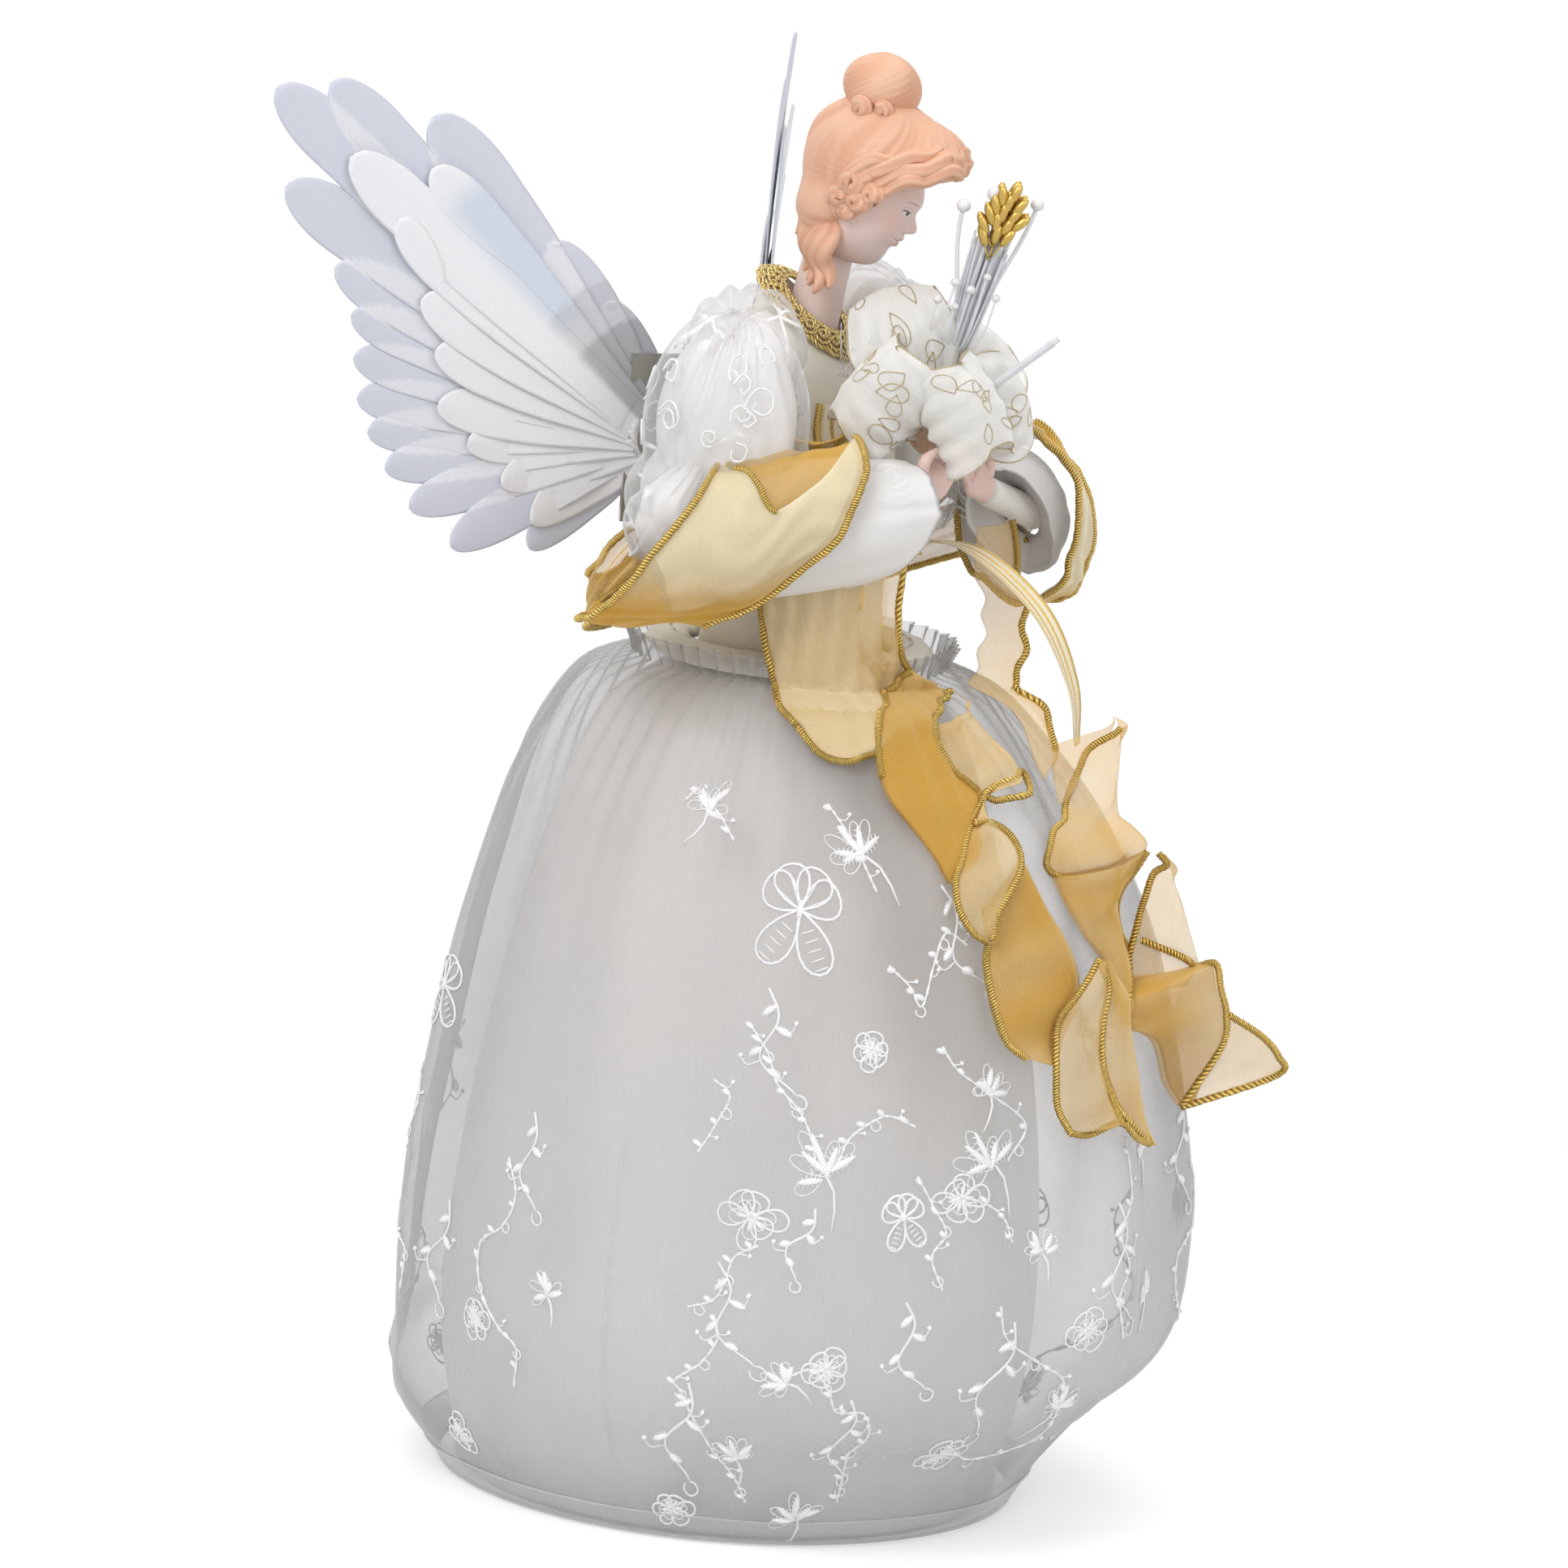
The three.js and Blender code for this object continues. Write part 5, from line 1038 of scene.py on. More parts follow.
def make_body(sizes, colours):
    """The foam torso and arms, the satin bodice and the pleated waist band."""
    angle = rounded(128)
    foam = sculpted_material("Body foam", (0.84, 0.81, 0.75), roughness=0.9, grain=0.6 * MM)
    torso = np.stack(
        [
            np.stack([w * TORSO_HALF_WIDTH * np.cos(angle), d * TORSO_HALF_DEPTH * np.sin(angle), 0 * angle + h], -1)
            for h, w, d in spline(TORSO_SHARES * [TORSO_HEIGHT, 1, 1] + [TORSO_BASE, 0, 0], 30)
        ]
    )
    body = Shape().grid(torso, wrap_columns=True, cap=True)
    piece = body.make("torso_foam", foam, slot="body_foam", replaces=["torso_core"])
    for arm in ARMS:
        path = arm_path(arm, 40)
        core = Shape().rod(path, np.linspace(6, 4, 40) * MM, 14)
        piece = core.make(f"{arm['name']}_arm_foam", foam, slot="body_foam", replaces=[f"{arm['name']}_arm_core"])
    rings = spline(body_rings(CLOTH_OFF_BODY, angle, 3.3 * MM), 70)
    crease = wobble(11, 1.0, 4 * np.cos(angle)[None], 4 * np.sin(angle)[None], np.linspace(0, 9, 70)[:, None])
    outward = away(rings)
    rings = rings + outward * (crease * 0.35 * MM)[..., None]
    satin = satin_material("Bodice satin", colours.ivory, threads=2.4)
    bodice = Shape().grid(rings, (190.0, 110.0), wrap_columns=True)
    piece = bodice.make(
        "bodice_cloth", satin, slot="white_satin", replaces=["bodice"], thickness=1.6 * MM, offset=-1.0
    )
    make_band(satin)


def make_band(satin):
    """The waist band: three soft pleats round the skirt's top."""
    angle = rounded(240)
    inner, outer = 28.4 * MM, BAND_HIGH[0]
    turn = np.linspace(0, TURN, 40, endpoint=False)[:, None]
    middle = np.array([(BAND_LOW[2] + BAND_HIGH[2]) / 2])
    half_height = (BAND_HIGH[2] - BAND_LOW[2]) / 2
    pleats = 0.5 * MM * (np.cos(6 * turn) - 1) * (np.cos(turn) > 0)
    radius = lerp(inner, outer, (1 + np.cos(turn)) / 2) + pleats + 0.25 * MM * np.sin(23 * angle + 4 * turn)
    height = middle + half_height * np.sin(turn) * np.ones_like(angle)
    points = np.stack([radius * np.cos(angle), radius * np.sin(angle), height], -1)
    shape = Shape().grid(points, (24.0, 210.0), wrap_rows=True, wrap_columns=True)
    shape.make("waist_band_cloth", satin, slot="white_satin", replaces=["waist_band"])


# Arms and sleeves

# Places of root, upper arm, elbow, wrist and fingertips as shares of the body.
ARMS = [
    {
        "name": "right",
        "side": -1,
        "root": (-0.99, 0, 0.9),
        "upper": (-1.6, 0.1, 0.78),
        "elbow": (-2.17, 0.1, 0.62),
        "wrist": (-0.48, -2.4, 0.79),
        "hand": (-0.16, -2.5, 0.93),
        "puff_reach": 0.94,
        "bell_cut": (0.11, 0.07),
        "wrap_cut": (0.13, 0.05),
    },
    {
        "name": "left",
        "side": 1,
        "root": (0.99, 0, 0.9),
        "upper": (1.55, -0.6, 0.76),
        "elbow": (2.1, -1.8, 0.62),
        "wrist": (0.83, -2.2, 0.78),
        "hand": (0.36, -2.3, 0.9),
        "puff_reach": 0.74,
        "bell_cut": (0.09, 0.04),
        "wrap_cut": (0.11, 0.021),
    },
]
# Rows of a share of the way from elbow to wrist, then the factor of the sleeve's radius there.
BELL_SHARES = [[0.04, 0.8], [0.2, 1], [0.5, 1.12], [0.8, 1.15], [1, 0.95]]
WRAP_SHARES = [[-0.25, 1.06], [-0.14, 1.1], [0.1, 1.25], [0.36, 1.34], [0.75, 1.34]]
SLEEVE_SLANT_SHARE = 0.6
SLEEVE_DROP = 0.12
BELL_FLATNESS = 0.86
WRAP_FLATNESS = 0.88
WRAP_EASE = 1.5 * MM


def arm_path(arm, count):
    """The arm's centre line from the shoulder to the wrist."""
    return spline([body_place(arm[key]) for key in ("root", "upper", "elbow", "wrist")], count)


def round_forearm(arm, along, angle, size, slant, flatness):
    """Places round the forearm: centre + side * cos * flatness + (up + forward * slant) * sin, all times the size."""
    elbow, wrist = body_place(arm["elbow"]), body_place(arm["wrist"])
    forward = unit(wrist - elbow)
    side, up = cross_axes(forward)
    lean = SLEEVE_SLANT_SHARE * slant * size
    centre = elbow + (wrist - elbow) * along[..., None] - up * (size * SLEEVE_DROP)[..., None]
    return (
        centre
        + side * (np.cos(angle) * size * flatness)[..., None]
        + up * (np.sin(angle) * size)[..., None]
        + forward * (np.sin(angle) * lean)[..., None]
    )


def folds_round(seed, angle, along, depth):
    """Radius factors of soft lengthwise folds."""
    lines = wobble(seed, 1.0, 2.6 * np.cos(angle)[None], 2.6 * np.sin(angle)[None], 1.6 * along[:, None])
    ridges = np.sin(7 * angle[None] + 3 * lines + 2 * along[:, None])
    return depth * (0.6 * lines + 0.4 * ridges)


def round_table(table, angle):
    """The value of a table of degrees and values at angles, going all the way round."""
    table = np.asarray(table, float)
    wrapped = np.vstack([table[-1:] - [[360, 0]], table, table[:1] + [[360, 0]]])
    return np.interp((np.degrees(angle) + 90) % 360 - 90, wrapped[:, 0], wrapped[:, 1])


# Rows of degrees round the forearm and the cuff's place along it, and of degrees and width factor.
# The near side is at 0 and the top at 90.
CUFFS = {
    "right": {
        "rim": [
            [-90, 0.74], [-60, 0.86], [-30, 0.99], [0, 1.05], [45, 1.03], [90, 0.98], [135, 0.94], [180, 0.9],
            [225, 0.84],
        ],
        "width": [
            [-90, 1.0], [-45, 1.0], [0, 0.95], [45, 0.88], [90, 0.78], [135, 0.8], [180, 0.95], [225, 1.0],
        ],
    },
    "left": {
        "rim": [
            [-90, 0.12], [-60, 0.3], [-30, 0.62], [0, 0.8], [45, 0.98], [90, 1.02], [135, 0.85], [180, 0.5],
            [225, 0.2],
        ],
        "width": [
            [-90, 0.98], [-45, 0.72], [0, 0.48], [45, 0.38], [90, 0.4], [135, 0.55], [180, 0.8], [225, 0.95],
        ],
    },
}
# Where a bell starts along the forearm, how narrow it starts, the radius that its cuff turns in to,
# and the spacing and reach of the folds round its gathered point.
BELL_START = -0.1
BELL_NECK = 0.36
BELL_CORE = 5.5 * MM
SWIRL_PITCH = 2.3 * MM
SWIRL_REACH = 7.5 * MM


def bell_points(sizes, arm, step, angle, inset=0.0):
    """A bell sleeve swelling from the elbow to a slanted cuff: step is the share along it, inset its narrowing."""
    cuff = CUFFS[arm["name"]]
    along = lerp(BELL_START, round_table(cuff["rim"], angle)[None], step[:, None])
    width = lerp(1.0, round_table(cuff["width"], angle)[None], smooth(step, 0.3, 1.0)[:, None])
    closing = lerp(BELL_NECK, 1.0, smooth(step, 0.02, 0.34))[:, None]
    folds = folds_round(21 + arm["side"], angle, step * 1.5, 0.05) * smooth(step, 0.1, 0.5)[:, None]
    size = table_at(BELL_SHARES, np.clip(along, 0.04, 1)) * sizes.sleeve_radius * width * closing * (1 + folds)
    size = lerp(size - 0.6 * MM * (inset > 0), BELL_CORE, inset)
    return round_forearm(arm, along, angle, size, 1 - np.clip(along, 0, 1), BELL_FLATNESS)


def make_bells(sizes, colours):
    """The satin bell sleeves, which show past the shawl's wraps. Their cuffs are turned in."""
    # The bells use the same white satin painted darker: painted shade.
    satin = satin_material("Sleeve satin", tuple(c * 0.86 for c in colours.satin), threads=2.6, sheen=0.35)
    angle = rounded(140)
    for arm in ARMS:
        step = np.linspace(0, 1, 66)
        points = bell_points(sizes, arm, step, angle)
        if arm["name"] == "right":
            points = swirled(points, angle)
        turned_in = [bell_points(sizes, arm, np.array([1 - 0.05 * k]), angle, (k / 10) ** 2.5) for k in range(1, 11)]
        shape = Shape().grid(np.concatenate([points, *turned_in]), (110.0, 60.0), wrap_columns=True)
        name = arm["name"]
        piece = shape.make(
            f"{name}_bell_cloth", satin, slot="white_satin", replaces=[f"{name}_bell_sleeve"],
            thickness=2 * sizes.cloth,
        )


def swirled(points, angle):
    """Rings of folds round a point near the cuff's top, where the satin is drawn together."""
    eye = points[int(len(points) * 0.86), int(np.argmin(np.abs(angle - 48 * DEG)))]
    normal = unit(np.cross(np.gradient(points, axis=1), np.gradient(points, axis=0)))
    normal = normal * np.sign(np.sum(normal * (points - points.mean(1, keepdims=True)), -1, keepdims=True))
    distance = np.linalg.norm(points - eye, axis=-1)
    rings = 0.55 * MM * np.cos(TURN * distance / SWIRL_PITCH) * np.exp(-((distance / SWIRL_REACH) ** 2))
    return points + normal * rings[..., None]


# Half sizes of the ellipsoids that a puff is blended of, the place of its foot, the power that
# blends them and the number of stitched scrolls.
PUFF_HALF = np.array([18, 25, 33]) * MM
LOBE_HALF = np.array([13.5, 17.5, 16.5]) * MM
FOOT_HALF = np.array([18.5, 26, 17]) * MM
ELBOW_HALF = np.array([12, 13, 12]) * MM
FOOT_PLACE = np.array([0, 3, -20]) * MM
PUFF_BLEND = 14.0
PUFF_SCROLLS = 46


def reach_in_ball(direction, centre, half):
    """How far a ray from the origin reaches inside an ellipsoid about a centre, or zero."""
    a = np.sum((direction / half) ** 2, -1)
    b = -2 * np.sum(direction * centre / half**2, -1)
    c = np.sum((centre / half) ** 2) - 1
    inside = b * b - 4 * a * c
    reach = (-b + np.sqrt(np.maximum(inside, 0))) / (2 * a)
    return np.where((inside > 0) & (reach > 0), reach, 0)


def puff_points(arm, factor, depth):
    """A puff sleeve about its middle: the reach of four ellipsoids, blended, in folds from seam to seam."""
    down = np.linspace(0.01, 0.99, 90)[:, None] * np.pi
    angle = rounded(160)[None, :]
    direction = globe(down, angle)
    centre = body_place((arm["side"] * 1.43, -0.05, 1))
    lobe = body_place((arm["side"], 0.1, 1.32)) - centre
    elbow = (body_place(arm["elbow"]) - centre) * arm["puff_reach"]
    balls = ((np.zeros(3), PUFF_HALF), (lobe, LOBE_HALF), (FOOT_PLACE, FOOT_HALF), (elbow, ELBOW_HALF))
    reach = sum(reach_in_ball(direction, *row) ** PUFF_BLEND for row in balls) ** (1 / PUFF_BLEND)
    lines = wobble(31 + arm["side"], 1.0, *(2.2 * direction[..., k] for k in range(3)))
    folds = np.sin(13 * angle + 4 * lines) * np.sin(down) ** 0.4 + 0.8 * lines
    seam = smooth(np.abs(np.cos(down)), 0.5, 1.0)
    reach = factor * reach * (1 + depth * folds * (0.5 + 0.9 * seam))
    return centre + direction * reach[..., None]


def make_puffs(sizes, colours):
    """The puff sleeves: laced organza over a smaller puff of satin."""
    lace = sheer_material(
        "Laced organza", tuple(c * 1.45 for c in colours.organza), cover=0.12, grazing=0.9, lace=0.5
    )
    satin = satin_material("Puff satin", colours.satin, threads=2.2)
    thread = thread_material("Puff thread", colours.thread)
    for arm in ARMS:
        name = arm["name"]
        inner = Shape().grid(puff_points(arm, 0.84, 0.045), (120.0, 90.0), wrap_columns=True, cap=True)
        inner.make(f"{name}_puff_satin", satin, slot="white_satin")
        surface = puff_points(arm, 1.0, 0.028)
        outer = Shape().grid(surface, (160.0, 110.0), wrap_columns=True, cap=True)
        piece = outer.make(
            f"{name}_puff_cloth", lace, slot="white_organza", replaces=[f"{name}_puff_sleeve"], thickness=sizes.cloth
        )
        sewn = Shape()
        random = np.random.default_rng(9)
        for _ in range(PUFF_SCROLLS):
            row, column = random.uniform(0.18, 0.82) * len(surface), random.uniform(0, surface.shape[1])
            size, aim = random.uniform(2.7, 5.3), random.uniform(0, TURN)
            turn = np.linspace(0, random.uniform(0.6, 1.3) * TURN, 26)
            wind = size * (0.35 + 0.65 * turn / TURN)
            rows = row + wind * np.cos(turn + aim) * 1.2
            columns = column + wind * np.sin(turn + aim) * 1.1
            path = surface[np.clip(rows, 1, len(surface) - 2).astype(int), columns.astype(int) % surface.shape[1]]
            path = path + unit(path - surface.mean((0, 1))) * 0.3 * MM
            sewn.rod(spline(path[::3], 30), 0.34 * MM, 5)
        stitched = sewn.make(f"{name}_puff_stitches", thread, slot="white_organza")


# Shawl: two wraps, a length behind the back and two ruffled tails, all with a gold cord on their edges

# The tails are one ribbon each, laid in loops. Each loop has two edges, given by rows of angle in
# degrees from -Y towards +X, height share and distance off the overskirt in millimetres. Then come
# how deep the gold looks at either edge, the layers of cloth, and the share of either edge that
# shows its cord.
TAIL_LOOPS = {
    "right": [
        (
            [
                [-69, 1.12, 2.2], [-66, 1.07, 2.6], [-60, 1.0, 2.9], [-53, 0.97, 3.3], [-47, 0.942, 3.6],
                [-41.5, 0.938, 4.1], [-35, 0.946, 4.4],
            ],
            [
                [-17, 1.16, 2.4], [-19.5, 1.1, 2.9], [-16, 1.056, 3.4], [-14.4, 1.035, 3.9], [-13, 1.026, 4.4],
                [-12, 1.022, 5], [-9.3, 1.016, 5.5],
            ],
            (-0.9, 0.5), 1, (1, 1),
        ),
        (
            [
                [-13.4, 1.023, 7.5], [-20.6, 1.004, 6.8], [-32, 0.98, 6.2], [-35, 0.942, 5.5],
                [-34.4, 0.903, 4.8], [-31, 0.873, 4.3], [-28, 0.843, 3.6], [-26, 0.812, 3],
            ],
            [
                [1.6, 0.997, 8.4], [-11, 0.989, 7.8], [-17.2, 0.973, 7.2], [-19, 0.955, 6.5], [-17, 0.928, 5.9],
                [-14.4, 0.913, 5.3], [-13.5, 0.897, 4.6], [-17, 0.85, 4],
            ],
            (0.9, 1.0), 3, (0.5, 0.9),
        ),
        (
            [
                [-16, 0.971, 5.4], [-18, 0.954, 5.2], [-16.6, 0.927, 4.9], [-14.2, 0.913, 4.7],
                [-12.8, 0.901, 4.4],
            ],
            [[5.8, 0.993, 4.5], [-1.3, 0.977, 4.9], [-1.6, 0.958, 5.5], [0.3, 0.937, 5.9], [-0.7, 0.921, 6.5]],
            (0.5, 0.2), 1, (0, 0),
        ),
        (
            [
                [-12.2, 0.905, 5.4], [-16, 0.883, 5.4], [-20, 0.864, 5.3], [-23, 0.837, 5.2],
                [-25.6, 0.817, 5.2], [-26, 0.787, 5.1], [-24, 0.762, 5], [-21.4, 0.75, 4.9],
            ],
            [
                [-18.6, 0.877, 8], [-14.8, 0.875, 8], [-12.9, 0.865, 8.3], [-12.3, 0.846, 8.3],
                [-13.7, 0.824, 8.6], [-16.8, 0.801, 8.6], [-20.5, 0.78, 8.8], [-22, 0.756, 8.9],
            ],
            (0.5, 0.3), 1, (1, 1),
        ),
        (
            [
                [-20.4, 0.785, 4.5], [-21, 0.753, 4.8], [-22.3, 0.73, 5.1], [-22.4, 0.699, 5.5],
                [-21.8, 0.667, 5.8], [-20.6, 0.639, 6.2], [-17.7, 0.621, 6.4],
            ],
            [
                [-10, 0.833, 3.1], [-8.8, 0.783, 3.2], [-7.3, 0.746, 3.4], [-6.8, 0.711, 3.5], [-8, 0.675, 3.7],
                [-10.8, 0.639, 3.9], [-12, 0.607, 4],
            ],
            (0.6, 1.0), 3, (1, 0),
        ),
        (
            [
                [-5.6, 0.73, 9.5], [-9.3, 0.695, 9], [-12, 0.671, 8.4], [-13, 0.65, 7.9], [-13.4, 0.601, 7.5],
                [-13.3, 0.563, 7], [-11.4, 0.532, 6.4],
            ],
            [
                [-5.9, 0.729, 10.4], [-5.2, 0.699, 9.9], [-6.8, 0.658, 9.4], [-7.2, 0.616, 8.9],
                [-6.5, 0.583, 8.5], [-5.6, 0.562, 7.9], [-4.7, 0.542, 7.5],
            ],
            (0.2, 0.6), 1, (1, 1),
        ),
        (
            [
                [-5.7, 0.729, 9.9], [-5.1, 0.698, 9.6], [-6.7, 0.658, 9.1], [-7.2, 0.616, 8.7],
                [-6.4, 0.583, 8.3], [-4.4, 0.552, 7.9], [1.1, 0.51, 7.5],
            ],
            [
                [-3.8, 0.727, 7.5], [-0.3, 0.685, 7.1], [-0.6, 0.644, 6.9], [-0.1, 0.597, 6.6],
                [0.9, 0.553, 6.3], [2.9, 0.506, 6],
            ],
            (0.8, 0.4), 1, (1, 0),
        ),
    ],
    "left": [
        (
            [[38, 1.17, 2.3], [35, 1.124, 6.2], [21.6, 1.057, 11.6], [10, 0.983, 11], [5.2, 0.909, 8.4]],
            [[37.8, 1.184, 14], [35.4, 1.133, 18], [28.9, 1.09, 21.2], [16.7, 1.012, 24], [9.1, 0.941, 15.5]],
            (0.3, 0.8), 1, (0, 1),
        ),
        (
            [
                [15.7, 0.97, 37.3], [12.4, 0.949, 28.1], [8.5, 0.916, 17.7], [5.1, 0.879, 9],
                [-1.9, 0.858, 4.5], [-6, 0.834, 3.5], [-5.7, 0.817, 3.4], [-0.2, 0.81, 3.4],
            ],
            [
                [16.4, 0.981, 38.7], [14.8, 0.96, 34.8], [12.1, 0.93, 32.3], [10.4, 0.899, 26.4],
                [9.5, 0.877, 22.8], [9.8, 0.866, 24.6], [9.9, 0.851, 26.2], [9.5, 0.839, 24.5],
            ],
            (0.5, 0.8), 1, (1, 0),
        ),
        (
            [[9.7, 0.947, 16.6], [7.5, 0.928, 13.4], [6.1, 0.906, 11], [5.2, 0.884, 7.7]],
            [[16.5, 0.982, 39], [12.8, 0.952, 28.6], [8.7, 0.919, 18.3], [5.4, 0.882, 8.4]],
            (0.4, 0.4), 1, (0, 0),
        ),
        (
            [
                [-6, 0.815, 3.4], [-5.6, 0.795, 3.4], [-5, 0.773, 3.5], [-3.6, 0.747, 3.5], [-1.1, 0.721, 3.5],
                [0.1, 0.682, 3.5], [2.2, 0.64, 3.5],
            ],
            [
                [9.5, 0.839, 25], [8.2, 0.814, 18.2], [7.1, 0.791, 12], [6.5, 0.769, 8.4], [6.6, 0.744, 6.8],
                [7.9, 0.713, 6.7], [1.5, 0.667, 5],
            ],
            (0.6, 1.0), 2, (0, 1),
        ),
        (
            [
                [10, 0.838, 27.8], [10.1, 0.826, 28.5], [9.3, 0.814, 23.2], [8.6, 0.784, 17.7],
                [7.9, 0.754, 12.8], [8.1, 0.709, 6.3], [6, 0.672, 4],
            ],
            [
                [10.1, 0.837, 28.6], [10.3, 0.821, 29], [10.4, 0.799, 28.1], [10.6, 0.763, 27.2],
                [11.5, 0.723, 26.6], [12.2, 0.707, 26], [12.4, 0.682, 20.9],
            ],
            (0.5, 0.3), 1, (1, 0),
        ),
        (
            [
                [7.7, 0.688, 3.5], [2.5, 0.665, 3.5], [5.1, 0.634, 3.5], [14.2, 0.607, 7], [17.5, 0.551, 6.5],
                [17.5, 0.525, 9.7],
            ],
            [
                [12, 0.706, 25], [12.7, 0.712, 30.3], [14.1, 0.68, 28.8], [15.4, 0.647, 28.1],
                [17.4, 0.604, 23.6], [17.6, 0.525, 10.2],
            ],
            (0.9, 0.5), 2, (0, 1),
        ),
        (
            [
                [15.3, 0.649, 28.3], [17, 0.614, 25], [18.5, 0.573, 18.2], [18.3, 0.546, 13.1],
                [17.5, 0.525, 9.7],
            ],
            [[15.5, 0.647, 29], [18, 0.622, 34.9], [19.8, 0.596, 36.7], [21, 0.57, 33.8], [17.5, 0.523, 9.7]],
            (0.3, 0.1), 1, (0, 1),
        ),
    ],
}
# Lengths of cord that join loops, by the same kind of rows.
TAIL_CORDS = {
    "right": [
        [
            [-12.8, 0.901, 4.6], [-10.5, 0.896, 6], [-3, 0.905, 7.5], [-0.7, 0.921, 7.5], [-4, 0.918, 6.5],
            [-12.2, 0.905, 5.4],
        ],
        [[-11.4, 0.532, 6.4], [-9, 0.53, 6.8], [-4.7, 0.542, 7.5], [-1.5, 0.52, 7.2], [2.9, 0.506, 6]],
    ],
    "left": [
        [[12, 0.706, 25], [10, 0.72, 22], [8.1, 0.735, 12]],
    ],
}
# Distances of the tails off the skirt and off each other.
TAIL_CLEARANCE = 1.6 * MM
TAIL_LAYER_GAP = 1.3 * MM
TAIL_LINING_GAP = 0.7 * MM


def clear_of_skirt(sizes, points):
    """Moves points outwards where the skirt would touch them."""
    angle = np.arctan2(points[..., 0], -points[..., 1])
    waist = BAND_LOW[2]
    share = np.clip((points[..., 2] - HEM_LIFT) / (waist - HEM_LIFT), 0, 1)
    least = skirt_radius(sizes, angle, share) + TAIL_CLEARANCE
    least = least + np.where(points[..., 2] > waist - 7 * MM, HEADER_FLARE + MM, 0)
    radius = np.maximum(np.hypot(points[..., 0], points[..., 1]), least)
    return round_axis(radius, angle, points[..., 2])


def over_skirt(sizes, rows):
    """Places from rows of degrees, height share, which may pass the waist's 1, and millimetres off the skirt."""
    angle, share, lift = rows[..., 0] * DEG, rows[..., 1], rows[..., 2] * MM
    radius = skirt_radius(sizes, angle, np.minimum(share, 1)) + lift
    height = lerp(HEM_LIFT, BAND_LOW[2], share)
    return clear_of_skirt(sizes, round_axis(radius, angle, height))


def loop_rows(sizes, first, second, seed, lower):
    """A loop between two edges: it bulges off the skirt in the middle, and pleats run across it from edge to edge."""
    count = 70
    start, end = spline(first, count), spline(second, count)
    across = np.linspace(0, 1, 23)[None, :]
    step = np.linspace(0, 1, count)[:, None]
    rows = lerp(start[:, None], end[:, None], across[..., None])
    middle = 4 * across * (1 - across)
    bulge = sizes.tail_ruffle / MM * (0.34 * middle + 0.05 * wobble(seed, 2.5, step * 2, across))
    pleat = 0.5 * np.sin(17 * step + 4 * across + 2.2 * wobble(seed + 1, 2.0, step, across)) * np.sqrt(middle)
    rows[..., 2] += bulge + pleat - lower
    return rows


def gold_paint(colours, depth):
    """The organza's colour: pale gold where it lies single, deep gold where it is doubled."""
    deep = np.array(colours.gold_cloth)
    pale = lerp(deep, np.array([0.92, 0.81, 0.52]), 0.55)
    return lerp(pale, deep, np.asarray(depth)[..., None])


def edge_cord(shape, path, radius):
    """A cord along an edge, with small lumps where it was stitched."""
    steps = np.arange(len(path))
    shape.rod(path, radius * (1 + 0.08 * np.sin(steps * 2.1)), 7)


def make_tails(sizes, colours, cloth, cord, satin):
    """The two tails of the shawl down the front of the skirt, in loops with a cord on their edges."""
    for number, (name, loops) in enumerate(TAIL_LOOPS.items()):
        shape, edges = Shape(), Shape()
        for order, (first, second, depth, layers, corded) in enumerate(loops):
            seed = 41 + 20 * number + order
            for layer in range(layers):
                rows = loop_rows(sizes, first, second, seed + 7 * layer, layer * TAIL_LAYER_GAP / MM)
                points = over_skirt(sizes, rows)
                part = np.linspace(0, 1, points.shape[1])[None, :]
                line = wobble(seed + 3, 1.0, 9 * np.linspace(0, 1, points.shape[0])[:, None], 1.5 * part)
                shade = lerp(depth[0], depth[1], smooth(part, 0.15, 0.85)) + 0.22 * line
                shape.grid(points, (34.0, 60.0), paint=gold_paint(colours, np.clip(shade, 0, 1)))
                if layer == 0:
                    for column, reach in ((0, corded[0]), (-1, corded[1])):
                        if reach:
                            edge_cord(edges, points[: int(len(points) * reach), column], sizes.cord)
        for rows in TAIL_CORDS[name]:
            edge_cord(edges, over_skirt(sizes, spline(rows, 60)), sizes.cord)
        piece = shape.make(
            f"shawl_{name}_tail_cloth", cloth, slot="gold_organza", replaces=[f"shawl_{name}_tail"],
            thickness=sizes.cloth,
        )
        sewn_on = [edges.make(f"shawl_{name}_tail_cord", cord, slot="gold_braid")]
        if name == "right":
            points = over_skirt(sizes, loop_rows(sizes, *loops[0][:2], 41, 0))
            points = points - away(points) * TAIL_LINING_GAP
            lining = Shape().grid(points[:, : int(points.shape[1] * 0.7)], (34.0, 40.0))
            sewn_on.append(lining.make("right_tail_lining", satin, slot="ivory_satin", thickness=sizes.cloth))


# Rows of degrees round the forearm, then the places along it of the wrap's elbow rim and wrist rim.
WRAP_RIMS = {
    "right": [
        [90, 0.09, 0.72],
        [40, 0.0, 0.73],
        [0, -0.1, 0.63],
        [-40, -0.14, 0.42],
        [-65, -0.2, 0.26],
        [-90, -0.17, 0.24],
        [-115, -0.12, 0.42],
        [-140, -0.08, 0.6],
        [-180, -0.02, 0.66],
        [-270, 0.09, 0.7],
    ],
    "left": [
        [90, -0.05, 0.42],
        [40, -0.02, 0.3],
        [0, 0.0, 0.22],
        [-40, -0.04, 0.2],
        [-90, -0.12, 0.22],
        [-140, -0.16, 0.34],
        [-180, -0.16, 0.42],
        [-225, -0.1, 0.44],
        [-270, -0.05, 0.46],
    ],
}
# Rows of a share of the way from the elbow rim to the wrist rim, then the degrees where the near
# side's top edge lies: it dips in a V.
WRAP_NOTCH = [[0, 90], [0.17, 66], [0.33, 43], [0.5, 24], [0.58, 24], [0.7, 37], [0.83, 56], [0.94, 76], [1, 90]]


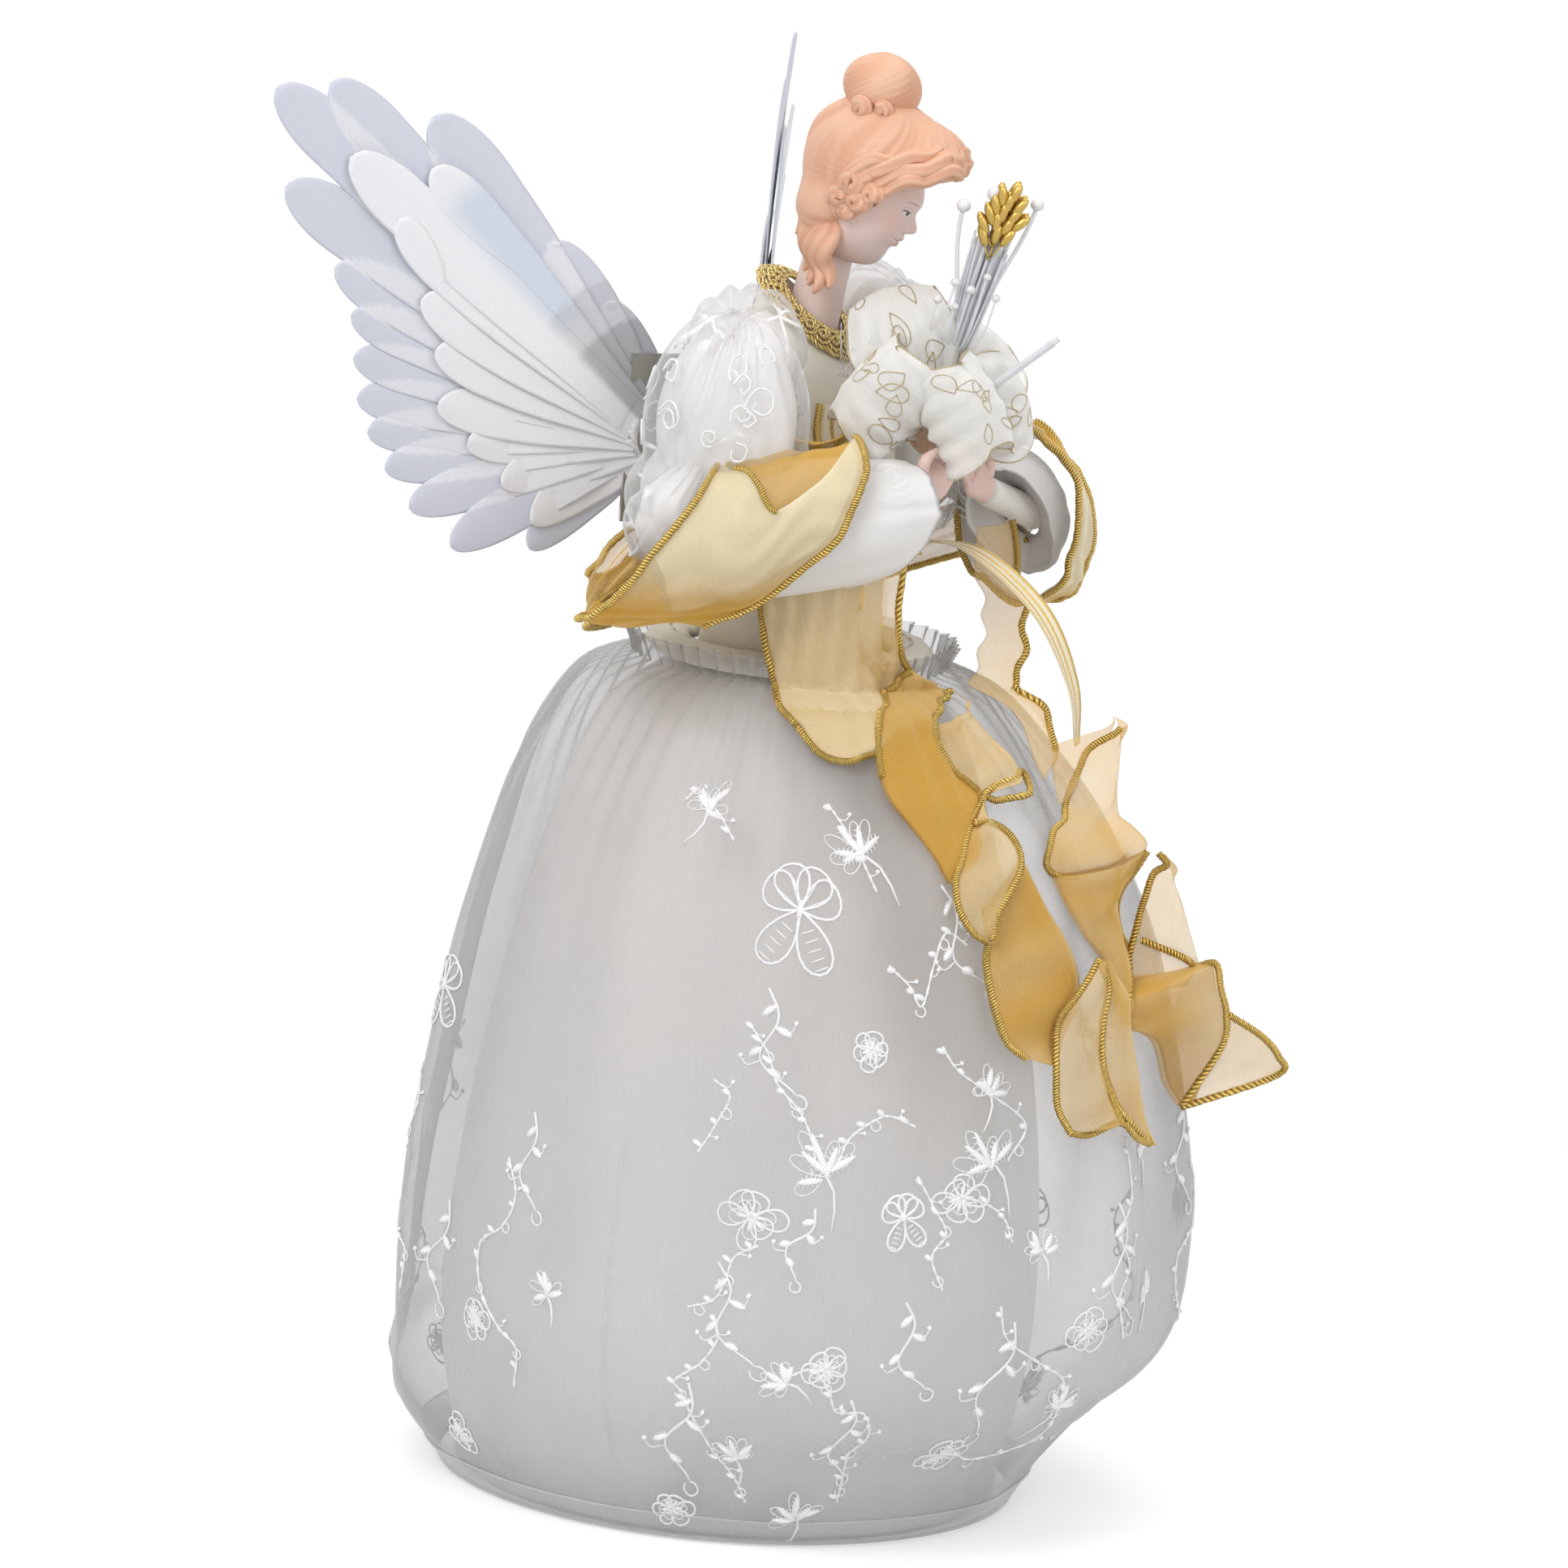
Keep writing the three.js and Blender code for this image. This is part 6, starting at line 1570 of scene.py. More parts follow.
# Columns of a wrap, and those that its two facings and its near lining cover.
WRAP_COLUMNS = 144
FAR_FACING, LOW_FACING, NEAR_LINING = slice(0, 43), slice(35, 101), slice(0, 38)


def wrap_points(sizes, arm, growth, notch_drop=0):
    """A wrap: between an elbow rim and a wrist rim, hung round the forearm from the near top to the far top."""
    across = np.linspace(0, 1, 80)[:, None]
    part = np.linspace(0, 1, WRAP_COLUMNS)[None, :]
    notch = table_at(WRAP_NOTCH, across) if arm["side"] < 0 else 74 + 16 * np.cos(TURN * across)
    degrees = lerp(notch + notch_drop * np.sin(np.pi * across), -266.0, part)
    rims = np.array(WRAP_RIMS[arm["name"]], float)[::-1]
    low, high = (np.interp(degrees, rims[:, 0], rims[:, column]) for column in (1, 2))
    along = lerp(low, high, across)
    angle = degrees * DEG
    size = table_at(WRAP_SHARES, along) * sizes.sleeve_radius
    lines = wobble(51 + arm["side"], 1.0, 2.4 * np.cos(angle), 2.4 * np.sin(angle), 5 * along)
    hang = np.sin(5 * angle + 7 * across + 2.2 * lines)
    near_edge = np.exp(-((degrees - notch) / 30) ** 2)
    creases = 0.012 * np.sin(13 * angle - 9 * across + 4 * lines)
    size = size * (1 + 0.05 * lines + 0.03 * hang + creases - 0.05 * near_edge) + growth
    if arm["side"] > 0:
        size = size * (1 + 0.3 * np.exp(-(((degrees + 266) / 26) ** 2)) * smooth(across, 0.5, 0.05))
    return round_forearm(arm, along, angle, size, 1 - along, WRAP_FLATNESS), degrees


def make_wraps(sizes, colours, cloth, cord, satin):
    """The shawl's two wraps: each hangs round a forearm like a sling, its near side cut in a V."""
    for arm in ARMS:
        name = arm["name"]
        points, degrees = wrap_points(sizes, arm, WRAP_EASE)
        doubled = smooth(-degrees, 5, 50) * smooth(degrees, -150, -110) + smooth(-degrees, 200, 225)
        paint = gold_paint(colours, lerp(-0.7, 1.1, np.clip(doubled, 0, 1)))
        shape = Shape().grid(points, (120.0, 46.0), paint=paint)
        piece = shape.make(
            f"shawl_{name}_wrap_cloth", cloth, slot="gold_organza", replaces=[f"shawl_{name}_wrap"],
            thickness=sizes.cloth,
        )
        edges = Shape()
        for row in (0, -1):
            edge_cord(edges, points[row], sizes.cord)
        edge_cord(edges, points[: len(points) * 11 // 20, 0], sizes.cord * 0.9)
        sewn_on = [edges.make(f"shawl_{name}_wrap_cord", cord, slot="gold_braid")]
        under = wrap_points(sizes, arm, 0.3 * MM)[0]
        if arm["side"] < 0:
            far = wrap_points(sizes, arm, 0.1 * MM, notch_drop=58)[0]
            facing = Shape()
            for part in (far[:, FAR_FACING], under[:, LOW_FACING]):
                facing.grid(part, (46.0, 40.0), paint=gold_paint(colours, np.ones(part.shape[:2])))
            sewn_on.append(facing.make("right_wrap_facing", cloth, slot="gold_organza", thickness=sizes.cloth))
            under = under[:, NEAR_LINING]
        lining = Shape().grid(under[4:-4], (110.0, 40.0))
        sewn_on.append(lining.make(f"{name}_wrap_lining", satin, slot="ivory_satin", thickness=sizes.cloth))


def make_back(sizes, colours, cloth, cord):
    """The shawl's length behind the back, from elbow to elbow."""
    low, high = corners("shawl_back")
    ends = [body_place(arm["elbow"]) for arm in ARMS]
    middle = (high[2] - low[2]) / 2
    drop = ends[0][2] - low[2] - middle * 0.47
    route = spline(
        [
            ends[0],
            (-59.3 * MM, 26.7 * MM, ends[0][2] - drop * 0.88),
            (0, 38.7 * MM, ends[0][2] - drop),
            (51.6 * MM, 19.4 * MM, ends[1][2] - drop * 0.88),
            ends[1],
        ],
        160,
    )
    across = np.linspace(-1, 1, 21)
    step = np.linspace(0, 1, 160)
    outward = away(route)
    fold = 1.0 * MM * np.sin(7 * across[None] + 5 * wobble(61, 7.0, step)[:, None]) + 0.6 * MM
    wave = 1.1 * MM * np.sin(16 * step)[:, None]
    points = route[:, None] + outward[:, None] * fold[..., None]
    points[..., 2] += across[None] * 7.2 * MM + wave
    deep = np.broadcast_to(0.55 + 0.3 * np.sin(5 * across + 9 * step[:, None]), points.shape[:2])
    shape = Shape().grid(points, (15.0, path_length(route) / MM), paint=gold_paint(colours, deep))
    piece = shape.make(
        "shawl_back_cloth", cloth, slot="gold_organza", replaces=["shawl_back"], thickness=sizes.cloth
    )
    edges = Shape()
    for column in (0, -1):
        edge_cord(edges, points[:, column], sizes.cord)
    cords = edges.make("shawl_back_cord", cord, slot="gold_braid")


def make_shawl(sizes, colours):
    """All of the shawl."""
    cloth = sheer_material("Gold organza", None, cover=0.33, grazing=0.9, threads=2.0)
    cord = cord_material("Gold cord", colours.gold)
    satin = satin_material("Shawl lining satin", (0.90, 0.88, 0.83), threads=2.4, sheen=0.3)
    make_wraps(sizes, colours, cloth, cord, satin)
    make_back(sizes, colours, cloth, cord)
    make_tails(sizes, colours, cloth, cord, satin)


# Striped ribbon: the sash down the chest, its bow and its free end

BOW_ASIDE_SHARE = 0.35
BOW_HEIGHT_SHARE = 0.56
# Places of the streamer after the knot, as shares of the body.
STREAMER_SHARES = [[0.42, -2.5, 0.56], [0.66, -3.4, 0.36], [0.84, -3.85, 0.08], [0.86, -4, -0.16]]
RIBBON_WIDTH = 7 * MM


def ribbon_material(colours):
    """Ivory ribbon with gold stripes along it and ribs across it."""
    made, tree, shader, place = new_material("Striped ribbon", Roughness=0.38, Sheen_Weight=0.3)
    split = add_node(tree, "ShaderNodeSeparateXYZ", {0: place["UV"]}).outputs
    stripes = math_node(tree, "SINE", math_node(tree, "MULTIPLY", split[0], TURN * 3.5))
    band = map_range(tree, stripes, 0.1, 0.5)
    ribs = math_node(tree, "SINE", math_node(tree, "MULTIPLY", split[1], TURN * 1.6))
    mottle = mottled(tree, place, 150.0)
    gold = tuple(channel * 1.15 for channel in colours.gold)
    ivory = tinted(tree, mottle["Value"], colours.ribbon, 0.92, 1.08)
    gilt = tinted(tree, mottle["Fine"], gold, 0.7, 1.4)
    feed(tree, shader, Base_Color=mix_colour(tree, band, ivory, gilt))
    feed(tree, shader, Metallic=math_node(tree, "MULTIPLY", band, 0.5))
    bump(tree, shader, math_node(tree, "MULTIPLY_ADD", ribs, 0.5, band), 0.1 * MM, 0.5)
    return made


def ribbon_strip(path, width, side, curl=0.0):
    """A strip along a path, spread along a side direction, with its edges curled off the path."""
    across = np.linspace(-1, 1, 9)
    side = np.broadcast_to(unit(side), path.shape)
    normal = unit(np.cross(tangents(path), side))
    spread = across[None, :, None] * side[:, None] * width / 2
    return path[:, None] + spread + normal[:, None] * (curl * across**2)[None, :, None]


def make_ribbons(sizes, colours):
    """The chest sash, the bow and the streamer."""
    striped = ribbon_material(colours)
    angle = np.linspace(-125, -92, 30) * DEG
    rings = spline(body_rings(3.2 * MM, angle), 60)[8:40]
    folds = 0.45 * MM * np.sin(np.linspace(0, 9 * np.pi, 30))[None, :, None]
    rings = rings + away(rings) * folds
    gilt = cord_material("Sash gilt", colours.gold, turns=0.8)
    sash = Shape().grid(rings, (1.0, 60.0))
    piece = sash.make("chest_sash_cloth", striped, slot="striped_ribbon", replaces=["chest_sash"], thickness=0.5 * MM)
    edges = Shape()
    for column in (0, 10, 19, -1):
        edges.rod(rings[:, column], 0.45 * MM, 6)
    edges.make("chest_sash_edges", gilt, slot="gold_braid")
    make_bow(striped)


def bow_centre():
    """The knot's place on the front of the bodice."""
    width = table_at(TORSO_SHARES, BOW_HEIGHT_SHARE, 1) * TORSO_HALF_WIDTH + CLOTH_OFF_BODY
    depth = table_at(TORSO_SHARES, BOW_HEIGHT_SHARE, 2) * TORSO_HALF_DEPTH + CLOTH_OFF_BODY
    front = depth * np.sqrt(1 - BOW_ASIDE_SHARE**2)
    height = TORSO_BASE + BOW_HEIGHT_SHARE * TORSO_HEIGHT
    return np.array([BOW_ASIDE_SHARE * width, -front - RIBBON_WIDTH / 2 - 0.3 * MM, height])


def make_bow(striped):
    """A soft bow: two loops of ribbon, a wound knot and a streamer that falls to the skirt."""
    centre = bow_centre()
    bow = Shape()
    turn = np.linspace(0.15, TURN - 0.15, 40)
    for side, size, tilt in ((-1, 1.0, 0.3), (1, 1.0, -0.2), (1, 0.75, 0.75)):
        out = (1 - np.cos(turn)) / 2 * 11 * MM * size
        thick = np.sin(turn) * 2.4 * MM * size
        path = centre + np.stack([side * out, -thick - 1.0 * MM, out * tilt], -1)
        bow.grid(ribbon_strip(path, RIBBON_WIDTH * size, (0.2 * side, 0, 1), 0.5 * MM), (1.0, 30.0))
    bow.make("sash_bow_loops", striped, slot="striped_ribbon", thickness=0.35 * MM)
    knot = Shape()
    around = np.linspace(0, TURN, 30, endpoint=False)
    wound = centre + np.stack([2.6 * MM * np.cos(around), -0.5 * MM - 2.8 * MM * np.sin(around), 0 * around], -1)
    strip = ribbon_strip(wound, 5.5 * MM, (0, 0, 1), -0.7 * MM)
    knot.grid(strip, (1.0, 18.0), wrap_rows=True)
    knot.make(
        "sash_bow_knot", striped, slot="striped_ribbon", replaces=["sash_bow"], thickness=0.6 * MM
    )
    start = centre - np.array([0, (RIBBON_WIDTH * 0.86 + 1.2 * MM) / 2, 0])
    streamer = Shape()
    route = spline([start, *[body_place(shares) for shares in STREAMER_SHARES]], 90)
    twist = np.linspace(1.0, -0.45, 90)
    side = np.stack([np.cos(twist), -np.sin(twist), 0.1 * np.sin(4 * twist)], -1)
    streamer.grid(ribbon_strip(route, RIBBON_WIDTH, side, 0.8 * MM), (1.0, path_length(route) / MM))
    streamer.make(
        "sash_streamer_cloth", striped, slot="striped_ribbon", replaces=["sash_streamer"], thickness=0.3 * MM
    )


# Wings: two layers of film feathers on each

# Rows of angle in degrees, length share and width share, from the leading edge down.
BACK_FEATHERS = [
    [67, 0.27, 1.2],
    [58, 0.42, 1.2],
    [51, 0.75, 1.25],
    [43.6, 0.93, 1],
    [39, 1, 1],
    [31.3, 0.87, 1.05],
    [25.6, 0.705, 0.95],
    [20.1, 0.635, 0.85],
    [13.4, 0.6, 0.85],
    [6.4, 0.573, 0.85],
    [0, 0.543, 0.85],
    [-7.5, 0.508, 0.85],
    [-17.2, 0.472, 0.85],
    [-30.2, 0.421, 0.9],
    [-46, 0.3, 0.9],
]
FRONT_FEATHERS = [
    [46.2, 0.68, 0.95],
    [39, 0.81, 1],
    [36.3, 0.66, 1],
    [28.2, 0.533, 0.95],
    [19.8, 0.46, 0.9],
    [7.2, 0.42, 0.9],
    [-3.2, 0.351, 0.9],
    [-18.4, 0.293, 0.9],
    [-38, 0.269, 0.9],
]
# How far the wings sweep back, the fan's centre off the hinge, where the feathers start and how they bow.
WING_SWEEP = 31 * DEG
WING_FAN = np.array([18, 61]) * MM
WING_ROOT = 6 * MM
WING_BOW = -10 * MM
HINGES = {joint["child"]: np.array(joint["pos_m"]) for joint in frame["joints"] if joint["type"] == "hinge"}


def feather_half_width(sizes, feather, along):
    """Half the width of a feather at a distance from the fan's centre: a straight shaft, an elliptical tip."""
    half = feather[2] * sizes.feather_half_width
    tip = 2.6 * half
    shaft = feather[1] * sizes.wing_length - tip
    round_tip = np.sqrt(np.clip(1 - ((along - shaft) / tip) ** 2, 0, 1))
    narrow = 0.62 + 0.38 * smooth(along / shaft, 0.1, 0.85)
    return half * np.where(along > shaft, round_tip, narrow)


def layers_over(sizes, feathers, spots):
    """How many of the feathers cover each place of the wing's plane, with an edge of half a millimetre."""
    total = np.zeros(spots.shape[:-1])
    for feather in feathers:
        axis, across = plane_axes(feather[0])
        along, aside = spots @ axis, np.abs(spots @ across)
        half = feather_half_width(sizes, feather, along)
        inside = smooth(half - aside, -0.15 * MM, 0.35 * MM)
        total += inside * (along > 0) * (along < feather[1] * sizes.wing_length)
    return total


def film_paint(sizes, colours, spots, front):
    """The film's colour: grey-blue in one layer, paler in many, warm near the root, blue on the leading edge."""
    single, many = np.array(colours.film_single), np.array(colours.film_many)
    layers = layers_over(sizes, BACK_FEATHERS, spots) + 0.8 * layers_over(sizes, FRONT_FEATHERS, spots)
    reach = np.linalg.norm(spots, axis=-1)
    paint = lerp(single, many, smooth(layers + 0.9 * front, 0.9, 2.7)[..., None])
    paint = dab(paint, [0.84, 0.82, 0.83], 0.55 * front * smooth(reach, 70 * MM, 30 * MM))
    direction = np.arctan2(spots[..., 1], spots[..., 0])
    lead = smooth(direction, 40 * DEG, 47 * DEG)
    pane = lead * smooth(reach, 38 * MM, 46 * MM) * smooth(reach, 96 * MM, 86 * MM)
    paint = dab(paint, [0.62, 0.68, 0.79], 0.85 * pane * front)
    first = lead * smooth(reach, 47 * MM, 46.4 * MM)
    second = lead * smooth(reach, 34 * MM, 33.4 * MM)
    paint = dab(paint, [0.52, 0.53, 0.57], 0.6 * first)
    paint = dab(paint, [0.40, 0.41, 0.43], 0.7 * second)
    return np.clip(paint, 0, 1)


def film_material():
    """Frosted film: the painted colour, a satin gloss, fine grain and a little light through it."""
    made, tree, shader, place = new_material(
        "Feather film", Roughness=0.38, Specular_IOR_Level=0.4, Subsurface_Weight=0.25, Alpha=0.94
    )
    shader.inputs["Subsurface Radius"].default_value = (1.2 * MM, 1.2 * MM, 1.3 * MM)
    paint = painted(tree)
    mottle = mottled(tree, place, 120.0)
    grain = math_node(tree, "MULTIPLY_ADD", mottle["Fine"], 0.16, 0.92)
    grey = add_node(tree, "ShaderNodeCombineXYZ", {0: grain, 1: grain, 2: grain}).outputs[0]
    feed(tree, shader, Base_Color=mix_colour(tree, 1.0, paint, grey, "MULTIPLY"))
    feed(tree, shader, Roughness=math_node(tree, "MULTIPLY_ADD", mottle["Value"], 0.25, 0.27))
    bump(tree, shader, mottle["Fine"], 0.05 * MM, 0.25)
    return made


def wing_place(side, spots, offset):
    """From the wing's own plane, fan centre at its origin, to the figure's frame."""
    sweep = np.pi - WING_SWEEP if side < 0 else WING_SWEEP
    out, across = np.array([np.cos(sweep), np.sin(sweep), 0]), np.array([-np.sin(sweep), np.cos(sweep), 0])
    hinge = HINGES["right_wing" if side < 0 else "left_wing"] * [1, 1, 0] + [0, 0, TORSO_BASE]
    local = spots + WING_FAN
    return (
        hinge
        + local[..., :1] * out
        + local[..., 1:] * UPWARD
        + (offset * -side)[..., None] * across
    )


def make_wings(sizes, colours):
    """The feathers of both wings: each is a long leaf of film that lies a little over the next one."""
    film = film_material()
    for side, name in ((-1, "right"), (1, "left")):
        for layer, feathers, base in (("back", BACK_FEATHERS, 0.9), ("front", FRONT_FEATHERS, 2.9)):
            shape = Shape()
            for number, feather in enumerate(feathers):
                part = np.linspace(0, 1, 64) ** 0.9
                along = lerp(WING_ROOT, feather[1] * sizes.wing_length * 0.9995, part)[:, None]
                across = np.linspace(-1, 1, 17)[None, :]
                half = feather_half_width(sizes, feather, along)
                axis, beside = plane_axes(feather[0])
                spots = along[..., None] * axis + (across * half)[..., None] * beside
                order = number if layer == "front" else abs(number - 4)
                cup = 0.5 * MM * (1 - across**2) * smooth(part, 0.2, 0.9)[:, None]
                lower = smooth(np.full((len(part), 1), -feather[0]), -50, 10)
                bow = WING_BOW * (0.35 + 0.65 * lower) * np.sin(0.62 * np.pi * part)[:, None]
                offset = (base + 0.12 * order) * MM + cup + bow + 0.25 * MM * across * smooth(part, 0.1, 0.6)[:, None]
                paint = film_paint(sizes, colours, spots, float(layer == "front"))
                points = wing_place(side, spots, offset)
                shape.grid(points, (2 * feather[2] * 8.0, along[-1, 0] / MM), paint=paint)
            shape.make(
                f"{name}_wing_{layer}_feathers", film, body=f"{name}_wing", slot="feather_film",
                replaces=[f"{name}_wing_{layer}_sheet"], thickness=sizes.film,
            )


# Bust: head, hair, neck and shoulder plate

# The head's centre, how far it nods and turns, and the ellipsoid of the face.
HEAD_CENTRE = np.array([3 * MM, -15 * MM, TORSO_BASE + 136 * MM])
HEAD_NOD = 38 * DEG
HEAD_TURN = 26 * DEG
# Height in millimetres of the head that the tables of the face and the hair describe.
HEAD_MODELLED = 40
HAIR_BLEND = 16
FACE_CENTRE = np.array([0, -0.5, -4.5])
FACE_HALF = np.array([11.2, 12.6, 18.0])

# Rows of angle round from the face's middle, angle up, their spreads in degrees and height in
# millimetres. A row with an angle round stands for both sides of the face.
FACE_FORMS = [
    [0, 26, 26, 10, 0.6],
    [0, 5, 7, 4, 0.2],
    [0, -3.5, 5.5, 4.5, 1.5],
    [0, -9.0, 7.5, 4.4, 1.7],
    [11, -12, 5, 3, 0.8],
    [0, -16.5, 9, 2.2, -0.4],
    [0, -25, 24, 9, 1.1],
    [0, -22.3, 13, 2.2, 0.55],
    [0, -26.0, 15, 0.9, -0.6],
    [0, -29.8, 11, 2.4, 0.6],
    [0, -37, 12, 3.2, -0.5],
    [0, -50, 17, 9, 2.7],
    [0, -66, 26, 10, 1.0],
    [26, 18, 17, 5, 0.5],
    [29, 8, 13, 7, -1.0],
    [28, 7, 8, 4.5, 0.9],
    [52, -16, 20, 15, 0.7],
    [62, -45, 22, 14, 0.8],
]
# Rows of centre and half sizes of the hair's masses, in shares of the head's height.
HAIR_MASSES = [
    [0, 0.1, 0.1, 0.44, 0.54, 0.49],
    [0, -0.14, 0.3, 0.36, 0.30, 0.325],
    [0, 0.2, -0.26, 0.36, 0.22, 0.28],
    [0, 0.04, -0.5, 0.26, 0.19, 0.25],
]
BUN = np.array([0, 0.45, 0.525, 0.25, 0.27, 0.24])
# Rows of angle round and angle up of the hair's edge on one side of the face.
HAIRLINE = [
    [0, 49],
    [16, 49],
    [30, 46],
    [46, 41],
    [60, 35],
    [72, 24],
    [82, 6],
    [88, -14],
    [92, -36],
    [102, -58],
    [130, -70],
    [180, -74],
]
# World down in the head's frame: hanging hair follows it.
HANGING = np.array([0, -np.sin(HEAD_NOD), -np.cos(HEAD_NOD)])


def head_place(points):
    """From the head's own frame, face towards -Y, to the figure's frame: nodded, then turned."""
    nodded = turned(points, ASIDE, HEAD_NOD)
    return HEAD_CENTRE + turned(nodded, UPWARD, HEAD_TURN)


def head_direction(around, up):
    """Unit directions in the head's frame from an angle round from the face and an angle up."""
    level = np.cos(up)
    return np.stack([np.sin(around) * level, -np.cos(around) * level, np.sin(up) * np.ones_like(around)], -1)


def face_reach(around, up):
    """The face in millimetres from the head's middle: an ellipsoid plus bell-shaped forms."""
    direction = head_direction(around, up)
    reach = reach_in_ball(direction, FACE_CENTRE, FACE_HALF)
    for place, height, spread, rise, amount in FACE_FORMS:
        for side in (-1, 1) if place else (1,):
            off = (np.degrees(around) - side * place) / spread
            reach = reach + amount * np.exp(-0.5 * (off**2 + ((np.degrees(up) - height) / rise) ** 2))
    return reach


def hair_reach(around, up):
    """The hair in millimetres: the blended reach of its masses, raised in strands towards the bun."""
    direction = head_direction(around, up)
    reach = 0
    for mass in np.array(HAIR_MASSES) * HEAD_MODELLED:
        reach = reach + reach_in_ball(direction, mass[:3], mass[3:]) ** HAIR_BLEND
    reach = reach ** (1 / HAIR_BLEND)
    edge = np.interp(np.abs(np.degrees(around)), *np.transpose(HAIRLINE))
    over = np.degrees(up) - edge
    axis = unit(BUN[:3])
    spin = np.arctan2(direction @ ASIDE, direction @ np.cross(axis, ASIDE))
    toward = np.arccos(np.clip(direction @ axis, -1, 1))
    sway = 0.3 * np.sin(2.6 * toward + 1.2) + 0.16 * wobble(71, 1.8, *(direction[..., k] for k in range(3)))
    lines = spin + sway
    near = smooth(toward, 0.25, 0.8)
    broad = wobble(73, 1.0, 6 * lines, 1.5 * toward)
    patches = 0.5 + 0.5 * wobble(75, 1.0, 4 * lines, 5 * toward)
    ridges = 0.16 * np.sin(23 * lines + 2.5 * broad) + 0.07 * np.sin(51 * lines + 2 * toward)
    strands = 0.34 * broad + patches * ridges
    fine = 0.035 * np.sin(120 * lines + 2 * broad)
    curls = 0.55 * np.sin(13 * lines + 6 * toward) * np.exp(-(((over - 10) / 9) ** 2))
    roll = 1.3 * np.exp(-(((over - 10) / 9) ** 2)) * smooth(np.degrees(up), -50, -10)
    roll = roll * (1 - 0.8 * np.exp(-((around / (34 * DEG)) ** 2)))
    lifted = reach + near * (strands + fine) + curls + roll
    inside = face_reach(around, up) - 1.6
    return lerp(inside, np.maximum(lifted, inside), smooth(over, -2.2, 1.6))


def skin_paint(colours, around, up):
    """Painted skin: rosy cheeks, lips, brows, and downcast eyes with dark lash lines."""
    turn, rise = np.abs(np.degrees(around)), np.degrees(up)
    paint = np.broadcast_to(np.array(colours.porcelain), (*turn.shape, 3))
    rose = 0.4 * np.exp(-0.5 * (((turn - 44) / 13) ** 2 + ((rise + 13) / 11) ** 2))
    rose = rose + 0.2 * np.exp(-0.5 * ((turn / 9) ** 2 + ((rise + 9) / 4) ** 2))
    paint = dab(paint, [0.80, 0.40, 0.36], rose)
    bow = 1.1 * np.cos(turn * 0.28) * (turn < 9)
    upper = smooth(rise, -26.4, -25.8) * smooth(-rise, 20.3 - bow, 21.3 - bow)
    lower = smooth(-rise, 26.0, 26.6) * smooth(rise, -32.4, -31.4)
    lips = (upper * smooth(-turn, -15, -11) + lower * smooth(-turn, -12.5, -9)).clip(0, 1)
    paint = dab(paint, colours.lips, 0.75 * lips)
    rise = rise - 8
    eye = ((turn - 28) / 10.4) ** 2 + ((rise + 1.2) / 3.8) ** 2
    white = smooth(-eye, -1.05, -0.85) * smooth(-rise, -0.8, -0.2)
    paint = dab(paint, [0.80, 0.79, 0.77], white)
    iris = np.hypot(turn - 27, (rise + 2.0) * 1.1)
    paint = dab(paint, [0.20, 0.16, 0.11], white * smooth(-iris, -4.0, -3.2))
    paint = dab(paint, [0.01, 0.01, 0.01], white * smooth(-iris, -2.2, -1.5))
    lash_line = np.abs(rise - (1.1 - 0.03 * (turn - 27) ** 2 + 0.05 * (turn - 28)))
    lash = smooth(-lash_line, -1.3, -0.7) * smooth(turn, 17.5, 19.5) * smooth(-turn, -39, -36.5)
    paint = dab(paint, [0.10, 0.05, 0.03], 0.9 * lash)
    crease = np.abs(rise - (5.6 - 0.022 * (turn - 28) ** 2))
    paint = dab(paint, [0.62, 0.38, 0.32], 0.5 * np.exp(-((crease / 0.8) ** 2)) * (np.abs(turn - 28) < 11))
    brow_line = np.abs(rise - (13.5 - 0.012 * (turn - 26) ** 2))
    brow = smooth(-brow_line, -1.3, -0.5) * smooth(turn, 11, 15) * smooth(-turn, -44, -36)
    return dab(paint, [0.36, 0.20, 0.11], 0.6 * brow)


def porcelain_material(name, roughness=0.42):
    """Bisque porcelain: its painted colour, faint mottling, a fine grain and a soft depth."""
    made, tree, shader, place = new_material(name, Subsurface_Weight=0.12, Specular_IOR_Level=0.35)
    shader.inputs["Subsurface Radius"].default_value = (2.4 * MM, 1.2 * MM, 0.8 * MM)
    paint = painted(tree)
    mottle = mottled(tree, place, 160.0)
    shade = tinted(tree, mottle["Value"], (1.0, 1.0, 1.0), 0.93, 1.0)
    rough = math_node(tree, "MULTIPLY_ADD", mottle["Fine"], 0.2, roughness - 0.1)
    feed(tree, shader, Base_Color=mix_colour(tree, 1.0, paint, shade, "MULTIPLY"), Roughness=rough)
    bump(tree, shader, mottle["Fine"], 0.06 * MM, 0.3)
    return made


def hair_colour_and_groove_shade(colours, height):
    """Hair colour: darker and redder in its grooves, paler on its ridges: painted shade and painted light."""
    base = np.array(colours.hair)
    return np.clip(lerp(base * [0.95, 0.88, 0.83], base * [1.03, 1.07, 1.08], height[..., None]), 0, 1)


def head_angles(rows, columns):
    """Angles up and round that crowd together on the face."""
    step = np.linspace(-1, 1, columns, endpoint=False)
    around = np.pi * (0.42 * step + 0.58 * step**3)
    rise = np.linspace(-1, 1, rows)
    up = np.pi / 2 * 0.998 * (0.55 * rise + 0.45 * rise**3)
    return around[None, :], up[:, None]


# Heights of the shoulder plate and the neck, the plate's half width and half depth, and how far back the neck stands.
PLATE_LOW, PLATE_MIDDLE, PLATE_HALF_HEIGHT = 293 * MM, 304.6 * MM, 16 * MM
PLATE_HALF = (26.1 * MM, 14.4 * MM)
NECK_LOW, NECK_BACK = 312 * MM, 3.5 * MM


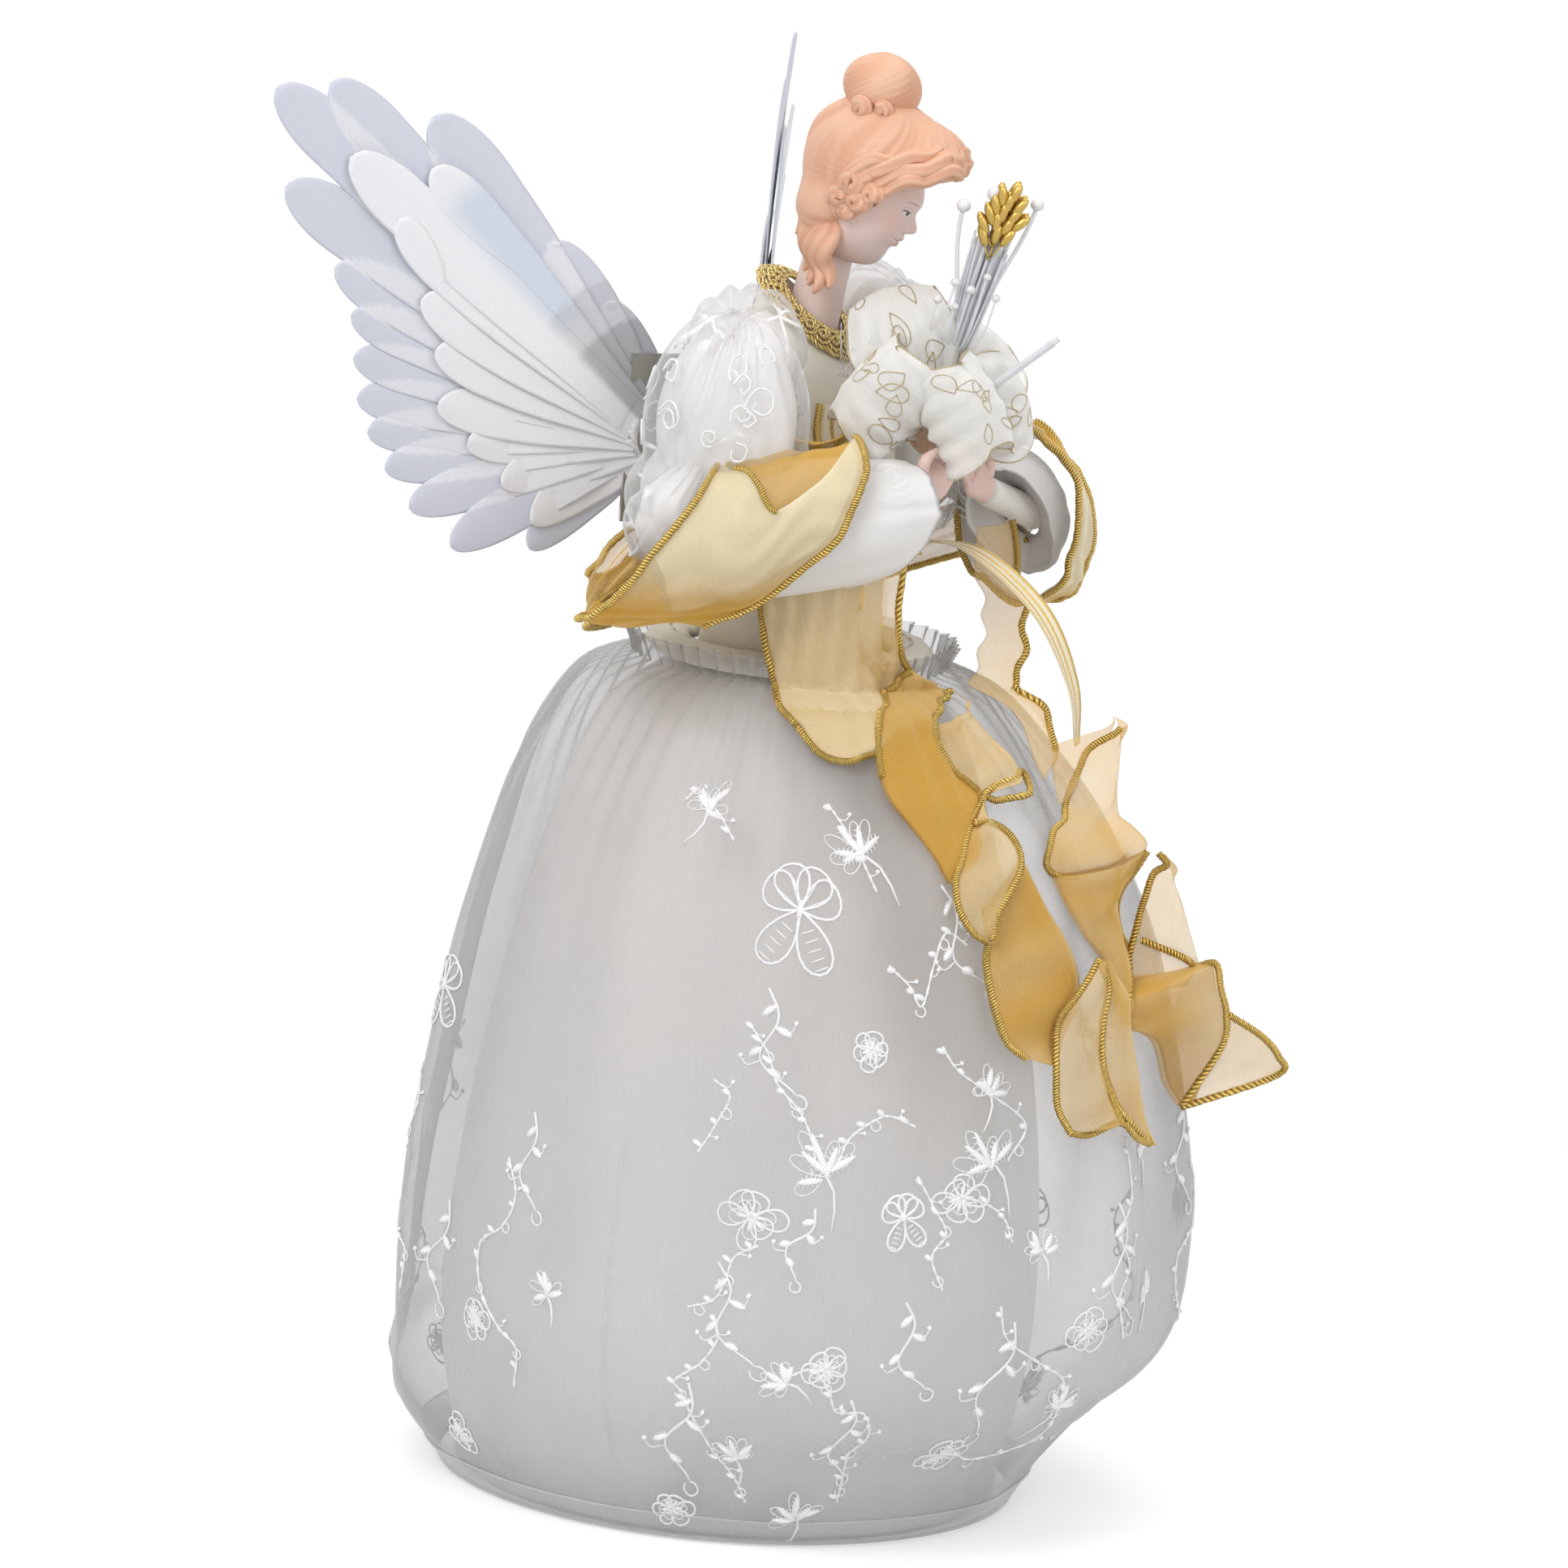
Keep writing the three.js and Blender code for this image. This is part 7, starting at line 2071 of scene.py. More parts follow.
def make_face(sizes, colours, porcelain):
    """The head's skin, and the neck and shoulder plate: rings whose half sizes blend the plate's and the neck's."""
    around, up = np.broadcast_arrays(*head_angles(240, 300))
    scale = sizes.head / HEAD_MODELLED
    head = head_direction(around, up) * face_reach(around, up)[..., None] * scale
    shape = Shape()
    shape.grid(head_place(head), wrap_columns=True, cap=True, paint=skin_paint(colours, around, up))
    angle = rounded(96)
    head_end = HEAD_CENTRE + np.array([0, 11.25, -6]) * MM
    rows = []
    for height in np.linspace(0, 1, 60):
        z = lerp(PLATE_LOW, head_end[2], height)
        share = np.clip((z - PLATE_MIDDLE) / PLATE_HALF_HEIGHT, -1, 1)
        plate = np.sqrt(1 - share**2) if height < 0.9 else 0
        blend = np.clip((z - NECK_LOW) / (head_end[2] - NECK_LOW), 0, 1)
        centre = lerp(np.array([0, NECK_BACK, z]), np.array([head_end[0], head_end[1], z]), blend**1.3)
        neck = (6.8 + 1.4 * (1 - blend) ** 2) * MM
        wide, deep = ((neck**3 + (plate * half) ** 3) ** (1 / 3) for half in PLATE_HALF)
        centre[1] -= NECK_BACK * smooth(-z, -320 * MM, -306 * MM)
        rows.append(centre + np.stack([wide * np.cos(angle), deep * np.sin(angle), 0 * angle], -1))
    plain = np.broadcast_to(np.array(colours.porcelain), (60, 96, 3))
    shape.grid(np.stack(rows), wrap_columns=True, cap=True, paint=plain)
    return shape.make("doll_skin", porcelain, slot="bisque_porcelain", replaces=["doll_bust"])


# Rows of angle round, angle up and radius in millimetres of the ropes of hair along the face.
LOCKS = [
    [[-7, 56, 0.7], [18, 55, 1.5], [34, 52, 2.1], [50, 46, 2.1], [64, 38, 2.0], [76, 25, 1.8], [84, 8, 1.2]],
    [[-5, 65, 0.6], [26, 63, 1.5], [46, 57, 2.2], [62, 49, 2.3], [78, 38, 2.2], [89, 20, 2.0], [94, 0, 1.2]],
    [[60, 62, 1.1], [76, 54, 2.0], [92, 38, 2.3], [102, 18, 2.3], [104, -4, 2.1], [101, -22, 1.2]],
    [[92, 44, 1.1], [106, 28, 2.1], [114, 8, 2.4], [115, -12, 2.3], [110, -32, 2.0], [100, -46, 1.1]],
]
# Rows of angle round, angle up, reach in degrees and radius in millimetres of flat curls.
CURLS = [[90, 2, 8.5, 2.1], [96, -13, 8.5, 2.2], [98, -29, 8.0, 2.1], [109, -2, 9, 2.2], [112, -22, 9, 2.2]]
# Rows of a ringlet's start in the head's frame, its length in millimetres, its turns and its radius.
RINGLETS = [
    [(10.0, 5.0, -12), 21, 1.5, 2.7],
    [(8.6, 8.4, -12), 25, 1.7, 3.0],
    [(5.4, 11.0, -12), 25, 1.7, 3.0],
    [(1.9, 12.0, -12), 25, 1.7, 2.9],
]


def make_hair(sizes, colours, clay):
    """The hair's cap, the ropes and curls along the face, the ringlets and the bun."""
    scale = sizes.head / HEAD_MODELLED
    around, up = np.broadcast_arrays(*head_angles(170, 280))
    reach = hair_reach(around, up)
    # Grooves, where the cap lies lower than beside it, are painted darker and ridges lighter: painted shade and painted
    # light.
    blurred = (np.roll(reach, 3, 1) + np.roll(reach, -3, 1)) / 2
    height = smooth(reach - blurred, -0.2, 0.16)
    shape = Shape()
    cap = head_direction(around, up) * reach[..., None] * scale
    shape.grid(head_place(cap), wrap_columns=True, cap=True, paint=hair_colour_and_groove_shade(colours, height))
    for side in (-1, 1):
        for number, lock in enumerate(LOCKS):
            path = spline(lock, 50)
            sway = 2.6 * np.sin(np.linspace(0, 5.5 * np.pi, 50) + number)
            lock_around, lock_up = side * path[:, 0] * DEG, (path[:, 1] + sway) * DEG
            base = hair_reach(lock_around, lock_up) - 0.7
            spine = head_direction(lock_around, lock_up) * base[:, None]
            add_lock(shape, colours, spine * scale, path[:, 2] * scale, 5)
        for number, (middle, height_now, size, radius) in enumerate(CURLS):
            part = np.linspace(0, 1, 38)
            spin = part * 1.55 * TURN + number * 1.3
            swing = size * (1 - 0.72 * part)
            lock_around = side * (middle + swing * np.cos(spin)) * DEG
            lock_up = (height_now + swing * np.sin(spin)) * DEG
            base = np.maximum(hair_reach(lock_around, lock_up), 11.5) - 0.4 + 0.9 * part
            spine = head_direction(lock_around, lock_up) * base[:, None]
            add_lock(shape, colours, spine * scale, radius * lerp(0.62, 1.0, part**0.5) * scale, 4)
        for start, hang, turns, radius in RINGLETS:
            part = np.linspace(0, 1, 60)
            spin = part * turns * TURN + side
            flip = np.array([side, 1, 1])
            spine = np.array(start) * flip + HANGING * hang * part[:, None]
            spine = spine + 1.3 * circle(spin, ASIDE, np.cross(HANGING, ASIDE))
            thick = radius * np.sin(np.pi * np.clip(part, 0.15, 0.985)) ** 0.55
            add_lock(shape, colours, spine * scale, thick * scale, 3)
    make_bun(shape, colours, scale)
    return shape.make("doll_hair", clay, slot="bisque_porcelain")


def add_lock(shape, colours, spine, radius, ridges):
    """A lock of hair: a tube with ridges that wind along it. Its spine is in the head's frame, in millimetres."""
    points = tube(head_place(spine), radius, 20)
    middle = points.mean(1, keepdims=True)
    turn = np.linspace(0, TURN, 20, endpoint=False)[None, :] * ridges
    wind = np.linspace(0, 5, len(spine))[:, None]
    ridge = np.sin(turn + wind)
    points = middle + (points - middle) * (1 + 0.09 * ridge)[..., None]
    # Darker in the troughs between the ridges, lighter on them: painted shade and painted light.
    shape.grid(points, wrap_columns=True, cap=True, paint=hair_colour_and_groove_shade(colours, smooth(ridge, -1, 0.6)))


def make_bun(shape, colours, scale):
    """The bun: a ball with strands that wind round it, and a twist round its foot."""
    centre, half = BUN[:3] * HEAD_MODELLED, BUN[3:] * HEAD_MODELLED
    down = np.linspace(0.02, 0.98, 90)[:, None] * np.pi
    angle = rounded(120)[None, :]
    wind = angle + 1.9 * down
    lobes = np.sin(3 * angle + 2.4 * down + 0.8) * np.sin(down)
    grain = 0.3 * np.sin(17 * wind + 2 * lobes) + 0.15 * np.sin(41 * wind)
    ridge = 0.9 * lobes + grain
    size = 1 + 0.045 * lobes + 0.014 * grain
    points = centre + turned(globe(down, angle) * size[..., None] * half, ASIDE, -38 * DEG)
    # Darker in the troughs between the strands, lighter on them: painted shade and painted light.
    paint = hair_colour_and_groove_shade(colours, smooth(ridge, -0.7, 0.6))
    shape.grid(head_place(points * scale), wrap_columns=True, cap=True, paint=paint)
    for knob, reach in (((-9.8, 18.2, 14.9), 3.5), ((-9.3, 13.4, 18.2), 3.1), ((9.5, 17.0, 15.6), 3.3)):
        turn = np.linspace(0, 1.7 * TURN, 60)
        curl = reach * 0.62 * (1 - 0.8 * turn / turn[-1])
        outward = unit(np.array(knob) - centre)
        first, second = cross_axes(outward)
        spine = np.array(knob) + curl[:, None] * circle(turn, first, second)
        spine = spine + outward * (1.1 * turn / turn[-1])[:, None]
        add_lock(shape, colours, spine * scale, reach * 0.44 * scale, 3)
    axis = unit(centre)
    rise = np.cross(axis, ASIDE)
    foot = centre * 0.72
    turn = np.linspace(0, TURN, 90, endpoint=False)[:, None]
    path = foot + (np.cos(turn) * ASIDE + np.sin(turn) * rise) * 7.4
    closed = np.vstack([path[-1:], path, path[:1]])
    for shift in (0, np.pi):
        twist = np.linspace(0, 4 * TURN, len(closed))[:, None] + shift
        radial = unit(closed - foot)
        wound = closed + 0.9 * (np.cos(twist) * radial + np.sin(twist) * axis)
        points = tube(head_place(wound * scale), 1.7 * scale, 14)[1:-1]
        shape.grid(points, wrap_rows=True, wrap_columns=True, paint=hair_colour_and_groove_shade(colours, 0.6 + 0 * points[..., 0]))


def make_bust(sizes, colours):
    """The porcelain bust: skin and hair."""
    make_face(sizes, colours, porcelain_material("Bisque skin"))
    make_hair(sizes, colours, porcelain_material("Painted hair", roughness=0.55))


# Hands

HAND_LENGTH = 21 * MM
# Rows of the finger's place across the palm, its length share, its spread in degrees and its radius in millimetres.
FINGERS = [[-0.78, 0.40, -7, 1.25], [-0.26, 0.47, -2, 1.35], [0.26, 0.44, 3, 1.3], [0.76, 0.35, 9, 1.1]]


def make_hands(sizes, colours):
    """Two porcelain hands: a lofted palm, four bent fingers and a thumb, with painted nails."""
    porcelain = porcelain_material("Bisque hands")
    for arm in ARMS:
        name = arm["name"]
        elbow, wrist, tip = (body_place(arm[key]) for key in ("elbow", "wrist", "hand"))
        shape = Shape()
        forward = unit(tip - wrist)
        arm_forward = unit(wrist - elbow)
        side, up = cross_axes(forward)
        part = np.linspace(-0.75, 0.56, 26)
        spots = np.stack([wrist + (forward if t > 0 else arm_forward) * t * HAND_LENGTH for t in part])
        half_width = np.interp(part, [-0.75, -0.1, 0.1, 0.35, 0.56], [3.4, 3.3, 4.1, 5.6, 5.2]) * MM
        half_depth = np.interp(part, [-0.75, -0.1, 0.15, 0.4, 0.56], [3.2, 3.0, 2.9, 2.6, 1.8]) * MM
        angle = rounded(36)
        ring_points = (
            spots[:, None]
            + half_width[:, None, None] * np.cos(angle)[None, :, None] * up
            + half_depth[:, None, None] * np.sin(angle)[None, :, None] * side
        )
        skin = np.array(colours.porcelain) * [1.0, 0.9, 0.88]
        shape.grid(ring_points, wrap_columns=True, cap=True, paint=np.broadcast_to(skin, ring_points.shape))
        curl = -side * arm["side"]
        for across, share, spread, radius in FINGERS:
            base = wrist + forward * HAND_LENGTH * 0.5 + up * across * 4.6 * MM
            axis = turned(forward, side, -spread * DEG)
            bend = np.array([0, 0.28, 0.75])[:, None] * curl * 2.2 * MM
            joints = base + axis * (np.array([0, 0.5, 1.0])[:, None] * share * HAND_LENGTH * 1.15) + bend
            along = np.linspace(0, 1, 24)
            taper = radius * MM * np.interp(along, [0, 0.5, 0.9, 1], [1.05, 0.98, 0.85, 0.55])
            nail = (0.45 * smooth(along, 0.8, 0.9))[:, None, None]
            paint = np.broadcast_to(lerp(skin, np.array([0.78, 0.42, 0.36]), nail), (24, 14, 3))
            shape.rod(spline(joints, 24), taper, 14, paint=paint)
        shares = np.array([[0.12, 0.16], [0.36, 0.4], [0.62, 0.38]])
        thumb = wrist + (shares[:, :1] * forward + shares[:, 1:] * up) * HAND_LENGTH
        thumb = thumb + np.array([0.3, 0.8, 1.2])[:, None] * curl * 2 * MM
        taper = np.interp(np.linspace(0, 1, 20), [0, 0.6, 1], [2.0, 1.7, 0.8]) * MM
        shape.rod(spline(thumb, 20), taper, 14, paint=skin)
        shape.make(f"{name}_hand_porcelain", porcelain, slot="bisque_porcelain", replaces=[f"{name}_hand"])


# Collar: an openwork braid round the neckline

# Half width of the braid, its height off the neckline, and how often its pattern repeats.
COLLAR_HALF_WIDTH = 4.0 * MM
COLLAR_LIFT = 2.1 * MM
COLLAR_REPEATS = 20


def make_collar(sizes, colours):
    """Two corded edges with scrolls, crossed threads and small knots between them."""
    gold = cord_material("Collar gold", tuple(lerp(np.array(colours.gold), np.array([1.0, 0.85, 0.5]), 0.3)), turns=0.6)
    count = 1400
    turn = np.linspace(0, TURN, count, endpoint=False)
    inner = neckline(-2 * MM, turn)
    outer = neckline(0.0, turn)
    centre = (inner + outer) / 2 + NECK_NORMAL * COLLAR_LIFT
    outward = unit(outer - inner)
    along = unit(np.roll(centre, -1, 0) - np.roll(centre, 1, 0))
    slope = unit(outward - 0.45 * NECK_NORMAL)
    above = unit(np.cross(along, slope))
    above = above * np.sign(above @ NECK_NORMAL)[:, None]
    shape = Shape()
    wave = COLLAR_REPEATS * turn
    for share, swing, radius in ((-0.86, 0.14, 0.55), (0.86, 0.14, 0.6), (-0.98, 0.05, 0.4), (0.98, 0.05, 0.4)):
        path = centre + slope * (COLLAR_HALF_WIDTH * (share + np.sign(share) * swing * np.cos(wave)))[:, None]
        shape.ring(path[::4], radius * MM, 7)
    spin = np.linspace(0, TURN, 21)[:-1]
    for number in range(COLLAR_REPEATS):
        knot = number * count // COLLAR_REPEATS
        for reach, radius, lift in ((0.3, 0.5, 1.1), (0.7, 0.55, 0.6)):
            size = reach * COLLAR_HALF_WIDTH * (1 + 0.05 * np.cos(6 * spin))
            eye = centre[knot] + size[:, None] * circle(spin, slope[knot], along[knot])
            shape.ring(eye + above[knot] * lift * MM, radius * MM, 6)
        between = (knot + count // (2 * COLLAR_REPEATS)) % count
        cross = centre[between] + slope[between] * COLLAR_HALF_WIDTH * np.linspace(-0.9, 0.9, 12)[:, None]
        shape.rod(cross + along[between] * (0.5 * MM * np.sin(np.linspace(0, TURN, 12)))[:, None], 0.36 * MM, 6)
    shape.make("collar_braid_gold", gold, slot="gold_braid", replaces=["collar_braid"])


# Bouquet: ribbon loops, knot, light fibres, pearls, beads and the rod

# Radius of the knot, and the direction that the bouquet faces.
KNOT_RADIUS = 5 * MM
BOUQUET_FRONT = np.array([-0.81, -0.55, 0.19])
# Rows of angle in degrees, lean in degrees, length share, and the turn of the ribbon's width about
# the loop's own direction in degrees.
PETALS = {
    "back": [76, 36, 1.02, 20],
    "top": [-160, 21, 1.26, 0],
    "right": [-104, 58, 0.98, -10],
    "left": [49, 64, 0.86, 10],
    "front": [-24, 64, 0.9, 0],
}
# Rows of a share of the loop's length, then its width share and depth share there.
PETAL_SHARES = [[0, 0.2, 0.3], [0.16, 0.45, 0.6], [0.4, 0.84, 0.9], [0.66, 1, 1], [0.88, 0.9, 0.8], [1, 0.78, 0.34]]
PETAL_SCROLLS = 13


def petal_frame(row):
    """Start, direction, width direction and thickness direction of a loop."""
    degrees, lean, _, turn = row
    direction = leaning(degrees, lean)
    side = unit(np.cross(direction, BOUQUET_FRONT))
    side = turned(side, direction, turn * DEG)
    return KNOT + direction * (KNOT_RADIUS - 1.5 * MM), direction, side, np.cross(side, direction)


def petal_surface(sizes, row, round_share, across, seed):
    """A ribbon loop: out along its top and back along its bottom, pleated towards the knot, wavy at its rims."""
    start, direction, side, face = petal_frame(row)
    turn = round_share * TURN
    along = (1 - np.cos(turn)) / 2
    length_now = sizes.petal_length * row[2]
    width = table_at(PETAL_SHARES, along, 1) * sizes.petal_width / 2
    thick = table_at(PETAL_SHARES, along, 2) * sizes.petal_thickness / 2
    belly = np.sin(turn)
    rim = np.abs(across) ** 3
    pleat = np.sin(15 * across + 1.8 * wobble(seed, 1.0, across, along)) * (1 - 0.7 * along) * MM
    crease = 0.35 * MM * wobble(seed + 1, 5.0, across, along)
    wave = rim * (1.7 * MM * np.sin(5 * turn + 2 * across + seed))
    height = belly * thick * (1 - 0.16 * across**2) + np.sign(belly + 1e-9) * (pleat + crease) * np.abs(belly) + wave
    reach = length_now * along * (1 - 0.1 * across**2) + 0.9 * MM * rim * np.cos(4 * turn + seed)
    return (
        start
        + direction * reach[..., None]
        + side * (across * width)[..., None]
        + face * height[..., None]
    )


def make_petals(sizes, colours):
    """The five ribbon loops with gold rims and scrolls of gold thread, and the gathered knot."""
    ribbon = sheer_material("Bouquet ribbon", (0.97, 0.95, 0.91), cover=0.46, grazing=0.4, threads=2.6)
    gold = cord_material("Gold thread", tuple(lerp(np.array(colours.gold), 1.0, 0.3)), turns=1.5)
    for seed, (name, row) in enumerate(PETALS.items()):
        round_share = np.linspace(0.02, 0.98, 110)[:, None]
        across = np.linspace(-1, 1, 61)[None, :]
        round_grid, across_grid = np.broadcast_arrays(round_share, across)
        points = petal_surface(sizes, row, round_grid, across_grid, seed)
        shape = Shape().grid(points, (31.0, 70.0))
        piece = shape.make(
            f"petal_{name}_ribbon", ribbon, slot="ivory_ribbon", replaces=[f"bouquet_petal_{name}"],
            thickness=sizes.cloth,
        )
        threads = Shape()
        for edge in (-1.0, 1.0):
            line = np.linspace(0.04, 0.96, 110)
            threads.rod(petal_surface(sizes, row, line, np.full(110, edge), seed), 0.27 * MM, 6)
        random = np.random.default_rng(seed)
        face = petal_frame(row)[3]
        for _ in range(PETAL_SCROLLS):
            middle_round, middle_across = random.uniform(0.14, 0.86), random.uniform(-0.75, 0.75)
            aim, size = random.uniform(0, TURN), random.uniform(0.8, 1.25)
            turn = np.linspace(0.1, TURN - 0.1, 30)
            out = (1 - np.cos(turn)) / 2 * 0.42 * size
            wide = np.sin(turn) * np.abs(np.sin(turn / 2)) * 0.16 * size
            u = middle_across + out * np.cos(aim) - wide * np.sin(aim)
            v = middle_round + (out * np.sin(aim) + wide * np.cos(aim)) * 0.24
            path = petal_surface(sizes, row, np.clip(v, 0.03, 0.97), np.clip(u, -1, 1), seed)
            lift = face * (0.3 * MM * np.sign(np.sin(np.clip(v, 0.03, 0.97) * TURN)))[:, None]
            threads.rod(path + lift, 0.17 * MM, 5)
        rims = threads.make(f"petal_{name}_threads", gold, slot="ivory_ribbon")
    make_knot()


def make_knot():
    """The knot: a gathered ball of tan ribbon, its pleats running up and down, with a bound waist."""
    cloth = satin_material("Knot ribbon", (0.74, 0.52, 0.38), threads=3.0, sheen=0.3)
    down = np.linspace(0.03, 0.97, 60)[:, None] * np.pi
    angle = rounded(120)[None, :]
    creases = wobble(81, 3.0, angle * 0 + down, np.cos(angle), np.sin(angle))
    pleat = 1 + 0.07 * np.sin(17 * angle + 0.8 * np.sin(3 * down)) + 0.03 * creases
    waist = 1 - 0.12 * np.exp(-(((down - np.pi / 2) / 0.22) ** 2))
    level = KNOT_RADIUS * 1.1 * pleat * waist * np.sin(down)
    height = 1.25 * KNOT_RADIUS * np.cos(down) * np.ones_like(angle)
    points = KNOT + np.stack([level * np.cos(angle), level * np.sin(angle), height], -1)
    shape = Shape().grid(points, (36.0, 16.0), wrap_columns=True, cap=True)
    turn = np.linspace(0, TURN, 60, endpoint=False)
    for height in (-0.5, 0.0, 0.5):
        loop = KNOT + np.stack([4.9 * np.cos(turn), 4.9 * np.sin(turn), height + 0.12 * np.sin(2 * turn)], -1) * MM
        shape.ring(loop, 0.32 * MM, 6)
    shape.make("bouquet_knot_cloth", cloth, slot="ivory_ribbon", replaces=["bouquet_knot"])


# Directions and whole sizes of the spray, and the number of its fibres and of its loose ones.
SPRAY_FORWARD = leaning(3, 15)
SPRAY_ASIDE = turned(ASIDE, UPWARD, -50 * DEG)
SPRAY_FACING = unit(np.cross(SPRAY_FORWARD, SPRAY_ASIDE))
SPRAY_HEIGHT = 28.5 * MM
SPRAY_WIDTH = 11 * MM
SPRAY_DEPTH = 6 * MM
FIBRES = 64
LOOSE_FIBRES = 7
# Rows of height share and width share.
SPRAY_SHARES = [[0, 0.2], [0.5, 0.3], [0.9, 0.7], [1.4, 0.9], [1.9, 1]]
# Rows of aside share, depth share, reach as a height share, and size share of the pearls.
PEARLS = [[-0.95, 0.1, 2.15, 1.0], [-0.3, -0.1, 2.3, 1.1], [0.85, 0.2, 2.2, 0.95]]
SMALL_PEARLS = [
    [-0.62, -0.7, 1.42, 0.62],
    [-0.2, -0.8, 1.36, 0.6],
    [-0.9, -0.5, 1.22, 0.62],
    [0.1, -0.8, 1.5, 0.5],
    [-0.45, -0.8, 1.18, 0.5],
    [0.5, -0.7, 1.28, 0.55],
]


def spray_place(along, aside=0.0, depth=0.0):
    """A place of the spray from shares of its height, its whole width and its whole depth."""
    along, aside, depth = (np.asarray(value, float)[..., None] for value in (along, aside, depth))
    start = KNOT + SPRAY_FORWARD * (KNOT_RADIUS + 0.3 * MM)
    return (
        start
        + SPRAY_FORWARD * along * SPRAY_HEIGHT
        + SPRAY_ASIDE * aside * SPRAY_WIDTH
        + SPRAY_FACING * depth * SPRAY_DEPTH
    )


def make_spray(sizes, colours):
    """The spray of fibres with pearl tips, the gold beads on it, and the clear rod."""
    fibre = clear_material(
        "Light fibre", colours.fibre, 0.62, rim=0.3,
        scale=220.0, shades=(0.93, 1.08), gloss=(0.3, 0.12), grain=0.04 * MM,
    )
    pearl = sculpted_material("Pearl", (0.74, 0.74, 0.74), roughness=0.25, grain=0.03 * MM, scale=300.0, coat=0.6)
    bundle, tips = Shape(), Shape()
    random = np.random.default_rng(5)
    for number in range(FIBRES):
        turn, spread = random.uniform(0, TURN), np.sqrt(random.uniform(0.05, 1))
        end = random.uniform(1.66, 1.93)
        along = np.linspace(0.02, end, 16)
        width = table_at(SPRAY_SHARES, along) / 2
        sway = 0.03 * np.sin(3 * along + number)
        path = spray_place(along, width * spread * np.cos(turn) + sway, width * spread * np.sin(turn))
        bundle.rod(path, 0.42 * MM, 6)
    for aside, depth, reach, size in PEARLS + SMALL_PEARLS:
        along = np.linspace(0.5, reach, 18)
        bend = smooth(along, 0.8, reach) if reach > 2 else smooth(along, 0.5, 1.0)
        path = spray_place(along, aside * lerp(0.25, 1.0, bend), depth * bend)
        bundle.rod(path, (0.62 if reach > 2 else 0.3) * MM, 7)
        radius = sizes.pearl * size * (1.15 if reach > 2 else 1.25)
        tips.grid(ball(path[-1], [radius, radius, radius * 0.9], 12, 18), wrap_columns=True, cap=True)
    for number in range(LOOSE_FIBRES):
        turn = number * 0.9 + 0.4
        reach = 17 * MM * (1 + 0.15 * np.sin(3 * number))
        root = body_place((-0.45, -0.95, 1.22)) + np.array([1.2 * np.cos(turn), 1.2 * np.sin(turn), 0]) * MM
        aim = unit(np.array([-0.6 * np.cos(turn) - 0.25, -0.5 + 0.3 * np.sin(turn), 1.0]))
        hair = root + aim * (np.linspace(0, 1, 12)[:, None] * reach)
        bundle.rod(hair, 0.14 * MM, 4)
    bundle.make("spray_fibres", fibre, slot="light_fibre", replaces=["fibre_spray"])
    tips.make("spray_pearls", pearl, slot="light_fibre")
    make_beads(colours)
    rod = Shape()
    direction = leaning(13, 49)
    start = KNOT + direction * (KNOT_RADIUS + 0.3 * MM)
    part = np.linspace(0, 1, 30)[:, None]
    rod.rod(start + direction * part * 41 * MM, 0.95 * MM, 12)
    rod.rod(start + SPRAY_ASIDE * 0.9 * MM + direction * part * 38.6 * MM, 0.6 * MM, 10)
    rod.make("fibre_rod_clear", fibre, slot="light_fibre", replaces=["fibre_rod"])


# Rows of height share, number of beads and tilt of the bead cluster.
BEAD_ROWS = [(1.9, 3, 0.42), (2.02, 4, 0.36), (2.12, 3, 0.3), (2.22, 3, 0.22), (2.32, 2, 0.1)]


def make_beads(colours):
    """Gilt rice beads in rows on wires, leaning apart like the scales of a cone."""
    gilt = sculpted_material("Gilt beads", colours.gold, roughness=0.3, grain=0.05 * MM, scale=200.0)
    shader = next(node for node in gilt.node_tree.nodes if node.type == "BSDF_PRINCIPLED")
    shader.inputs["Metallic"].default_value = 0.9
    shape = Shape()
    for row, (along, count, tilt) in enumerate(BEAD_ROWS):
        for number in range(count):
            aside = (number - (count - 1) / 2) * 0.3 + 0.06 * (row % 2)
            for depth in (-0.62, -0.1):
                middle = spray_place(along + 0.03 * (number % 2), aside, depth)
                axis = unit(SPRAY_FORWARD + SPRAY_ASIDE * aside * 1.6 - SPRAY_FACING * tilt * (0.6 + depth))
                across, other = cross_axes(axis)
                bead = ball((0, 0, 0), np.array([1.35, 1.35, 3.1]) * MM, 12, 14)
                points = middle + bead[..., :1] * across + bead[..., 1:2] * other + bead[..., 2:] * axis
                shape.grid(points, wrap_columns=True, cap=True)
                shape.rod(middle + axis * (np.linspace(-1, -0.2, 4)[:, None] * 7 * MM), 0.28 * MM, 5)
    shape.make("spray_beads", gilt, slot="gold_beads", replaces=["gold_berries"])


# What the robes hide: cone, light unit, battery unit and wing fittings


def card_material():
    """Pressed board: broad stains, fine fibres and a slight wave."""
    made, tree, shader, place = new_material("Pressed board", Roughness=0.85)
    mottle = mottled(tree, place, 30.0)
    hair = noise(tree, stretched(tree, place["Object"], 1400.0, 1400.0, 260.0), 1.0, 3.0)
    base = tinted(tree, mottle["Value"], (0.62, 0.54, 0.42), 0.85, 1.12)
    flecks = map_range(tree, hair, 0.58, 0.72)
    feed(tree, shader, Base_Color=mix_colour(tree, flecks, base, (0.42, 0.34, 0.24)))
    bump(tree, shader, hair, 0.2 * MM, 0.6)
    return made


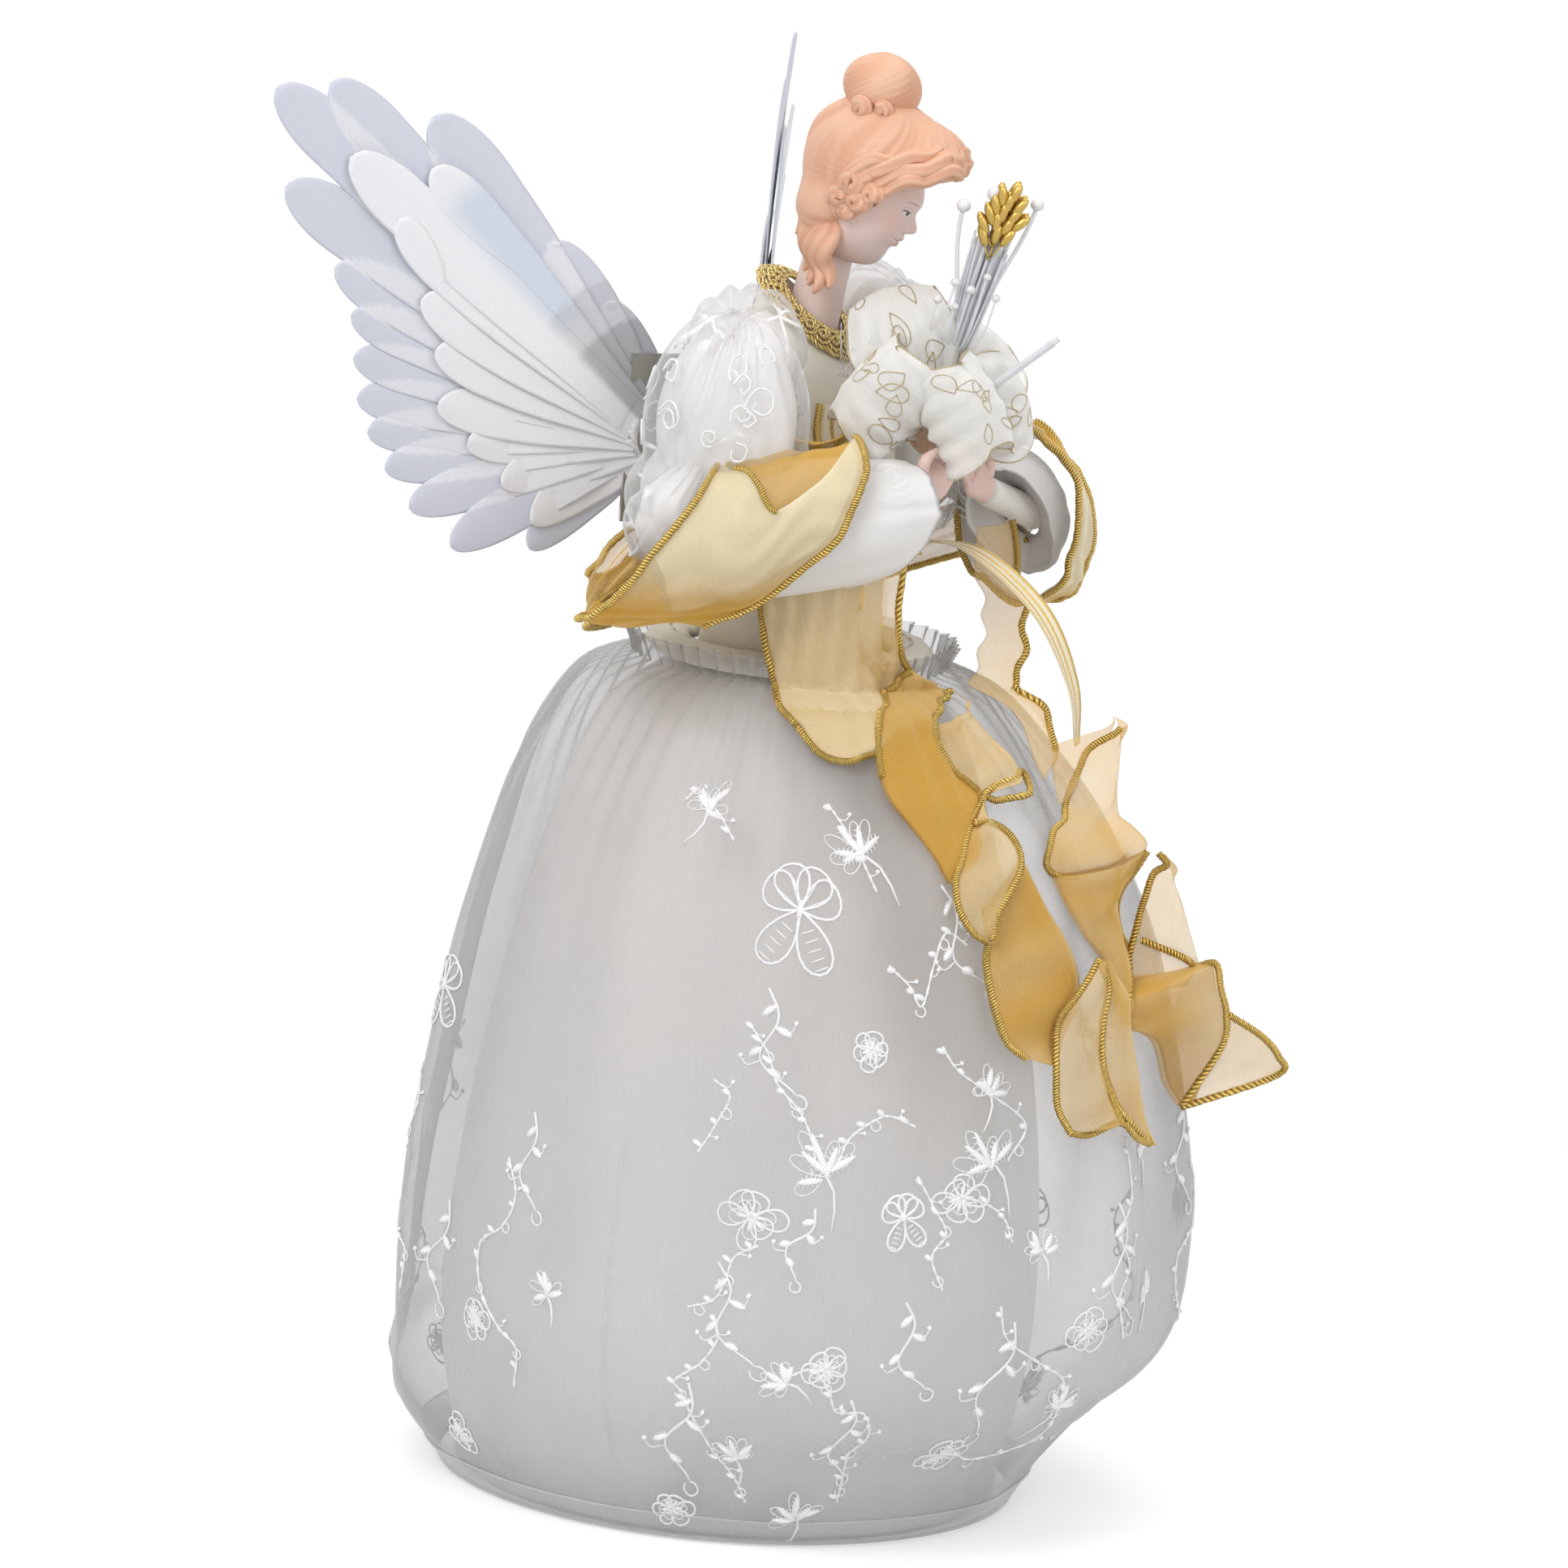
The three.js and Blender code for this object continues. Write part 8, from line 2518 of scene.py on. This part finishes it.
def plated_material():
    """Zinc plate: fine brushing along the height and faint yellow patches."""
    made, tree, shader, place = new_material("Zinc plate", Metallic=1.0, Roughness=0.32)
    mottle = mottled(tree, place, 110.0)
    lines = noise(tree, stretched(tree, place["Object"], 2600.0, 2600.0, 90.0), 1.0, 2.0)
    base = mix_colour(tree, mottle["Value"], (0.55, 0.56, 0.58), (0.66, 0.63, 0.52))
    rough = math_node(tree, "MULTIPLY_ADD", lines, 0.3, 0.18)
    feed(tree, shader, Base_Color=base, Roughness=rough)
    bump(tree, shader, lines, 0.05 * MM, 0.35)
    return made


def board_material():
    """Solder mask: green with paler copper tracks in squared lines."""
    made, tree, shader, place = new_material("Lamp board", Roughness=0.35, Coat_Weight=0.4)
    scaled = stretched(tree, place["Object"], 420.0, 420.0, 420.0)
    cells = add_node(
        tree, "ShaderNodeTexVoronoi", {"Vector": scaled, "Randomness": 0.35}, distance="CHEBYCHEV"
    )
    track = map_range(tree, cells.outputs[0], 0.4, 0.46)
    base = mix_colour(tree, track, (0.01, 0.12, 0.05), (0.05, 0.3, 0.13))
    feed(tree, shader, Base_Color=base)
    bump(tree, shader, track, 0.1 * MM, 0.5)
    return made


def make_inner(sizes, colours):
    """Finishes for the CAD solids that stay, and a round sleeve for the lead."""
    finishes = {
        "cone_card": card_material(),
        "moulded_white": sculpted_material("Moulded white", (0.72, 0.71, 0.67), roughness=0.45, grain=0.08 * MM),
        "cell_sleeve": sculpted_material(
            "Cell sleeve", (0.035, 0.042, 0.055), roughness=0.3, grain=0.03 * MM, coat=0.4
        ),
        "plated_steel": plated_material(),
        "circuit_board": board_material(),
        "clear_plastic": clear_material("Clear plastic", (0.8, 0.83, 0.86), 0.3),
        "light_fibre": clear_material("Fibre bundle", (0.7, 0.73, 0.77), 0.55),
        "wire_sleeve": sculpted_material("Wire sleeve", (0.7, 0.7, 0.68), roughness=0.5, grain=0.05 * MM),
    }
    for node in frame["nodes"].values():
        finish = finishes.get(node.data.materials[0].name)
        if finish and not node.hide_render:
            node.data.materials.clear()
            node.data.materials.append(finish)
    make_lead(finishes["wire_sleeve"])


# The lead's radius, and how far it rises straight off the battery box.
LEAD_RADIUS = 1.1 * MM
LEAD_RISE = 8 * MM


def make_lead(sleeve):
    """The lead from the battery box up to the lamp board, as a round cord in place of the solid."""
    low, high = corners("lead_wire")
    box_low, box_high = corners("battery_box")
    aside, back = box_low[0] / 2, high[1] - LEAD_RADIUS
    box_top, housing = box_high[2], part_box("light_housing")[0].z
    climb = housing - box_top
    route = spline(
        [
            (aside, back, low[2]),
            (aside, back, box_top + LEAD_RISE),
            (aside, back * 0.86, box_top + climb * 0.3),
            (aside * 0.9, back * 0.6, box_top + climb * 0.62),
            (aside * 0.7, back * 0.22, box_top + climb * 0.9),
            (aside / 2, 0, housing),
            (aside / 2, 0, high[2]),
        ],
        140,
    )
    lead = Shape().rod(route, LEAD_RADIUS, 12)
    piece = lead.make("lead_sleeve", sleeve, slot="wire_sleeve", replaces=["lead_wire"])


# Stage: camera, lamps, floor and background

# The camera's angles, distance and lens as found from the photo, and its small shifts in the picture.
CAMERA_AZIMUTH = -56 * DEG
CAMERA_ELEVATION = 11 * DEG
CAMERA_ROLL = 4.6 * DEG
CAMERA_DISTANCE = 3.0
CAMERA_TARGET = np.array([0, 0, 0.200])
CAMERA_LENS = 248.2
CAMERA_ASIDE = 5 / 4.44 * MM
CAMERA_DOWN = 13 / 4.44 * MM


def camera_axes():
    """Right, up and backward directions of the camera, before its roll."""
    level, rise = np.cos(CAMERA_ELEVATION), np.sin(CAMERA_ELEVATION)
    back = np.array([np.sin(CAMERA_AZIMUTH) * level, -np.cos(CAMERA_AZIMUTH) * level, rise])
    right = np.array([np.cos(CAMERA_AZIMUTH), np.sin(CAMERA_AZIMUTH), 0])
    return right, np.cross(back, right), back


def add_lamp(name, place, size, power, tint=(1, 1, 1)):
    """A square area lamp that faces the figure's middle."""
    lamp = bpy.data.lights.new(name, "AREA")
    lamp.shape, lamp.size, lamp.energy, lamp.color = "SQUARE", size, power, tint
    holder = bpy.data.objects.new(name, lamp)
    holder.location = Vector(place)
    holder.rotation_mode = "QUATERNION"
    holder.rotation_quaternion = (Vector(CAMERA_TARGET) - holder.location).to_track_quat("-Z", "Y")
    bpy.context.scene.collection.objects.link(holder)


def make_camera():
    """The camera at the photo's angle, level turned by the photo's small roll."""
    right, up, back = camera_axes()
    cos, sin = np.cos(CAMERA_ROLL), np.sin(CAMERA_ROLL)
    across, above = right * cos + up * sin, up * cos - right * sin
    camera = bpy.data.objects.new("Camera", bpy.data.cameras.new("Camera"))
    camera.data.lens, camera.data.sensor_width = CAMERA_LENS, 36
    camera.data.clip_start, camera.data.clip_end = 0.1, 20
    place = CAMERA_TARGET + back * CAMERA_DISTANCE + across * CAMERA_ASIDE - above * CAMERA_DOWN
    camera.matrix_world = Matrix(np.column_stack([across, above, back, place]).tolist() + [[0, 0, 0, 1]])
    bpy.context.scene.collection.objects.link(camera)
    bpy.context.scene.camera = camera


def make_world():
    """A white background for the camera, and a plain soft light for everything else."""
    world = bpy.data.worlds.new("World")
    bpy.context.scene.world = world
    world.use_nodes = True
    tree = world.node_tree
    background = next(node for node in tree.nodes if node.type == "BACKGROUND")
    path = add_node(tree, "ShaderNodeLightPath").outputs
    seen = math_node(tree, "MAXIMUM", path["Is Camera Ray"], path["Is Transmission Ray"])
    seen = math_node(tree, "MAXIMUM", seen, path["Is Glossy Ray"])
    strength = map_range(tree, seen, 0.0, 1.0, 0.62, 1.0)
    background.inputs["Color"].default_value = (1, 1, 1, 1)
    tree.links.new(strength, background.inputs["Strength"])


def make_stage():
    """Camera, world, lamps and a white floor."""
    scene = bpy.context.scene
    scene.view_settings.view_transform = "Standard"
    scene.cycles.transparent_max_bounces = 48
    make_camera()
    make_world()
    right, _, back = camera_axes()
    add_lamp("Key", back * 1.5 - right * 0.9 + np.array([0, 0, 1.3]), 1.0, 18.5)
    add_lamp("Fill", back * 1.6 + right * 1.3 + np.array([0, 0, 0.7]), 1.4, 9)
    add_lamp("Top", np.array([0, 0, 2.0]) - back * 0.3, 1.5, 11)
    floor_mesh = bpy.data.meshes.new("Floor")
    half = 6.0
    corners = [(-half, -half, 0), (half, -half, 0), (half, half, 0), (-half, half, 0)]
    floor_mesh.from_pydata(corners, [], [(0, 1, 2, 3)])
    floor = bpy.data.objects.new("Floor", floor_mesh)
    scene.collection.objects.link(floor)
    made, tree, shader, place = new_material("Floor", Roughness=0.9)
    mottle = mottled(tree, place, 3.0)
    feed(tree, shader, Base_Color=tinted(tree, mottle["Value"], (0.88, 0.88, 0.88), 0.99, 1.01))
    path = add_node(tree, "ShaderNodeLightPath").outputs
    shader.inputs["Emission Color"].default_value = (1, 1, 1, 1)
    feed(tree, shader, Emission_Strength=math_node(tree, "MULTIPLY", path["Is Camera Ray"], 0.3))
    distance = add_node(tree, "ShaderNodeVectorMath", {0: place["Object"]}, operation="LENGTH").outputs["Value"]
    fade = map_range(tree, distance, 0.22, 0.6, 1.0, 0.0)
    feed(tree, shader, Alpha=fade)
    floor_mesh.materials.append(made)


# Operators, panel and registration


def settings(context):
    """The scene's sizes and colours."""
    return context.scene.topper_sizes, context.scene.topper_colours


class TOPPER_OT_skirts(bpy.types.Operator):
    """Make the lining and the sheer overskirt"""

    bl_idname = "topper.skirts"
    bl_label = "Skirts"

    def execute(self, context):
        make_lining(*settings(context))
        make_overskirt(*settings(context))
        return {"FINISHED"}


class TOPPER_OT_embroidery(bpy.types.Operator):
    """Embroider the overskirt"""

    bl_idname = "topper.embroidery"
    bl_label = "Embroidery"

    def execute(self, context):
        make_embroidery(*settings(context))
        return {"FINISHED"}


class TOPPER_OT_body(bpy.types.Operator):
    """Make the padded body, the bodice and the waist band"""

    bl_idname = "topper.body"
    bl_label = "Body"

    def execute(self, context):
        make_body(*settings(context))
        return {"FINISHED"}


class TOPPER_OT_sleeves(bpy.types.Operator):
    """Make the bell sleeves and the puff sleeves"""

    bl_idname = "topper.sleeves"
    bl_label = "Sleeves"

    def execute(self, context):
        make_bells(*settings(context))
        make_puffs(*settings(context))
        return {"FINISHED"}


class TOPPER_OT_shawl(bpy.types.Operator):
    """Make the shawl and its gold cord"""

    bl_idname = "topper.shawl"
    bl_label = "Shawl"

    def execute(self, context):
        make_shawl(*settings(context))
        return {"FINISHED"}


class TOPPER_OT_ribbons(bpy.types.Operator):
    """Make the striped sash, its bow and its streamer"""

    bl_idname = "topper.ribbons"
    bl_label = "Ribbons"

    def execute(self, context):
        make_ribbons(*settings(context))
        return {"FINISHED"}


class TOPPER_OT_wings(bpy.types.Operator):
    """Make the feathers of both wings"""

    bl_idname = "topper.wings"
    bl_label = "Wings"

    def execute(self, context):
        make_wings(*settings(context))
        return {"FINISHED"}


class TOPPER_OT_bust(bpy.types.Operator):
    """Sculpt the bust, its hair and the hands"""

    bl_idname = "topper.bust"
    bl_label = "Bust and hands"

    def execute(self, context):
        make_bust(*settings(context))
        make_hands(*settings(context))
        return {"FINISHED"}


class TOPPER_OT_collar(bpy.types.Operator):
    """Make the openwork collar"""

    bl_idname = "topper.collar"
    bl_label = "Collar"

    def execute(self, context):
        make_collar(*settings(context))
        return {"FINISHED"}


class TOPPER_OT_bouquet(bpy.types.Operator):
    """Make the ribbon loops, the knot, the light fibres, pearls and beads"""

    bl_idname = "topper.bouquet"
    bl_label = "Bouquet"

    def execute(self, context):
        make_petals(*settings(context))
        make_spray(*settings(context))
        return {"FINISHED"}


class TOPPER_OT_inner(bpy.types.Operator):
    """Finish the cone, the light unit, the battery unit and the wing fittings"""

    bl_idname = "topper.inner"
    bl_label = "Inner parts"

    def execute(self, context):
        make_inner(*settings(context))
        return {"FINISHED"}


class TOPPER_OT_stage(bpy.types.Operator):
    """Set the camera, lamps, floor and background"""

    bl_idname = "topper.stage"
    bl_label = "Stage"

    def execute(self, context):
        make_stage()
        return {"FINISHED"}


OPERATORS = [
    TOPPER_OT_skirts,
    TOPPER_OT_embroidery,
    TOPPER_OT_body,
    TOPPER_OT_sleeves,
    TOPPER_OT_shawl,
    TOPPER_OT_ribbons,
    TOPPER_OT_wings,
    TOPPER_OT_bust,
    TOPPER_OT_collar,
    TOPPER_OT_bouquet,
    TOPPER_OT_inner,
    TOPPER_OT_stage,
]


class TOPPER_PT_panel(bpy.types.Panel):
    """Lists the topper's sizes, colours and operators"""

    bl_label = "Angel tree topper"
    bl_idname = "TOPPER_PT_panel"
    bl_space_type = "VIEW_3D"
    bl_region_type = "UI"
    bl_category = "Topper"

    def draw(self, context):
        for group in settings(context):
            column = self.layout.column()
            for name in group.__annotations__:
                column.prop(group, name)
        for operator in OPERATORS:
            self.layout.operator(operator.bl_idname)


CLASSES = [TopperSizes, TopperColours, *OPERATORS, TOPPER_PT_panel]


def register():
    """Registers the classes and hangs the property groups on the scene."""
    for kind in CLASSES:
        bpy.utils.register_class(kind)
    bpy.types.Scene.topper_sizes = bpy.props.PointerProperty(type=TopperSizes)
    bpy.types.Scene.topper_colours = bpy.props.PointerProperty(type=TopperColours)


def unregister():
    """Undoes register."""
    del bpy.types.Scene.topper_colours
    del bpy.types.Scene.topper_sizes
    for kind in reversed(CLASSES):
        bpy.utils.unregister_class(kind)


def main():
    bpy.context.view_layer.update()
    register()
    for operator in OPERATORS:
        space, name = operator.bl_idname.split(".")
        getattr(getattr(bpy.ops, space), name)()


if __name__ == "__main__":
    main()
